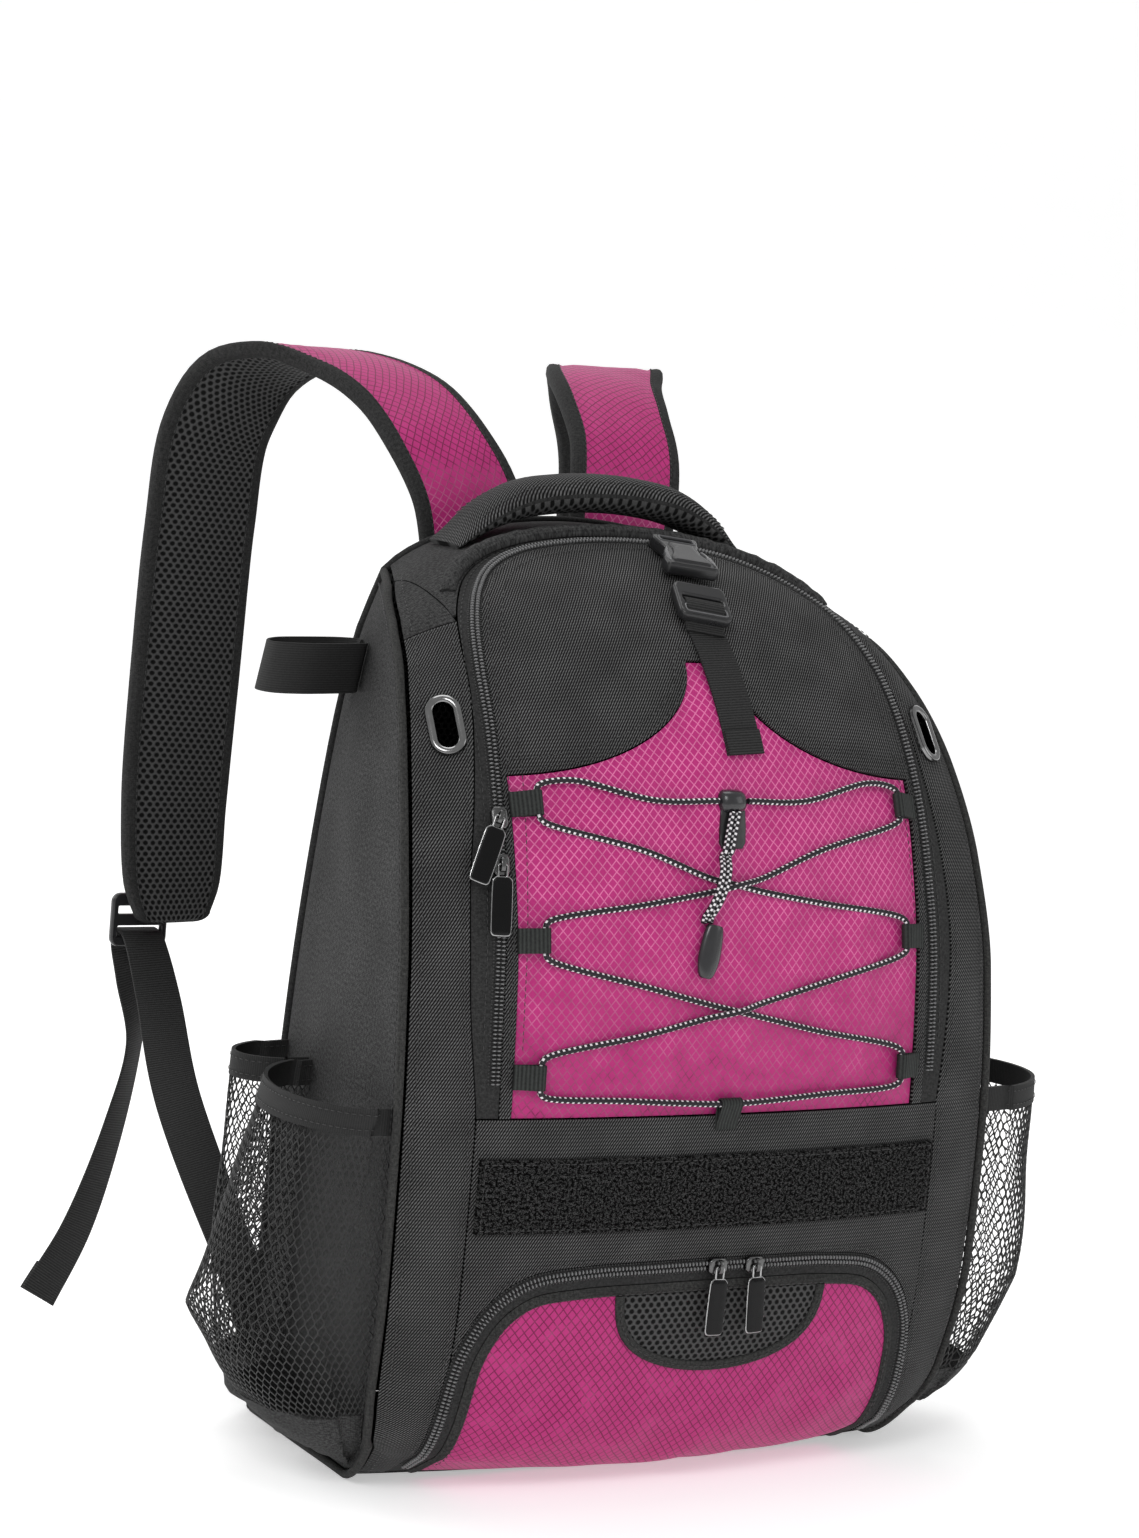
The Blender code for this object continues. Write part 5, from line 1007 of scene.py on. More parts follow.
def buildLacing():
    v, gap, radius = lacing, bag["gap"], lacing["cordRadius"]
    rest, edge = radius + 2 * gap, v["edge"] * half
    overCross = rest + 2 * radius + gap
    fold, inner = edge - v["reach"], radius + gap
    outer, lift = inner + v["loopWall"], gap + 0.0002
    height = lift + outer

    def laceLoop(name, frame, width):
        origin, across, up, out = frame
        reach = v["reach"]
        angles = np.radians(np.linspace(-90, 90, 17))
        line = [(-0.003, lift * 0.6), (0.0, lift), (reach * 0.5, lift)]
        bend = inner + v["loopWall"] / 2
        line += [(reach + bend * math.cos(t), height + bend * math.sin(t)) for t in angles]
        line += [(reach * 0.45, lift + 2 * v["loopWall"] + 0.0014), (0.0, lift + v["loopWall"] * 1.5),
            (-0.003, lift + 0.0009)]
        path = even(smoothLine(np.array(line), 0.0006), 0.0006)
        centres = origin + path[:, :1] * across + path[:, 1:] * out
        return sweepPiece(name + "_ribbon", centres, up, roundedBox(width, v["loopWall"], 0.0003, 2),
            looks["loop"], nodes=(name,))

    for row, share in zip(("top", "middle", "bottom"), v["runs"]):
        for name, sign in bothSides:
            middle, across, up, out = skinFrame(sign * (edge - v["reach"] / 2), share * wholeRun)
            seatFrame = (middle + sign * across * v["reach"] / 2, -sign * across, up, out)
            laceLoop(f"lace_loop_{row}_{name}", seatFrame, v["loopWidth"])
    footRun = v["footRun"] * wholeRun
    origin, across, up, out = skinFrame(0, footRun)
    laceLoop("lace_loop_foot", (origin - up * v["reach"], up, across, out), v["loopWidth"])

    runs = [share * wholeRun for share in v["runs"]]
    wide = v["loopWidth"] / 2
    cross = [share * wholeRun for share in v["crossings"]]
    lockSide = v["lockWidth"] / 2 + gap

    def through(sign, run, downwards):
        step = -1 if downwards else 1
        return [(sign * (fold - 0.003), run - step * (wide + 0.0036), height * 0.72),
            (sign * (fold - 0.0004), run - step * (wide + 0.0012), height),
            (sign * fold, run - step * wide * 0.4, height), (sign * fold, run + step * wide * 0.4, height),
            (sign * (fold - 0.0004), run + step * (wide + 0.0012), height),
            (sign * (fold - 0.003), run + step * (wide + 0.0036), height * 0.72)]

    def over(run, sign, level):
        return [(sign * 0.016, run + 0.0035, rest), (0, run, level), (-sign * 0.016, run - 0.0035, rest)]

    def above(sign, row, nudge=0.0):  # between a row of loops and the crossing under it
        return [(sign * 0.052, (runs[row] - wide) * 0.42 + cross[row] * 0.58 + nudge, rest)]

    def below(sign, row):  # between a crossing and the row of loops under it
        return [(sign * 0.052, (runs[row] + wide) * 0.45 + cross[row - 1] * 0.55, rest)]

    lock = v["runs"][0] * wholeRun
    left = [(-lockSide, lock, rest + 0.0008), (-0.045, lock + 0.0005, rest),
        (-fold * 0.82, lock + wide + 0.005, rest)]
    route = left + through(-1, runs[0], True) + above(-1, 0, 0.002) + over(cross[0], -1, rest)
    route += below(1, 1) + through(1, runs[1], True) + above(1, 1) + over(cross[1], 1, overCross)
    route += below(-1, 2) + through(-1, runs[2], True)
    footSide = wide + 0.003
    route += [(-0.06, footRun + 0.0025, rest), (-footSide, footRun, height), (0, footRun, height)]
    route += [(footSide, footRun, height), (0.06, footRun + 0.0025, rest)] + through(1, runs[2], False)
    route += below(1, 2) + over(cross[1], -1, rest)[::-1] + above(-1, 1) + through(-1, runs[1], False)
    route += below(-1, 1) + over(cross[0], 1, overCross)[::-1] + above(1, 0, 0.002) + through(1, runs[0], False)
    route += [(-a, b, level) for a, b, level in left[::-1]]
    tubePiece("laced_cord", even(smoothLine(skin(*np.array(route).T), 0.0012), 0.0018), radius, looks["cord"],
        nodes=("lacing_cord",))

    # lock: a rounded knob over a flat tab
    seatFrame = skinFrame(0, lock)
    origin, across, up, out = seatFrame
    head, wideLock = v["lockHead"] / 2, v["lockWidth"] / 2
    tab = [(wideLock * 0.86, -head), (wideLock * 0.92, -head - 0.008), (wideLock * 0.9, -head - v["lockTab"] + 0.003),
        (wideLock * 0.7, -head - v["lockTab"])]
    tab = np.array([(-x, y) for x, y in tab] + [(x, y) for x, y in tab[::-1]])
    tab[:, 0] += (tab[:, 1] + head) * 0.12
    tab = np.vstack([tab, [(wideLock * 0.7, head * 0.4), (-wideLock * 0.7, head * 0.4)]])
    moulded("lock_tab", seatFrame, tab, gap, gap + v["lockFlat"], looks["plastic"], rounding=0.0006,
        nodes=("cord_lock",))
    stations = np.linspace(-1, 1, 13)
    centres, section = [], []
    for t in stations:
        bulge = max(1 - abs(t) ** 2.6, 0.05) ** 0.5
        centres.append(origin + up * t * (head + 0.0012) + out * gap)
        angles = np.linspace(0, math.pi, 13)
        top = np.column_stack([np.cos(angles) * wideLock * (0.45 + 0.5 * bulge),
                np.sin(angles) ** 0.7 * v["lockHeight"] * bulge])
        section.append(top)
    sweepPiece("lock_knob", centres, across, np.array(section), looks["gloss"], smooth=60)

    # free ends: over the tab, over the crossing and into the grip
    top = overCross + 2 * radius + gap
    overTab = v["lockFlat"] + 2 * gap + radius
    start = np.array((0.0, lock - head - 2 * gap))
    end = np.array((v["gripPlace"][0] * half - 0.0022, v["gripPlace"][1] * wholeRun + v["gripLength"] / 2))
    slope = (end - start) / (start[1] - end[1])
    hump, crossing = 0.0075, cross[0]
    levels = ((start[1], overTab), (start[1] - v["lockTab"] * 0.6, overTab + 0.0007),
        (start[1] - v["lockTab"] - 0.001, overTab + 0.0014), (crossing + 2 * hump, rest + 0.0016),
        (crossing + hump, top * 0.86), (crossing, top), (crossing - hump, top * 0.86),
        (crossing - 2 * hump, rest + 0.0012), (end[1] + 0.004, rest + 0.0006),
        (end[1] + 2 * gap, v["gripThick"] / 2 + gap))
    tails = []
    for name, offset in (("left", -0.5), ("right", 0.5)):
        line = [(start[0] + slope[0] * (start[1] - run) + offset * v["tailSpacing"], run, level)
            for run, level in levels]
        path = even(smoothLine(skin(*np.array(line).T), 0.0012), 0.0018)
        tails.append((tubePiece(f"free_end_{name}", path, radius, looks["cord"], nodes=(f"cord_tail_{name}",)), path))
    origin, across, up, out = closureFrame(*v["gripPlace"], v["gripLean"])
    centres, section = [], []
    shares = np.array(((-0.5, 0.4), (-0.46, 0.62), (-0.36, 0.82), (-0.15, 1.0), (0.15, 0.98), (0.4, 0.84),
            (0.48, 0.72), (0.5, 0.6)))
    for share, width in bentRows(shares, 22):
        centres.append(origin + up * share * v["gripLength"] + out * (gap + v["gripThick"] / 2))
        section.append(roundSection(24) * (v["gripWidth"] / 2 * width, v["gripThick"] / 2 * (0.55 + 0.45 * width)))
    grip = sweepPiece("tail_grip", centres, across, np.array(section), looks["gloss"], smooth=60,
        nodes=("cord_grip",))
    for piece, path in tails:
        length = float(lineLength(path)[-1])


def bentRows(rows, count):
    # rows smoothed and sampled evenly
    line = smoothLine(rows, 0.01)
    return even(line, lineLength(line)[-1] / count)


buildLacing()
print("lacing done")

# sewn panels of the skin
panels = {"coil": 0.007, "shoeBinding": 0.045, "shoeHem": 0.0052, "vent": (0.123, 0.046, 0.056),
    "lobeCentre": (0.646, 0.785), "lobeSize": (0.584, 0.0785), "eyelet": (0.818, 0.747),
    "eyeletSize": (0.0185, 0.033, 0.0042), "strip": (0.766, 0.429, 0.0375, 0.0026), "magentaWave": 0.0011,
    "toothShift": 0.00125, "toothSpacing": 0.00205, "toothSize": (0.00105, 0.0025, 0.0021),
    "ribShift": 0.0031, "ribSpacing": 0.0017, "ribSize": (0.001, 0.0012, 0.0008)}


def trimLine(line, low, high):
    return line[(line[:, 1] > low) & (line[:, 1] < high)]


def buildPanels():
    v, gap = panels, bag["gap"]
    coil = v["coil"]
    zipLine, gusset = arch(skinLine(mainZipLine)), skinLine(gussetLine)
    flapEdge = offsetLine(zipLine, -coil / 2)
    shoeLine = arch(skinLine(shoeZipLine))
    shoeOuter = offsetLine(shoeLine, coil / 2)
    bandRun = seams["band"] * wholeRun

    overArch = offsetLine(shoeOuter, gap)
    archRight = overArch[len(overArch) // 2:]
    seam = gussetLine[0][0] * half
    footRun, patchRun = seams["base"] * wholeRun + gap, seams["patch"] * wholeRun - gap
    below = archRight[archRight[:, 0] > seam + 2 * gap][::-1]
    below[0, 1] = footRun
    seamFoot = np.interp(seam + gap, archRight[:, 0], archRight[:, 1])
    seamSide = trimLine(offsetLine(gusset, -gap), bandRun + 0.004, patchRun - 0.004)
    patchX = np.interp(patchRun, gusset[:, 1], gusset[:, 0]) + gap
    innerEdge = np.vstack([below, [(seam + gap, seamFoot)], [(seam + gap, bandRun)], seamSide, [(patchX, patchRun)]])
    bandRight = np.vstack([edgeLine(footRun, patchRun, 90), innerEdge[::-1]])
    width, length, rim = v["eyeletSize"]
    slot = trueToSkin(v["eyelet"][0] * half, v["eyelet"][1] * wholeRun,
        oval(width - rim * 1.7, length - rim * 1.7, 14))

    def bandShape(flat, away):  # a soft fold beside the corner and a dip along the seam at the loop strip
        dip = np.exp(-((flat[:, 1] - bandRun) / 0.004) ** 2) * -0.0009
        return dip - 0.0006 * np.exp(-((flat[:, 1] - 0.36 * wholeRun) / 0.02) ** 2)

    for name, sign in bothSides:
        clothPanel(f"band_cloth_{name}", bandRight * (sign, 1), looks["twill"], (f"side_band_{name}",),
            holes=(slot * (sign, 1),), wave=0.0006, shape=bandShape, seed=3 + sign)
        sewOn(edgeLine(footRun + 0.003, patchRun - 0.003) * (sign, 1) - (sign * 0.0042, 0), 0.0004)
        sewOn((seamSide + (0.003, 0)) * (sign, 1), 0.0003)
        sewOn(straight((seam + 0.0034, seamFoot + 0.004), (seam + 0.0034, bandRun - 0.003)) * (sign, 1), 0.0003)
        sewOn(straight((patchX + 0.003, patchRun - 0.003),
                (halfWidth(patchRun) - 0.006, patchRun - 0.003)) * (sign, 1), 0.0003)
    edge = seam - gap
    crown = overArch[np.abs(overArch[:, 0]) < edge - 0.002]
    low = np.interp(edge, archRight[:, 0], archRight[:, 1])
    lower = np.vstack([straight((-edge, bandRun - gap), (-edge, low)), crown,
            straight((edge, low), (edge, bandRun - gap))])
    clothPanel("lower_band_cloth", lower, looks["twill"], ("lower_band",), wave=0.0006)
    sewOn(offsetLine(overArch, 0.0026)[8:-8], 0.0003)

    edge = seams["magenta"] * half
    centre, size = np.array(v["lobeCentre"]) * (half, wholeRun), np.array(v["lobeSize"]) * (half, wholeRun)
    angles = np.radians(np.linspace(-84, -180, 40))
    lobe = centre + size * np.column_stack([np.cos(angles), np.sin(angles)])
    lobe = lobe[lobe[:, 0] < edge - 0.003]
    fieldRight = np.vstack([straight((edge, bandRun + gap), (edge, lobe[0, 1])), lobe])
    field = mirrored(fieldRight)
    fieldTop = np.vstack([fieldRight, fieldRight[::-1][:-1] * (-1, 1)])
    hem = offsetLine(fieldTop, -2 * gap)
    hem[0, 1] = hem[-1, 1] = bandRun + gap
    flap = flapEdge.copy()
    flap[0, 1] = flap[-1, 1] = bandRun + gap

    def pulled(flat, away):  # folds that run in from the lace loops
        folds = 0
        for share in lacing["runs"]:
            for sign in (-1, 1):
                dx, dy = np.abs(flat[:, 0] - sign * edge), flat[:, 1] - share * wholeRun
                wave = 0.0016 * np.exp(-dx / 0.035) * np.cos(dy / 0.006 + sign * dx / 0.012)
                folds = folds + wave * np.exp(-(dy / 0.02) ** 2)
        return folds * (1 - np.exp(-away / 0.01)) + 0.0022 * (1 - np.exp(-away / 0.02))

    clothPanel("flap_field", field, looks["ripstop"], ("flap_lower",), wave=v["magentaWave"], waveSize=0.05,
        shape=lambda flat, away: np.minimum(pulled(flat, away), 0.0024) - 0.002, cell=0.0048)
    clothPanel("flap_hem", np.vstack([flap, hem]), looks["twill"], ("flap_upper",), wave=0.0004, cell=0.0048)
    inner = offsetLine(fieldTop, -0.003)
    sewOn(inner[3:-3], 0.0004)
    sewOn(offsetLine(inner, -0.0055)[6:-6], 0.0006)
    sewOn(offsetLine(flapEdge, -0.0028)[4:-4], 0.0004)
    sewOn(offsetLine(flapEdge, -0.0098)[6:-6], 0.0006)

    # zip tapes, sunk between the panels
    tape = {"lift": -0.0006, "puff": 0.0003, "reach": 0.002, "wave": 0, "cell": 0.0035}
    tapeOuter = offsetLine(arch(gusset), -gap)
    tapeInner = offsetLine(zipLine, -coil / 2 + gap)
    for line in (tapeOuter, tapeInner):
        line[0, 1] = line[-1, 1] = bandRun + gap
    clothPanel("tape_main", np.vstack([tapeOuter, tapeInner[::-1]]), looks["tape"], ("zip_main",), **tape)
    sewOn(offsetLine(zipLine, coil / 2 + 0.003)[6:-6], -0.0008)
    shoeTapeOuter = offsetLine(shoeOuter, -gap)
    shoeFlapEdge = offsetLine(shoeLine, -v["shoeBinding"] * half)
    shoeTapeInner = offsetLine(shoeFlapEdge, gap)
    for line in (shoeTapeOuter, shoeTapeInner, shoeFlapEdge):
        line[0, 1] = line[-1, 1] = seams["base"] * wholeRun + gap
    clothPanel("tape_shoe", np.vstack([shoeTapeOuter, shoeTapeInner[::-1]]), looks["tape"], ("zip_shoe",), **tape)

    def besideZips(shift, height):
        found = []
        for line in (zipLine[3:-3], shoeLine[3:-3]):
            for way in (-shift, shift):
                row = offsetLine(even(line, 0.004), way)
                found.append((onSkin(row, height), outwardsAt(row)))
        return found

    # the teeth's grey colour is a painted highlight
    teeth = besideZips(v["toothShift"], 0.0009)
    for name, pair in (("main", teeth[:2]), ("shoe", teeth[2:])):
        alongLines(f"teeth_{name}", pair, v["toothSpacing"], v["toothSize"], looks["tooth"])
    alongLines("tape_ribs", besideZips(v["ribShift"], -0.0005), v["ribSpacing"], v["ribSize"], looks["thread"])

    # shoe compartment flap: a black binding above the ripstop, and a vent hung from its top
    magentaEdge = offsetLine(shoeFlapEdge, -v["shoeHem"])
    magentaEdge = magentaEdge[(magentaEdge[:, 1] > seams["base"] * wholeRun + 0.002)]
    magentaEdge[0, 1] = magentaEdge[-1, 1] = seams["base"] * wholeRun + gap
    ventWidth, ventDepth, ventMiddle = v["vent"]
    topRun = shoeFlapEdge[:, 1].max()
    angles = np.radians(np.linspace(0, 180, 40))
    vent = np.column_stack([np.cos(angles) * ventWidth / 2, topRun - ventDepth * np.sin(angles) ** 0.62])
    vent[:, 0] += ventMiddle * half
    ends = np.interp(vent[[-1, 0], 0], magentaEdge[:, 0][2:-2], magentaEdge[:, 1][2:-2])
    notch = vent[::-1].copy()
    notch = notch[(notch[:, 1] < ends.min() - 0.001)]
    notch = np.vstack([[(vent[-1, 0], ends[0])], notch, [(vent[0, 0], ends[1])]])
    leftPart = magentaEdge[magentaEdge[:, 0] < vent[-1, 0] - 0.003]
    rightPart = magentaEdge[magentaEdge[:, 0] > vent[0, 0] + 0.003]
    shoeOutline = closedStraight(np.vstack([leftPart, notch, rightPart]))
    clothPanel("shoe_field", shoeOutline, looks["ripstop"], ("shoe_flap",), wave=0.0013, waveSize=0.05,
        cell=0.0048, seed=9, lift=-0.0006)
    middlePart = magentaEdge[(magentaEdge[:, 0] >= vent[-1, 0] - 0.003) & (magentaEdge[:, 0] <= vent[0, 0] + 0.003)]
    bound = np.vstack([shoeFlapEdge, np.vstack([leftPart, middlePart, rightPart])[::-1]])
    clothPanel("shoe_binding", bound, looks["hem"], (), wave=0.0002, puff=0.0016, reach=0.0012,
        cell=0.003, lift=-0.0002)
    middle = notch.mean(0)
    shrink = 1 - 2 * gap / np.linalg.norm(notch - middle, axis=1)
    ventLoop = middle + (notch - middle) * shrink[:, None]
    inTop = middlePart[(middlePart[:, 0] > vent[-1, 0] + 0.002) & (middlePart[:, 0] < vent[0, 0] - 0.002)]
    clothPanel("vent_mesh", np.vstack([ventLoop, inTop[::-1] - (0, gap)]), looks["vent"], ("shoe_vent",), wave=0.0005,
        puff=0.0016, cell=0.0036, lift=-0.0008)
    rimLine = even(notch, 0.003)
    centres = onSkin(rimLine, -0.0004)
    across = np.cross(np.gradient(centres, axis=0), outwardsAt(rimLine))
    sweepPiece("vent_edging", centres, across, roundedBox(0.0052, 0.0022, 0.001, 3), looks["hem"])
    sewOn(offsetLine(rimLine, 0.0)[2:-2], 0.0005)
    sewOn(offsetLine(shoeFlapEdge, -0.0042)[5:-5], 0.0006)

    # top panel, shoulder patches and base
    gussetTop = arch(gusset)
    patchLow, cut = seams["patch"] * wholeRun + gap, seams["patchInner"] * half
    runEnd = wholeRun - seamInset
    patchHigh = np.interp(-(cut + seamInset + 0.002), -profile[600:, 2], runTable[600:])
    lowInner = np.interp(patchLow, gusset[:, 1], gusset[:, 0])
    patch = np.vstack([edgeLine(patchLow, patchHigh, 30),
            straight((cut + 2 * gap, patchHigh), (cut + 2 * gap, patchLow + 0.02)),
            straight((cut + 2 * gap, patchLow + 0.02), (lowInner + 2 * gap, patchLow))[1:]])
    for name, sign in bothSides:
        clothPanel(f"patch_cloth_{name}", patch * (sign, 1), looks["cloth"], (f"shoulder_patch_{name}",),
            wave=0.0008, seed=5)
        sewOn((edgeLine(patchLow + 0.004, patchHigh - 0.008, 30) - (0.004, 0)) * (sign, 1), 0.0003)
    front = offsetLine(gussetTop, gap)
    front = front[np.abs(front[:, 0]) < cut - gap]
    topSide = edgeLine(patchHigh + 2 * gap, runEnd, 20)
    topSide = topSide[topSide[:, 0] < cut]
    rightSide = np.vstack([straight((cut, front[-1, 1]), (cut, patchHigh)), topSide])
    back = straight(rightSide[-1], rightSide[-1] * (-1, 1))[1:-1]

    def backRun(lateral):
        return wholeRun - seamInset - (skinSurface(lateral, wholeRun - seamInset)[..., 1] - (backY - seamInset))

    rightSide[-1, 1] = backRun(rightSide[-1, 0])
    back[:, 1] = backRun(back[:, 0])
    topLoop = np.vstack([front, rightSide, back, rightSide[::-1] * (-1, 1)])
    clothPanel("top_cloth", topLoop, looks["cloth"], ("top_panel",), wave=0.0008, seed=6)
    sewOn(front[4:-4] + (0, 0.015), 0.0004)
    baseSide = edgeLine(seamInset, seams["base"] * wholeRun - gap, 30)
    base = np.vstack([baseSide, straight(baseSide[-1], baseSide[-1] * (-1, 1))[1:], baseSide[::-1][1:] * (-1, 1)])
    clothPanel("base_cloth", closedStraight(base), looks["cloth"], ("base_panel",), wave=0.0, puff=0.0, cell=0.009,
        lift=0.0002, thick=0.002)

    stripHalf, stripMiddle, stripHeight, stripThick = v["strip"]
    stripHalf, low = stripHalf * half, stripMiddle * wholeRun - stripHeight / 2
    stripLoop = np.vstack([straight((-stripHalf, low), (stripHalf, low)),
            straight((stripHalf, low + stripHeight), (-stripHalf, low + stripHeight))])
    clothPanel("loop_pile", stripLoop, looks["pile"], ("loop_strip",),
        lift=gap + stripThick - 0.0004, thick=stripThick, puff=0.0004, wave=0.0003, cell=0.005)
    for rise in (0.0022, stripHeight - 0.0022):
        sewOn(straight((-stripHalf + 0.003, low + rise), (stripHalf - 0.003, low + rise)), gap + stripThick - 0.0003)
    for x in (-stripHalf + 0.0022, stripHalf - 0.0022):
        sewOn(straight((x, low + 0.003), (x, low + stripHeight - 0.003)), gap + stripThick - 0.0003)


buildPanels()
print("panels done")


# stuffed pieces: pressure fills a coarse copy, and its movement is laid on the fine piece
stuffing = {"pressure": 4.0, "frames": 20}


def pointsOf(mesh):
    found = np.empty(len(mesh.vertices) * 3)
    mesh.vertices.foreach_get("co", found)
    return found.reshape(-1, 3)


def stuff(piece, voxel, most, held, pressure=None):
    # held gives, for points, which ones the seams keep in place
    copy = bpy.data.objects.new(piece.name + "_rough", piece.data.copy())
    bpy.context.scene.collection.objects.link(copy)
    remesh = copy.modifiers.new("remesh", "REMESH")
    remesh.mode, remesh.voxel_size = "VOXEL", voxel
    graph = bpy.context.evaluated_depsgraph_get()
    rough = bpy.data.meshes.new_from_object(copy.evaluated_get(graph))
    copy.modifiers.clear()
    copy.data = rough
    start = pointsOf(rough)
    group = copy.vertex_groups.new(name="held")
    group.add([int(i) for i in np.nonzero(held(start))[0]], 1.0, "REPLACE")
    cloth = copy.modifiers.new("cloth", "CLOTH")
    made = cloth.settings
    made.use_pressure, made.uniform_pressure_force = True, pressure or stuffing["pressure"]
    made.effector_weights.gravity = 0.0
    made.vertex_group_mass, made.mass, made.quality = "held", 0.15, 5
    made.tension_stiffness = made.compression_stiffness = made.shear_stiffness = 6.0
    made.bending_stiffness = 0.4
    cloth.point_cache.frame_start, cloth.point_cache.frame_end = 1, stuffing["frames"]
    scene = bpy.context.scene
    for number in range(1, stuffing["frames"] + 1):
        scene.frame_set(number)
    graph = bpy.context.evaluated_depsgraph_get()
    moved = pointsOf(copy.evaluated_get(graph).data) - start
    scene.frame_set(1)
    bpy.data.objects.remove(copy)
    length = np.linalg.norm(moved, axis=1, keepdims=True)
    moved *= np.minimum(1, most / np.maximum(length, 1e-9))
    tree = KDTree(len(start))
    for i, place in enumerate(start):
        tree.insert(place, i)
    tree.balance()
    fine = pointsOf(piece.data)
    for i, place in enumerate(fine):
        near = tree.find_n(place, 5)
        weight = np.array([1 / (distance + 0.0008) for _, _, distance in near])
        fine[i] += (moved[[index for _, index, _ in near]] * weight[:, None]).sum(0) / weight.sum()
    piece.data.vertices.foreach_set("co", fine.ravel())
    piece.data.update()
    print("stuffed", piece.name, len(start), "points, mean movement", round(float(length.mean()) * 1000, 2), "mm")


# walls, padded back and piping
walls = {"backChannels": (0.5, 0.27), "channelDepth": 0.0042}


def backLoop(inset=0.0):
    top = skinSurface(np.linspace(1, -1, 31) * halfWidth(wholeRun), wholeRun)[:, [0, 2]]
    z = np.linspace(0, top[0, 1], 30)[:-1]
    rise = np.column_stack([backHalfWidth(z), z])
    loop = np.vstack([rise, top, rise[::-1] * (-1, 1)])
    if inset:
        closed = np.vstack([loop[-1], loop, loop[0]])
        shifted = loop.copy()
        for i in range(len(loop)):
            before = unit(closed[i + 1] - closed[i]) if i else np.array((1.0, 0.0))
            after = unit(closed[i + 2] - closed[i + 1]) if i < len(loop) - 1 else np.array((1.0, 0.0))
            normal = unit(np.array((-before[1] - after[1], before[0] + after[0])))
            shifted[i] = loop[i] + normal * inset / max(np.dot(normal, (-before[1], before[0])), 0.5)
        loop = shifted
    return loop


def buildWalls():
    inset = even(sideEdge(seamInset), 0.006)
    rear = backY - seamInset
    loop = closedStraight(np.vstack([[(rear, inset[0, 1])], inset[1:-1], [(rear, inset[-1, 1])]]))
    for name, sign in bothSides:
        clothPanel(f"wall_cloth_{name}", loop, looks["cloth"], (f"side_panel_{name}",),
            place=onSide(sign), cell=0.0075, wave=0.001, waveSize=0.08, puff=0.001, lift=-0.0004)
        path = cornerPath(300)
        tubePiece(f"corner_piping_{name}", path * (sign, 1, 1), bag["pipingRadius"], looks["hem"],
            nodes=(f"piping_front_{name}",))
        wallSeam = even(sideEdge(seamInset + 0.003), 0.004)
        seamLines.append((onSide(sign)(wallSeam, 0 * wallSeam[:, 0] + 0.0008), np.array((sign, 0.0, 0.0))))
    outline = backLoop()
    path = np.column_stack([outline[:, 0], np.full(len(outline), backY), outline[:, 1]])
    path[:, 2] = np.maximum(path[:, 2], pipingSeat)
    tubePiece("back_piping", path, bag["pipingRadius"], looks["binding"], nodes=("piping_back",), closed=True)
    outline = backLoop(seamInset)
    outline[:, 1] = np.maximum(outline[:, 1], pipingSeat + seamInset)
    outline = closedStraight(outline)

    def place(flat, out):
        return np.column_stack([flat[:, 0], backY + out, flat[:, 1]])

    def pads(flat, away):
        x, z = np.abs(flat[:, 0]), flat[:, 1] / bag["height"]
        channel = np.exp(-(x / 0.009) ** 2)
        for share in walls["backChannels"]:
            channel = np.maximum(channel, np.exp(-((z - share) * bag["height"] / 0.007) ** 2) * (x < 0.13))
        return -0.006 * np.exp(-away / 0.01) - walls["channelDepth"] * channel

    piece = clothPanel("back_pad", outline, looks["airMesh"], ("back_panel",), place=place,
        lift=bag["backPad"], thick=0.0105, puff=0.0, wave=0.0004, cell=0.006, shape=pads)

    def held(points):
        flat = points[:, [0, 2]]
        channel = pads(flat, distanceTo(flat, [outline])) < -0.0022
        return channel | (points[:, 1] < backY + 0.003)

    stuff(piece, 0.006, 0.002, held)


buildWalls()


# padded welt over the top of the main zip
welt = {"offset": 0.0052, "halfWidth": 0.0046, "height": 0.0053, "pucker": 0.09}


def buildRidge():
    line = offsetLine(arch(skinLine(gussetLine, 0.004)), welt["offset"])
    line = even(line[np.abs(line[:, 0]) < seams["patchInner"] * half * 0.955], 0.0035)
    count = len(line)
    ends = np.minimum(np.arange(count), np.arange(count)[::-1])
    taper = np.clip(ends / 9, 0, 1) ** 0.5 * 0.75 + 0.25
    pucker = 1 + welt["pucker"] * np.sin(np.arange(count) * 1.9) * np.sin(np.arange(count) * 0.37)
    centres = onSkin(line, bag["gap"])
    across = np.cross(np.gradient(centres, axis=0), outwardsAt(line))
    angles = np.linspace(0, math.pi, 13)
    dome = np.column_stack([np.cos(angles) * welt["halfWidth"], np.sin(angles) ** 0.75 * welt["height"]])
    section = dome[None] * np.stack([0.9 + 0.1 * taper, taper * pucker], -1)[:, None]
    piece = sweepPiece("welt", centres, across, section, looks["cloth"], smooth=70, nodes=("storm_ridge",))
    outwards = outwardsAt(line)

    def held(points):
        near = np.linalg.norm(points[:, None] - centres[None, ::2], axis=-1).argmin(1) * 2
        return ((points - centres[near]) * outwards[near]).sum(1) < 0.0014

    stuff(piece, 0.0022, 0.0007, held, 8.0)
    sewOn(line[3:-3] + (0, 0.0062), 0.0002)


buildRidge()
print("walls and welt done")


# zip sliders and pulls
zips = {"length": 0.011, "width": 0.0084, "height": 0.0032, "bridgeHeight": 0.0034, "bridgeWidth": 0.0022,
    "bridgeWall": 0.001, "pullLength": 0.029, "pullWidth": 0.0108, "pullThick": 0.0018, "wire": 0.0006,
    "reach": 0.0062, "mainRun": 0.677, "mainSpacing": 0.024, "shoeSpacing": 0.0225, "lean": 24.0}


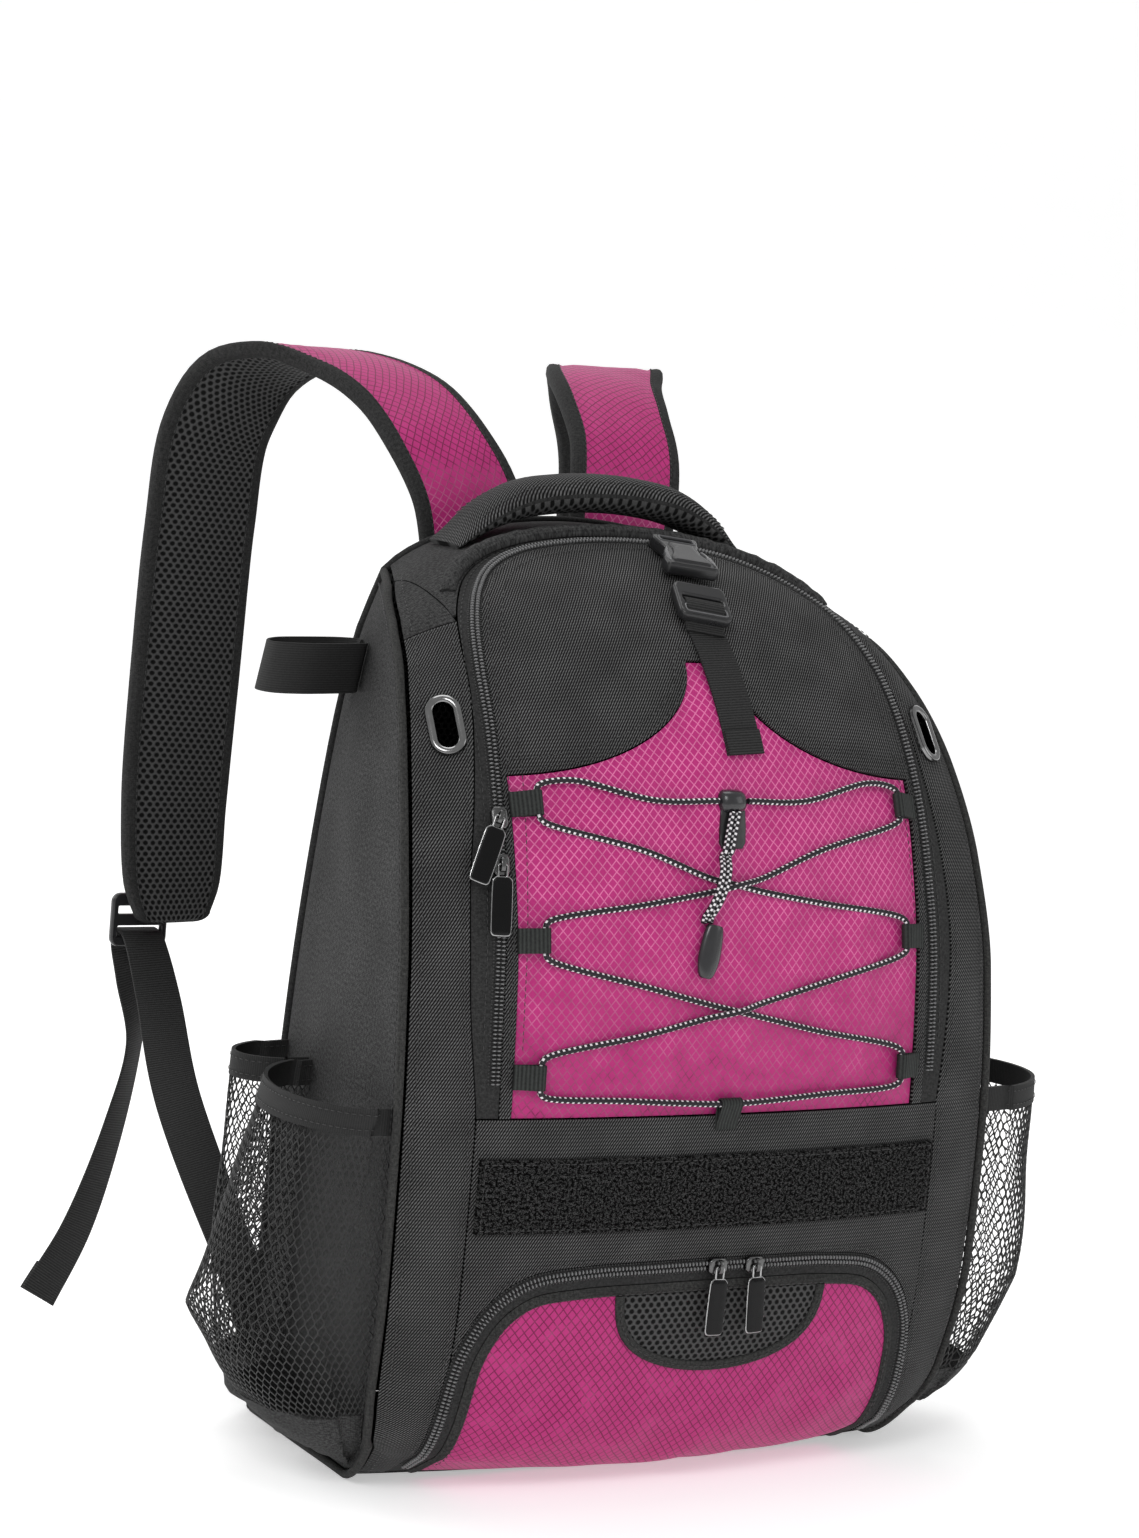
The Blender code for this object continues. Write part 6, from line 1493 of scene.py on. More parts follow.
def sliderFrames():
    v = zips
    line, shoe = skinLine(mainZipLine, 0.016), skinLine(shoeZipLine, 0.016)
    found = []
    for name, step, lean, tilt in (("main_upper", 0, -v["lean"], 1.5), ("main_lower", -1, -4.0, 4.0)):
        run = v["mainRun"] * wholeRun + step * v["mainSpacing"]
        found.append((name, skinFrame(-np.interp(run, line[:, 1], line[:, 0]), run), lean, tilt, False))
    middle = panels["vent"][2] * half + 0.004
    for name, step in (("shoe_left", -0.5), ("shoe_right", 0.5)):
        lateral = middle + step * v["shoeSpacing"]
        found.append((name, skinFrame(lateral, np.interp(-abs(lateral), -shoe[:, 0], shoe[:, 1])),
                4.0 * step, 3.0, True))
    return found


def buildZips():
    v, gap = zips, bag["gap"]
    for name, seatFrame, lean, tilt, crosswise in sliderFrames():
        low, high = gap, gap + v["height"]
        wide, long = (v["length"], v["width"]) if crosswise else (v["width"], v["length"])
        lowerEnd = [(-wide / 2, -long * 0.3), (-wide * 0.32, -long / 2), (wide * 0.32, -long / 2),
            (wide / 2, -long * 0.3)]
        outline = np.array(lowerEnd + [(-x, -y) for x, y in lowerEnd])
        moulded(f"slide_{name}", seatFrame, outline, low, high, looks["slider"], rounding=0.0009,
            nodes=(f"slider_{name}",))
        origin, across, up, out = turned(seatFrame, lean)
        rise = high + v["bridgeHeight"] - v["bridgeWall"] / 2
        bridgeLine = [(-0.0031, high - 0.0006), (-0.0031, high + v["bridgeHeight"] * 0.5),
            (-0.002, rise - 0.0004), (0, rise),
            (0.002, rise - 0.0004), (0.0031, high + v["bridgeHeight"] * 0.5), (0.0031, high - 0.0006)]
        path = even(smoothLine(np.array(bridgeLine), 0.0004), 0.0004)
        centres = origin + path[:, :1] * up + path[:, 1:] * out
        sweepPiece(f"bridge_{name}", centres, across, roundedBox(v["bridgeWidth"], v["bridgeWall"], 0.0003, 2),
            looks["slider"])
        pivot = origin + out * (high + (v["bridgeHeight"] - v["bridgeWall"]) * 0.6)
        tilt = min(tilt, math.degrees(math.asin(out[2])))
        c, s = math.cos(math.radians(tilt)), math.sin(math.radians(tilt))
        down, face = -c * up - s * out, c * out - s * up
        arm = v["bridgeWidth"] / 2 + 0.0006 + v["wire"]
        ring = [(-arm, 0.0007), (-arm + 0.0006, 0.0), (arm - 0.0006, 0.0), (arm, 0.0007), (arm, v["reach"] - 0.0004),
            (arm - 0.0006, v["reach"] + 0.0004), (-arm + 0.0006, v["reach"] + 0.0004), (-arm, v["reach"] - 0.0004)]
        loop = even(np.vstack([ring, ring[:1]]), 0.0007)[:-1]
        body = f"pull_{name}"
        tubePiece(f"link_{name}", pivot + loop[:, :1] * across + loop[:, 1:] * down, v["wire"],
            looks["steel"], body=body, sides=8, closed=True)
        halfWide, foot, reach = v["pullWidth"] / 2, v["reach"] + v["pullLength"], v["reach"]
        right = [(halfWide * 0.62, reach - 0.0004), (halfWide * 0.94, reach + 0.0012), (halfWide, reach + 0.004),
            (halfWide, foot - 0.0036), (halfWide * 0.96, foot - 0.0015), (halfWide * 0.8, foot - 0.0003),
            (halfWide * 0.4, foot)]
        tab = mirrored(smoothLine(np.array(right), 0.0008))
        away = (pivot, across, down, -face)
        moulded(f"tab_rim_{name}", away, tab, -v["pullThick"] / 2 + 0.0003,
            v["pullThick"] / 2 - 0.0003, looks["steel"], rounding=0.0004, body=body, nodes=(body,))
        middle = np.array((0.0, (reach + foot) / 2))
        inset = middle + (tab - middle) * (0.91, 0.965)
        for faceName, (bottom, top) in (("front", (-v["pullThick"] / 2 - 0.0004, -0.0002)),
                ("back", (0.0002, v["pullThick"] / 2 + 0.0001))):
            moulded(f"tab_{faceName}_{name}", away, inset, bottom, top, looks["enamel"], rounding=0.0005, body=body)


buildZips()


# oval eyelets
def buildEyelets():
    width, length, rim = panels["eyeletSize"]
    gap, inner, straightHalf = bag["gap"], width - 2 * rim, (length - width) / 2
    rimShape = [(width / 2, gap * 0.2), (width / 2, gap + 0.0004), (width / 2 - 0.0004, gap + 0.0013)]
    rimShape += [(width / 2 - rim / 2 + rim / 2 * math.cos(t), gap + 0.0009 + 0.0014 * math.sin(t))
        for t in np.linspace(0.6, math.pi, 9)]
    rimShape += [(inner / 2, gap), (inner / 2, -bag["cloth"] - 0.0008), (inner / 2 + 0.0007, -bag["cloth"] - 0.0008),
        (inner / 2 + 0.0007, gap * 0.2)]
    angles = np.linspace(0, math.pi, 24)
    for name, sign in bothSides:
        origin, across, up, out = skinFrame(sign * panels["eyelet"][0] * half, panels["eyelet"][1] * wholeRun)
        rings = []
        for radius, height in rimShape:
            top = [(radius * math.cos(t), straightHalf + radius * math.sin(t)) for t in angles]
            loop = np.array(top + [(-x, -y) for x, y in top])
            rings.append(origin + loop[:, :1] * across + loop[:, 1:] * up + height * out)
        quads, _, _ = ringFaces(len(rings), len(rings[0]), True)
        makePiece(f"oval_ring_{name}", np.vstack(rings), [quads], looks["chrome"], smooth=40,
            nodes=(f"eyelet_{name}",))


buildEyelets()


# side-release buckle on its strap
closure = {"socket": (0.09, 0.878), "plug": (0.042, 0.827), "end": (0.066, 0.718), "lean": -10.0, "width": 0.03,
    "thick": 0.008, "socketLength": 0.035, "plugLength": 0.025, "webWidth": 0.022, "webThick": 0.0016}


def ribbonOnSkin(name, stops, width, thickness, nodes, lift=0.0):
    line = even(smoothLine(np.array(stops), 0.002), 0.003)
    centres = onSkin(line, bag["gap"] + lift + thickness / 2)
    across = np.cross(np.gradient(centres, axis=0), outwardsAt(line))
    sweepPiece(name, centres, across, roundedBox(width, thickness, thickness * 0.42, 3),
        looks["webbing"], nodes=nodes)
    return line


def buildClosure():
    v = closure
    low = 2 * bag["gap"] + v["webThick"] + 0.0004
    high, halfWide = low + v["thick"], v["width"] / 2
    seatFrame = closureFrame(*v["socket"], v["lean"])
    length = v["socketLength"]
    rows = ((-0.5, 0.9), (-0.47, 0.97), (-0.3, 1.0), (-0.2, 0.93), (-0.12, 0.78), (0.02, 0.66),
        (0.14, 0.66), (0.27, 0.75), (0.42, 0.86), (0.48, 0.84), (0.50, 0.76))
    outline = mirrored(smoothLine(np.array([(w * halfWide, share * length) for share, w in rows]), 0.0012))
    slot = roundedRectangle(v["webWidth"] * 0.86, length * 0.5 - 0.0068, length * 0.5 - 0.0024, 0.001)
    moulded("clasp_socket", seatFrame, outline, low, high - 0.001, looks["plastic"], holes=(slot,),
        rounding=0.0014, steps=4, nodes=("buckle_socket",), cell=0.002)
    shellRows = ((-0.4, 0.7), (-0.3, 0.74), (-0.14, 0.56), (0.05, 0.46), (0.2, 0.48))
    boss = mirrored(smoothLine(np.array([(w * halfWide, share * length) for share, w in shellRows]), 0.0012))
    moulded("clasp_boss", seatFrame, boss, high - 0.003, high, looks["plastic"], rounding=0.0012, steps=4, cell=0.002)
    rim = roundedRectangle(v["webWidth"] * 0.86 + 0.0016, length * 0.5 - 0.0076, length * 0.5 - 0.0016, 0.0014)
    # the slot rim's lighter grey is a painted highlight
    moulded("clasp_slot_rim", seatFrame, rim, high - 0.0022, high - 0.0006, looks["plasticPaintedHighlight"],
        holes=(slot,), rounding=0.0004, cell=0.001)
    for sign in (-1, 1):
        prong = np.array([(0.86, -0.42), (0.93, -0.3), (0.9, -0.16), (0.8, -0.04), (0.7, 0.05), (0.62, 0.02),
                (0.74, -0.12), (0.78, -0.3)])
        prong = prong[::-sign] * (sign * halfWide, length)
        # the prongs' lighter grey is a painted highlight
        moulded(f"clasp_prong_{'left' if sign < 0 else 'right'}", seatFrame, prong, high - 0.0036, high - 0.0002,
            looks["plasticPaintedHighlight"], rounding=0.0009, cell=0.0015)
    seatFrame = closureFrame(*v["plug"], v["lean"])
    top, foot = v["plugLength"] / 2, -v["plugLength"] / 2
    slots = [roundedRectangle(v["webWidth"] * 1.04, foot + 0.0034, foot + 0.0076, 0.0012),
        roundedRectangle(v["webWidth"] * 1.04, foot + 0.0112, foot + 0.0154, 0.0012)]
    body = roundedRectangle(v["width"], foot, top, 0.0042, 7)
    moulded("clasp_plug", seatFrame, body, low, high - 0.0022, looks["plastic"], holes=slots,
        rounding=0.0014, steps=4, nodes=("buckle_plug",), cell=0.002)
    rim = roundedRectangle(v["webWidth"] * 1.04 + 0.0018, foot + 0.0025, foot + 0.0085, 0.0018)
    # the plug rim's lighter grey is a painted highlight
    moulded("clasp_plug_rim", seatFrame, rim, high - 0.0034, high - 0.0018, looks["plasticPaintedHighlight"], holes=slots[:1],
        rounding=0.0004, cell=0.001)
    stops = ((v["plug"][0] * half, v["plug"][1] * wholeRun + v["plugLength"] * 0.42),
        (v["plug"][0] * half - 0.001, v["plug"][1] * wholeRun - v["plugLength"] * 0.3),
        (v["end"][0] * half, v["end"][1] * wholeRun))
    line = ribbonOnSkin("closure_web", stops, v["webWidth"], v["webThick"], ("closure_strap",))
    ribbonOnSkin("closure_fold", (line[-5], line[-1] - (0, 0.0004)), v["webWidth"] * 0.99, v["webThick"] * 0.9, (),
        lift=v["webThick"])
    origin, across, up, out = seatFrame
    bridge = [(0, foot - 0.005, low - 0.001), (0, foot + 0.001, low + 0.0006), (0, foot + 0.005, high - 0.0034),
        (0, foot + 0.0094, high - 0.002), (0, foot + 0.0134, high - 0.0034), (0, foot + 0.015, low + 0.001)]
    path = even(smoothLine(np.array(bridge), 0.0008), 0.0008)
    centres = origin + path[:, 1:2] * up + path[:, 2:] * out
    sweepPiece("closure_bend", centres, across, roundedBox(v["webWidth"], 0.0014, 0.0005, 2), looks["webbing"])
    topRun = v["socket"][1] * wholeRun + v["socketLength"] / 2 - 0.007
    flapTop = mainZipLine[-1][1] * wholeRun - panels["coil"] / 2 - 0.0012
    lean = math.tan(math.radians(-v["lean"]))
    middle = (v["socket"][0] * half + lean * (topRun - v["socket"][1] * wholeRun), topRun)
    ribbonOnSkin("anchor_web", (middle, (middle[0] + lean * (flapTop - topRun), flapTop)),
        v["webWidth"] * 0.8, v["webThick"], ("closure_anchor",))


buildClosure()
print("hardware done")


# side pockets of net, and elastic loops above them
pockets = {
    "list": (("side_pocket_front_left", -1, None, 0.27, 0.214, 0.52, 0.34),
        ("side_pocket_front_right", 1, None, 0.27, 0.214, 0.94, 0.62),
        ("side_pocket_rear_left", -1, 0.255, 0.02, 0.104, 0.96, 0.62),
        ("side_pocket_rear_right", 1, 0.255, 0.02, 0.104, 0.96, 0.62)),
    "low": 0.01, "high": 0.2, "foot": 0.24, "rim": 0.945, "pitch": 0.0046, "thread": 0.00042, "net": 0.0012,
    "loopHeight": 0.837, "loopReach": 0.058, "loopWidth": 0.026, "loopThick": 0.0016,
}


def pocketSurface(spec, u, t, out):
    sign, front, back, belly, rim, foot = spec[1:]
    u, t = np.broadcast_arrays(np.asarray(u, float), np.asarray(t, float))
    table = np.array(((0.0, 0.0), (0.1, foot), (0.28, 0.5 + foot / 2), (0.5, 1.0), (0.75, (1 + rim) / 2), (1.0, rim)))

    def at(u, t):
        z = pockets["low"] + (pockets["high"] - pockets["low"]) * np.clip(t, 0, 1) ** 1.25
        rise = np.interp(t, table[:, 0], table[:, 1])
        lead = backY - front * bag["depth"] + 0 * z if front else np.interp(z, pocketEdge[:, 1], pocketEdge[:, 0])
        rear = backY - back * bag["depth"]
        s = 0.5 - 0.5 * np.cos(math.pi * u)
        made = sideSurface(lead + (rear - lead) * s, z)
        made[..., 0] += belly * bag["width"] * rise * np.abs(np.sin(math.pi * u))
        return made

    e = 0.02
    du = at(np.clip(u + e, 0, 1), t) - at(np.clip(u - e, 0, 1), t)
    dt = at(u, np.clip(t + e, 0, 1)) - at(u, np.clip(t - e, 0, 1))
    normal = unit(np.cross(dt, du))
    normal = normal * np.where(normal[..., :1] < -0.3, -1, 1)
    if np.sum(normal[..., 0]) < 0:
        normal = -normal
    return (at(u, t) + normal * np.asarray(out)[..., None]) * (sign, 1, 1)


pocketEdge = sideEdge(seamInset + 0.003)
pocketEdge = pocketEdge[pocketEdge[:, 1] > pockets["low"] - 0.001]


def slab(name, place, us, ts, low, high, look):
    # a closed slab over a grid of the surface; low and high are its two heights, high may be a grid
    u, t = np.meshgrid(us, ts)
    layers = [place(u, t, 0 * u + low), place(u, t, 0 * u + high)]
    rows, columns = u.shape
    count = rows * columns
    acrossLength = np.concatenate([[0], np.cumsum(np.linalg.norm(np.diff(layers[1][rows // 2], axis=0), axis=1))])
    upLength = np.concatenate([[0], np.cumsum(np.linalg.norm(np.diff(layers[1][:, columns // 2], axis=0), axis=1))])
    uvGrid = np.stack(np.meshgrid(acrossLength, upLength), -1).reshape(-1, 2)
    i, j = (k.ravel() for k in np.meshgrid(np.arange(rows - 1), np.arange(columns - 1), indexing="ij"))
    a = i * columns + j
    quads = np.column_stack([a, a + 1, a + columns + 1, a + columns])
    ring = list(range(columns)) + [r * columns + columns - 1 for r in range(1, rows)]
    ring += [(rows - 1) * columns + c for c in range(columns - 2, -1,
            -1)] + [r * columns for r in range(rows - 2, 0, -1)]
    ring = np.array(ring)
    nxt = np.roll(ring, -1)
    blocks = [quads[:, ::-1], quads + count, np.column_stack([ring, nxt, nxt + count, ring + count])]
    points = np.vstack([layer.reshape(-1, 3) for layer in layers])
    both = np.vstack([uvGrid, uvGrid])
    return makePiece(name, points, blocks, look, uv=[both[b] for b in blocks], smooth=60)


def hexEdges(width, height, pitch):
    # edges of a honeycomb over a flat field, cut to it
    dx, dy = pitch, pitch * 0.5 * math.sqrt(3) * 1.15
    points, edges, index = [], [], {}

    def corner(x, y):
        key = (round(x * 1e6), round(y * 1e6))
        if key not in index:
            index[key] = len(points)
            points.append((x, y))
        return index[key]

    rows, columns = int(height / dy) + 2, int(width / dx) + 2
    for r in range(rows):
        for c in range(columns):
            x, y = c * dx + (r % 2) * dx / 2, r * dy
            a, b = corner(x, y - dy / 6 * 1.1), corner(x, y + dy / 6 * 1.1)
            edges.append((a, b))
            upLeft, upRight = corner(x - dx / 2, y + dy - dy / 6 * 1.1), corner(x + dx / 2, y + dy - dy / 6 * 1.1)
            edges += [(b, upLeft), (b, upRight)]
    points = np.array(points)
    ok = (points[:, 0] >= 0) & (points[:, 0] <= width) & (points[:, 1] >= 0) & (points[:, 1] <= height)
    edges = [(a, b) for a, b in edges if ok[a] and ok[b]]
    return points, np.array(edges)


def buildPockets():
    v, gap = pockets, bag["gap"]
    for k, spec in enumerate(v["list"]):
        name, front = spec[0], spec[2]

        def place(u, t, out, spec=spec):
            return pocketSurface(spec, u, t, out)

        us = np.linspace(0, 1, 61 if front is None else 31)
        ts = np.linspace(0, 1, 60)
        girthTable = lineLength(place(us, 0 * us + 0.5, 0 * us))
        tallTable = lineLength(place(0 * ts + 0.5, ts, 0 * ts))
        girth, tall = girthTable[-1], tallTable[-1]
        netFoot, netTop = np.interp((v["foot"], v["rim"]), ts, tallTable)
        flat, edges = hexEdges(girth, netTop - netFoot + 0.002, v["pitch"])
        u = np.interp(flat[:, 0], girthTable, us)
        t = np.interp(flat[:, 1] + netFoot - 0.001, tallTable, ts)
        sag = 0.001 * ripple(flat, 0.05, 30 + k)
        made = place(u, t, 2 * gap + v["net"] / 2 + sag * np.sin(math.pi * u))
        runTree(f"net_{name[12:]}", netTree, made, edges, None,
            {"Radius": v["thread"], "Look": looks["net"]}, nodes=(name,))
        footT = np.linspace(0.0, v["foot"], 14)
        uu, tt = np.meshgrid(us, footT)
        creases = np.stack([uu.ravel() * girth, tt.ravel() * tall], -1)
        wrinkle = (0.001 * ripple(creases, 0.025, 40 + k)).reshape(uu.shape) * np.sin(math.pi * np.clip(uu, 0, 1))
        slab(f"foot_{name[12:]}", place, us, footT, gap,
            2 * gap + v["net"] + np.maximum(wrinkle, -0.0006), looks["cloth"])
        rimT = np.linspace(v["rim"], 1.0, 5)
        slab(f"rim_{name[12:]}", place, us, rimT, gap * 1.2, 2 * gap + v["net"] + 0.0006, looks["elastic"])
        for level in (v["rim"] + 0.012, 0.988):
            line = place(us, 0 * us + level, 0 * us + 2 * gap + v["net"] + 0.001)
            facing = place(us, 0 * us + level, 0 * us + 1.0) - place(us, 0 * us + level, 0 * us)
            seamLines.append((line[1:-1], facing[1:-1]))
    loopRows = np.array(((0.165, 0.0), (0.192, 0.02), (0.214, 0.2), (0.238, 0.62), (0.218, 0.9),
            (0.158, 1.0), (0.099, 0.9), (0.069, 0.60), (0.058, 0.20), (0.080, 0.02), (0.107, 0.00)))
    for name, sign in bothSides:
        z = v["loopHeight"] * bag["height"]
        y = backY - loopRows[:, 0] * bag["depth"]
        x = sideSurface(y, z)[:, 0] + loopRows[:, 1] * v["loopReach"] + 2 * gap
        line = even(smoothLine(np.column_stack([x, y]), 0.002), 0.0025)
        centres = np.column_stack([line * (sign, 1), np.full(len(line), z)])
        section = roundedBox(v["loopWidth"], v["loopThick"], 0.0006, 2) + (0, sign * v["loopThick"] / 2)
        lean = sideSurface(y[-1], z + 0.013) - sideSurface(y[-1], z - 0.013)
        sweepPiece(f"elastic_loop_{name}", centres, lean * (sign, 1, 1), section, looks["elastic"],
            nodes=(f"side_loop_{name}",))


buildPockets()
print("pockets done")


# handle, shoulder straps, adjusters and webbing
carry = {
    "handle": (0.034, 0.016, 0.176, 0.0115, 0.272),
    "handleRows": ((1.0, 0.0, 0.2), (0.9, 0.1, 0.46), (0.76, 0.4, 0.8), (0.52, 0.8, 1.0),
        (0.26, 0.96, 1.0), (0.0, 1.0, 1.0)),
    "handleSwell": 0.28, "handleDrop": 0.0035,
    "strapTip": 0.006, "strapWidth": 0.066, "strapThick": 0.012, "strapRoot": 0.009, "webWidth": 0.025,
    "webThick": 0.0016,
    "adjuster": (0.034, 0.03, 0.004, 0.015, 0.006),
    "strapRows": (
        (0.247, 0.000, 0.889, 0.92, 0.00), (0.253, 0.000, 0.952, 0.96, 0.00), (0.275, 0.009, 1.015, 1.00, 0.30),
        (0.331, 0.048, 1.077, 1.00, 0.70), (0.376, 0.107, 1.123, 1.00, 1.00), (0.449, 0.174, 1.148, 1.00, 1.00),
        (0.556, 0.237, 1.153, 1.00, 1.00), (0.652, 0.287, 1.125, 1.00, 1.00), (0.719, 0.310, 1.063, 1.00, 1.00),
        (0.742, 0.316, 0.952, 1.00, 1.00), (0.758, 0.314, 0.795, 1.00, 1.00), (0.775, 0.306, 0.628, 0.96, 1.00),
        (0.772, 0.298, 0.530, 0.86, 0.95), (0.770, 0.295, 0.502, 0.70, 0.80),
    ),
}


def padSection(count, edge=0.1, power=2.4):
    # half a pad's section from -1 to 1, then back over it
    u = np.sin(np.linspace(-math.pi / 2, math.pi / 2, count))
    top = edge + (1 - edge) * (1 - np.abs(u) ** power) ** 0.55
    return np.column_stack([u, -top]), np.column_stack([u[::-1], top[::-1]])


def buildHandle():
    width, thick, span, rise, share = carry["handle"]
    rows = np.array(carry["handleRows"])
    rows = np.vstack([rows * (-1, 1, 1), rows[::-1][1:]])
    scale = np.array((span / 2, rise, thick))
    line = smoothLine(rows * scale, 0.004) / (1, *scale[1:])
    run = wholeRun - (backY - share * bag["depth"])
    surface = skinSurface(line[:, 0], run)
    outwards = skin(line[:, 0], run, 1.0) - skin(line[:, 0], run, 0.0)
    deep = thick * line[:, 2] * (1 + carry["handleSwell"] * line[:, 1])
    centres = surface + outwards * (bag["gap"] + deep / 2)[:, None]
    centres = centres + np.outer(line[:, 1] * (rise - carry["handleDrop"]), (0, 0, 1))
    halfCount = 13  # points on each half of the section
    under, over = padSection(halfCount)
    shape = np.vstack([under, over]) * 0.5
    section = shape[None] * np.stack([np.full(len(line), width), deep], -1)[:, None]
    across = np.array([(0.0, -1.0, 0.0)] * len(centres))
    tangent = unit(np.gradient(centres, axis=0))
    upSide = np.cross(across[0], tangent[len(tangent) // 2])[2] > 0
    look = [1 if (j < halfCount - 1) == upSide else 0 for j in range(2 * halfCount)]
    look[halfCount - 1] = look[-1] = 2  # the binding between cloth and mesh
    piece = sweepPiece("grab_handle", centres, across, section,
        [looks["twill"], looks["airMesh"], looks["binding"]], faceLook=look, smooth=70, nodes=("carry_handle",))

    def held(points):
        edge = np.abs(np.abs(points[:, 1] - centres[:, 1].mean()) - width / 2) < 0.003
        return edge | (np.abs(points[:, 0]) > span * 0.44)

    stuff(piece, 0.0035, 0.0016, held, 6.0)
    for v in (-0.4, 0.4):
        points = centres + across * v * width + np.cross(across, tangent) * (deep * 0.35)[:, None]
        seamLines.append((points[6:-6], np.cross(across, tangent)[6:-6]))


def strapStations(spacing):
    rows = np.array(carry["strapRows"])
    base = backY + bag["backPad"] + bag["gap"] + carry["strapRoot"] / 2
    columns = np.column_stack([rows[:, 0] * half, base + rows[:, 1] * bag["height"], rows[:, 2] * bag["height"]])
    return smoothLine(np.column_stack([columns, rows[:, 3:] * 0.02]), spacing)


def buildStraps():
    v = carry
    for name, sign in bothSides:
        line = even(strapStations(0.005), 0.0055)
        centres = line[:, :3] * (sign, 1, 1)
        tip = centres[-1].copy()
        width = v["strapWidth"] * line[:, 3] / 0.02
        thick = v["strapRoot"] + (v["strapThick"] - v["strapRoot"]) * line[:, 4] / 0.02
        turn = np.linspace(0, 1, 7)[1:] * math.pi / 2  # round the tip
        direction = unit(centres[-1] - centres[-2])
        centres = np.vstack([centres, centres[-1] + direction * v["strapTip"] * np.sin(turn)[:, None]])
        width = np.concatenate([width, width[-1] * (1 - 0.45 * (1 - np.cos(turn)))])
        thick = np.concatenate([thick, thick[-1] * (1 - 0.5 * (1 - np.cos(turn)))])
        tangent = unit(np.gradient(centres, axis=0))
        across = np.broadcast_to((1.0, 0, 0), centres.shape)
        across = unit(across - tangent * (across * tangent).sum(1)[:, None])
        normal = np.cross(across, tangent)
        u = np.array((-1, -0.965, -0.9, -0.78, -0.74, -0.55, -0.3, 0, 0.3, 0.55, 0.74, 0.78, 0.9, 0.965, 1))
        dome = np.array((0.3, 0.62, 0.74, 0.72, 0.66, 0.9, 0.98, 1.0, 0.98, 0.9, 0.66, 0.72, 0.74, 0.62, 0.3))
        shape = np.vstack([np.column_stack([u, -dome]), np.column_stack([u[::-1], dome[::-1]])])
        n = len(u)
        section = shape[None] * np.stack([width / 2, thick / 2], -1)[:, None]
        flatU = shape[:, 0]
        middleU = (flatU + np.roll(flatU, -1)) / 2
        look = np.where(np.abs(middleU) > 0.76, 2, np.where(np.arange(2 * n) < n, 1, 0))
        pucker = 1 + 0.03 * np.sin(np.arange(len(centres)) * 0.9) * np.sin(np.arange(len(centres)) * 0.23)
        section = section * np.stack([np.ones(len(centres)), pucker], -1)[:, None]
        piece = sweepPiece(f"shoulder_pad_{name}", centres, across, section,
            [looks["ripstop"], looks["airMesh"], looks["binding"]],
            faceLook=look, smooth=70, nodes=(f"strap_pad_{name}",))

        def held(points):
            near = np.linalg.norm(points[:, None] - centres[None], axis=-1).argmin(1)
            sideways = np.abs(((points - centres[near]) * across[near]).sum(1)) / (width[near] / 2)
            return (sideways > 0.74) | (near < 3) | (near > len(centres) - 5)

        stuff(piece, 0.005, 0.0014, held, 6.0)
        for offset in (-0.8, 0.8):
            for face in (-1, 1):
                points = centres + across * (offset * width / 2)[:, None]
                points = points + normal * (face * thick * 0.5 * 0.76)[:, None]
                seamLines.append((points[2:-4], normal[2:-4] * face))
        wide, long, plateThick, shift, drop = v["adjuster"]
        middle = tip + np.array((sign * shift, v["strapThick"] / 2 + 0.0022, -drop))
        seatFrame = (middle, np.array((1.0, 0, 0)), np.array((0, 0, 1.0)), np.array((0, 1.0, 0)))
        h = long / 2
        outline = roundedRectangle(wide, -h, h, 0.005, 7)
        slots = [roundedRectangle(v["webWidth"] + 0.0014, -h * 0.62, -h * 0.62 + 0.006, 0.0008),
            roundedRectangle(v["webWidth"] + 0.0014, h * 0.22, h * 0.22 + 0.0045, 0.0008)]
        moulded(f"ladder_{name}", seatFrame, outline, 0, plateThick, looks["plastic"], holes=slots,
            rounding=0.0012, steps=4, nodes=(f"adjuster_{name}",), cell=0.0022)
        tabTop = tip + np.array((0.0, 0.0, 0.014))
        stops = [tabTop + (sign * 0.003, v["strapThick"] / 2 + 0.0002, 0),
            tabTop + (sign * 0.008, v["strapThick"] / 2 + 0.001, -0.01), middle + (0, 0.0014, h * 0.62)]
        tabPath = even(smoothLine(np.array(stops), 0.002), 0.002)
        sweepPiece(f"ladder_tab_{name}", tabPath, (1, 0, 0),
            roundedBox(v["webWidth"], 0.0016, 0.0006, 2), looks["webbing"])
        buildLowerWebbing(name, sign, middle + (0, plateThick / 2, -h * 0.62 + 0.003))


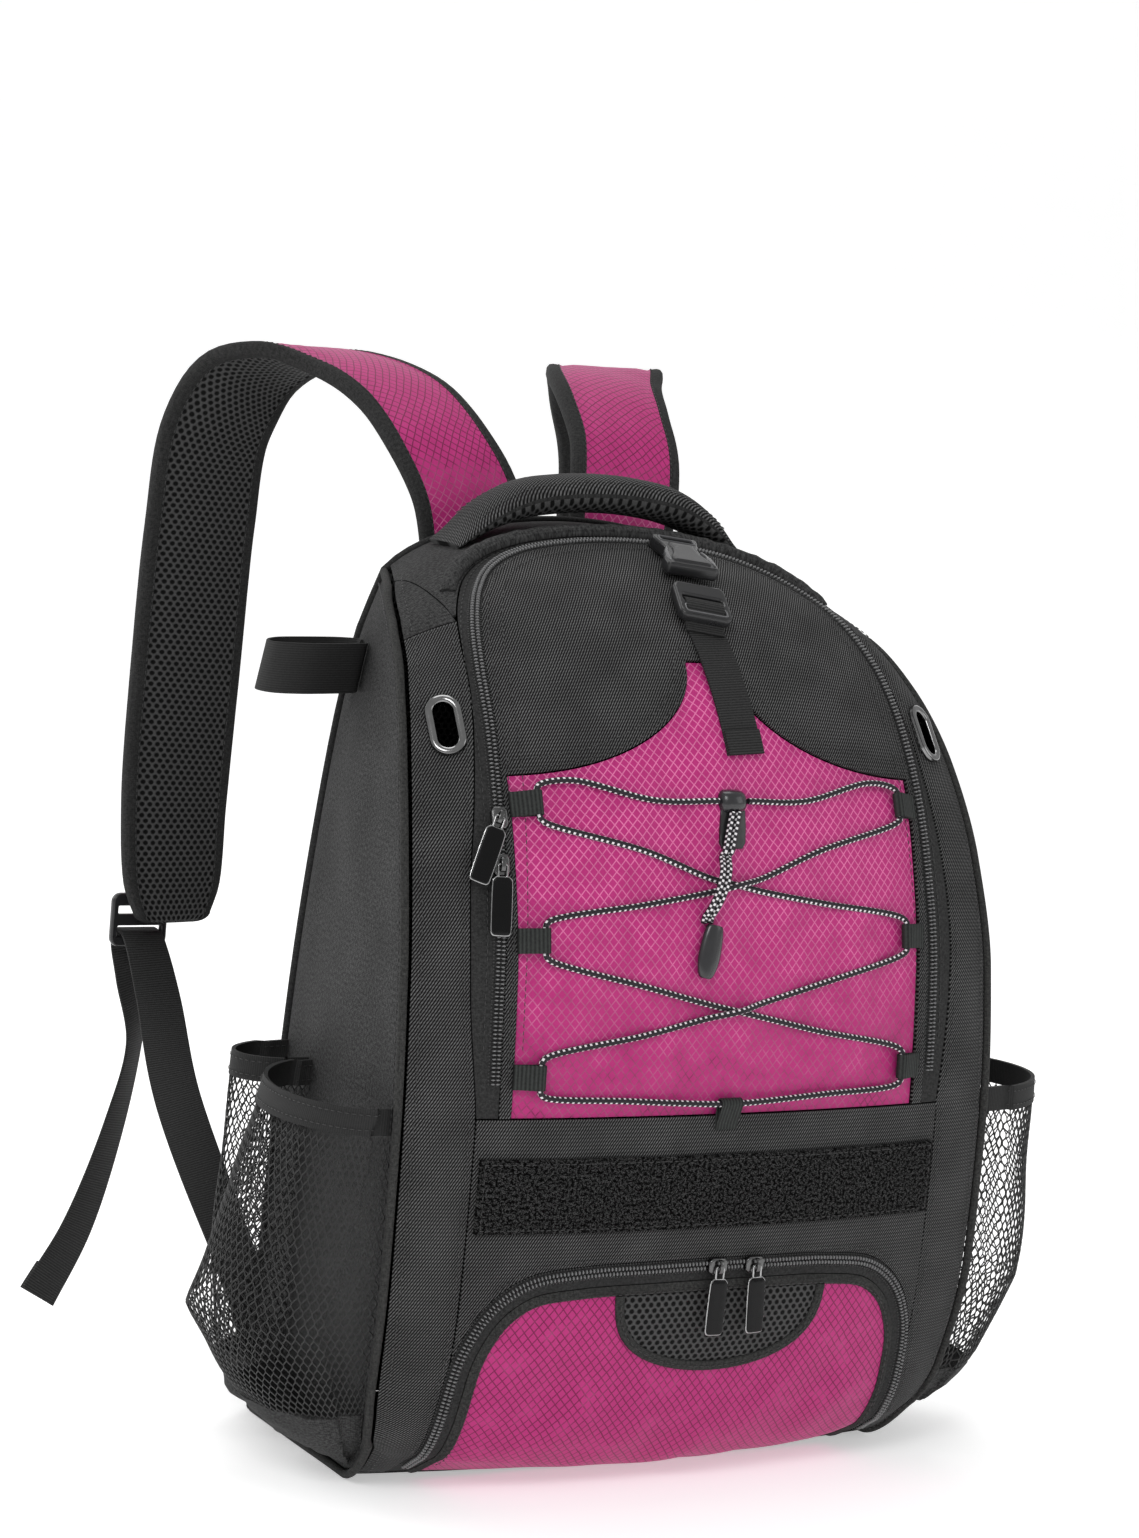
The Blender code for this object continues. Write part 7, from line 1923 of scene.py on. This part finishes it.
def buildLowerWebbing(name, sign, gate):
    v = carry
    back, high = backY + bag["backPad"], bag["height"]
    seat = np.array((0.76 * half * sign, back + bag["gap"] + 0.0002, 0.055 * high))
    leave = np.array((0.835 * half * sign, back + 0.006, 0.135 * high))
    reach = gate - leave
    middle = leave + reach * (0.5, 0.5, 0.52) + (0.008 * sign, 0, 0)
    into, over = gate + (0, -0.012, -0.007), gate + (0, -0.0045, -0.0008)
    behind, beyond = gate + (0, 0.0045, 0.0004), gate + (0, 0.0072, -0.005)
    drop = gate[2] - 0.045 * high
    rows = [(seat, (1, 0, 0)), (seat * 0.5 + leave * 0.5 - (0, 0.0008, 0), (1, 0.0, 0)), (leave, (1, 0, 0)),
        (middle, (0.75, 0.6 * sign, 0)), (leave + reach * 0.8, (0.95, 0.25 * sign, 0)), (into, (1, 0, 0)),
        (over, (1, 0, 0)), (gate, (1, 0, 0)), (behind, (1, 0, 0)), (beyond, (1, 0, 0)),
        (beyond + (-0.003 * sign, 0.0016, -0.1 * drop), (0.95, -0.3 * sign, 0)),
        (beyond + (-0.008 * sign, 0.003, -0.28 * drop), (0.72, -0.7 * sign, 0)),
        (beyond + (0.0 * sign, 0.003, -0.5 * drop), (0.8, -0.6 * sign, 0)),
        (beyond + (0.02 * sign, 0.002, -0.8 * drop), (0.95, -0.35 * sign, 0)),
        (beyond + (0.042 * sign, 0.0, -0.985 * drop), (1, -0.15 * sign, 0))]
    points = smoothLine(np.array([np.concatenate([p, unit(np.array(a, float)) * 0.02]) for p, a in rows]), 0.0015)
    points = even(points, 0.0024)
    points[:, 1] += np.where(np.arange(len(points)) < 4, v["webThick"] / 2, 0)
    sweepPiece(f"strap_web_{name}", points[:, :3], points[:, 3:], roundedBox(v["webWidth"], v["webThick"], 0.0005, 2),
        looks["webbing"], nodes=(f"lower_webbing_{name}",))
    end = points[-8:].copy()
    normal = unit(np.cross(end[:, 3:], np.gradient(end[:, :3], axis=0)))
    end[:, :3] += normal * v["webThick"] * 0.95
    sweepPiece(f"strap_web_fold_{name}", end[:, :3], end[:, 3:],
        roundedBox(v["webWidth"] * 0.99, v["webThick"], 0.0005, 2), looks["webbing"])


buildHandle()
buildStraps()
alongLines("stitches", seamLines, sewing["spacing"], sewing["size"], looks["thread"])
print("carry parts and stitches done")
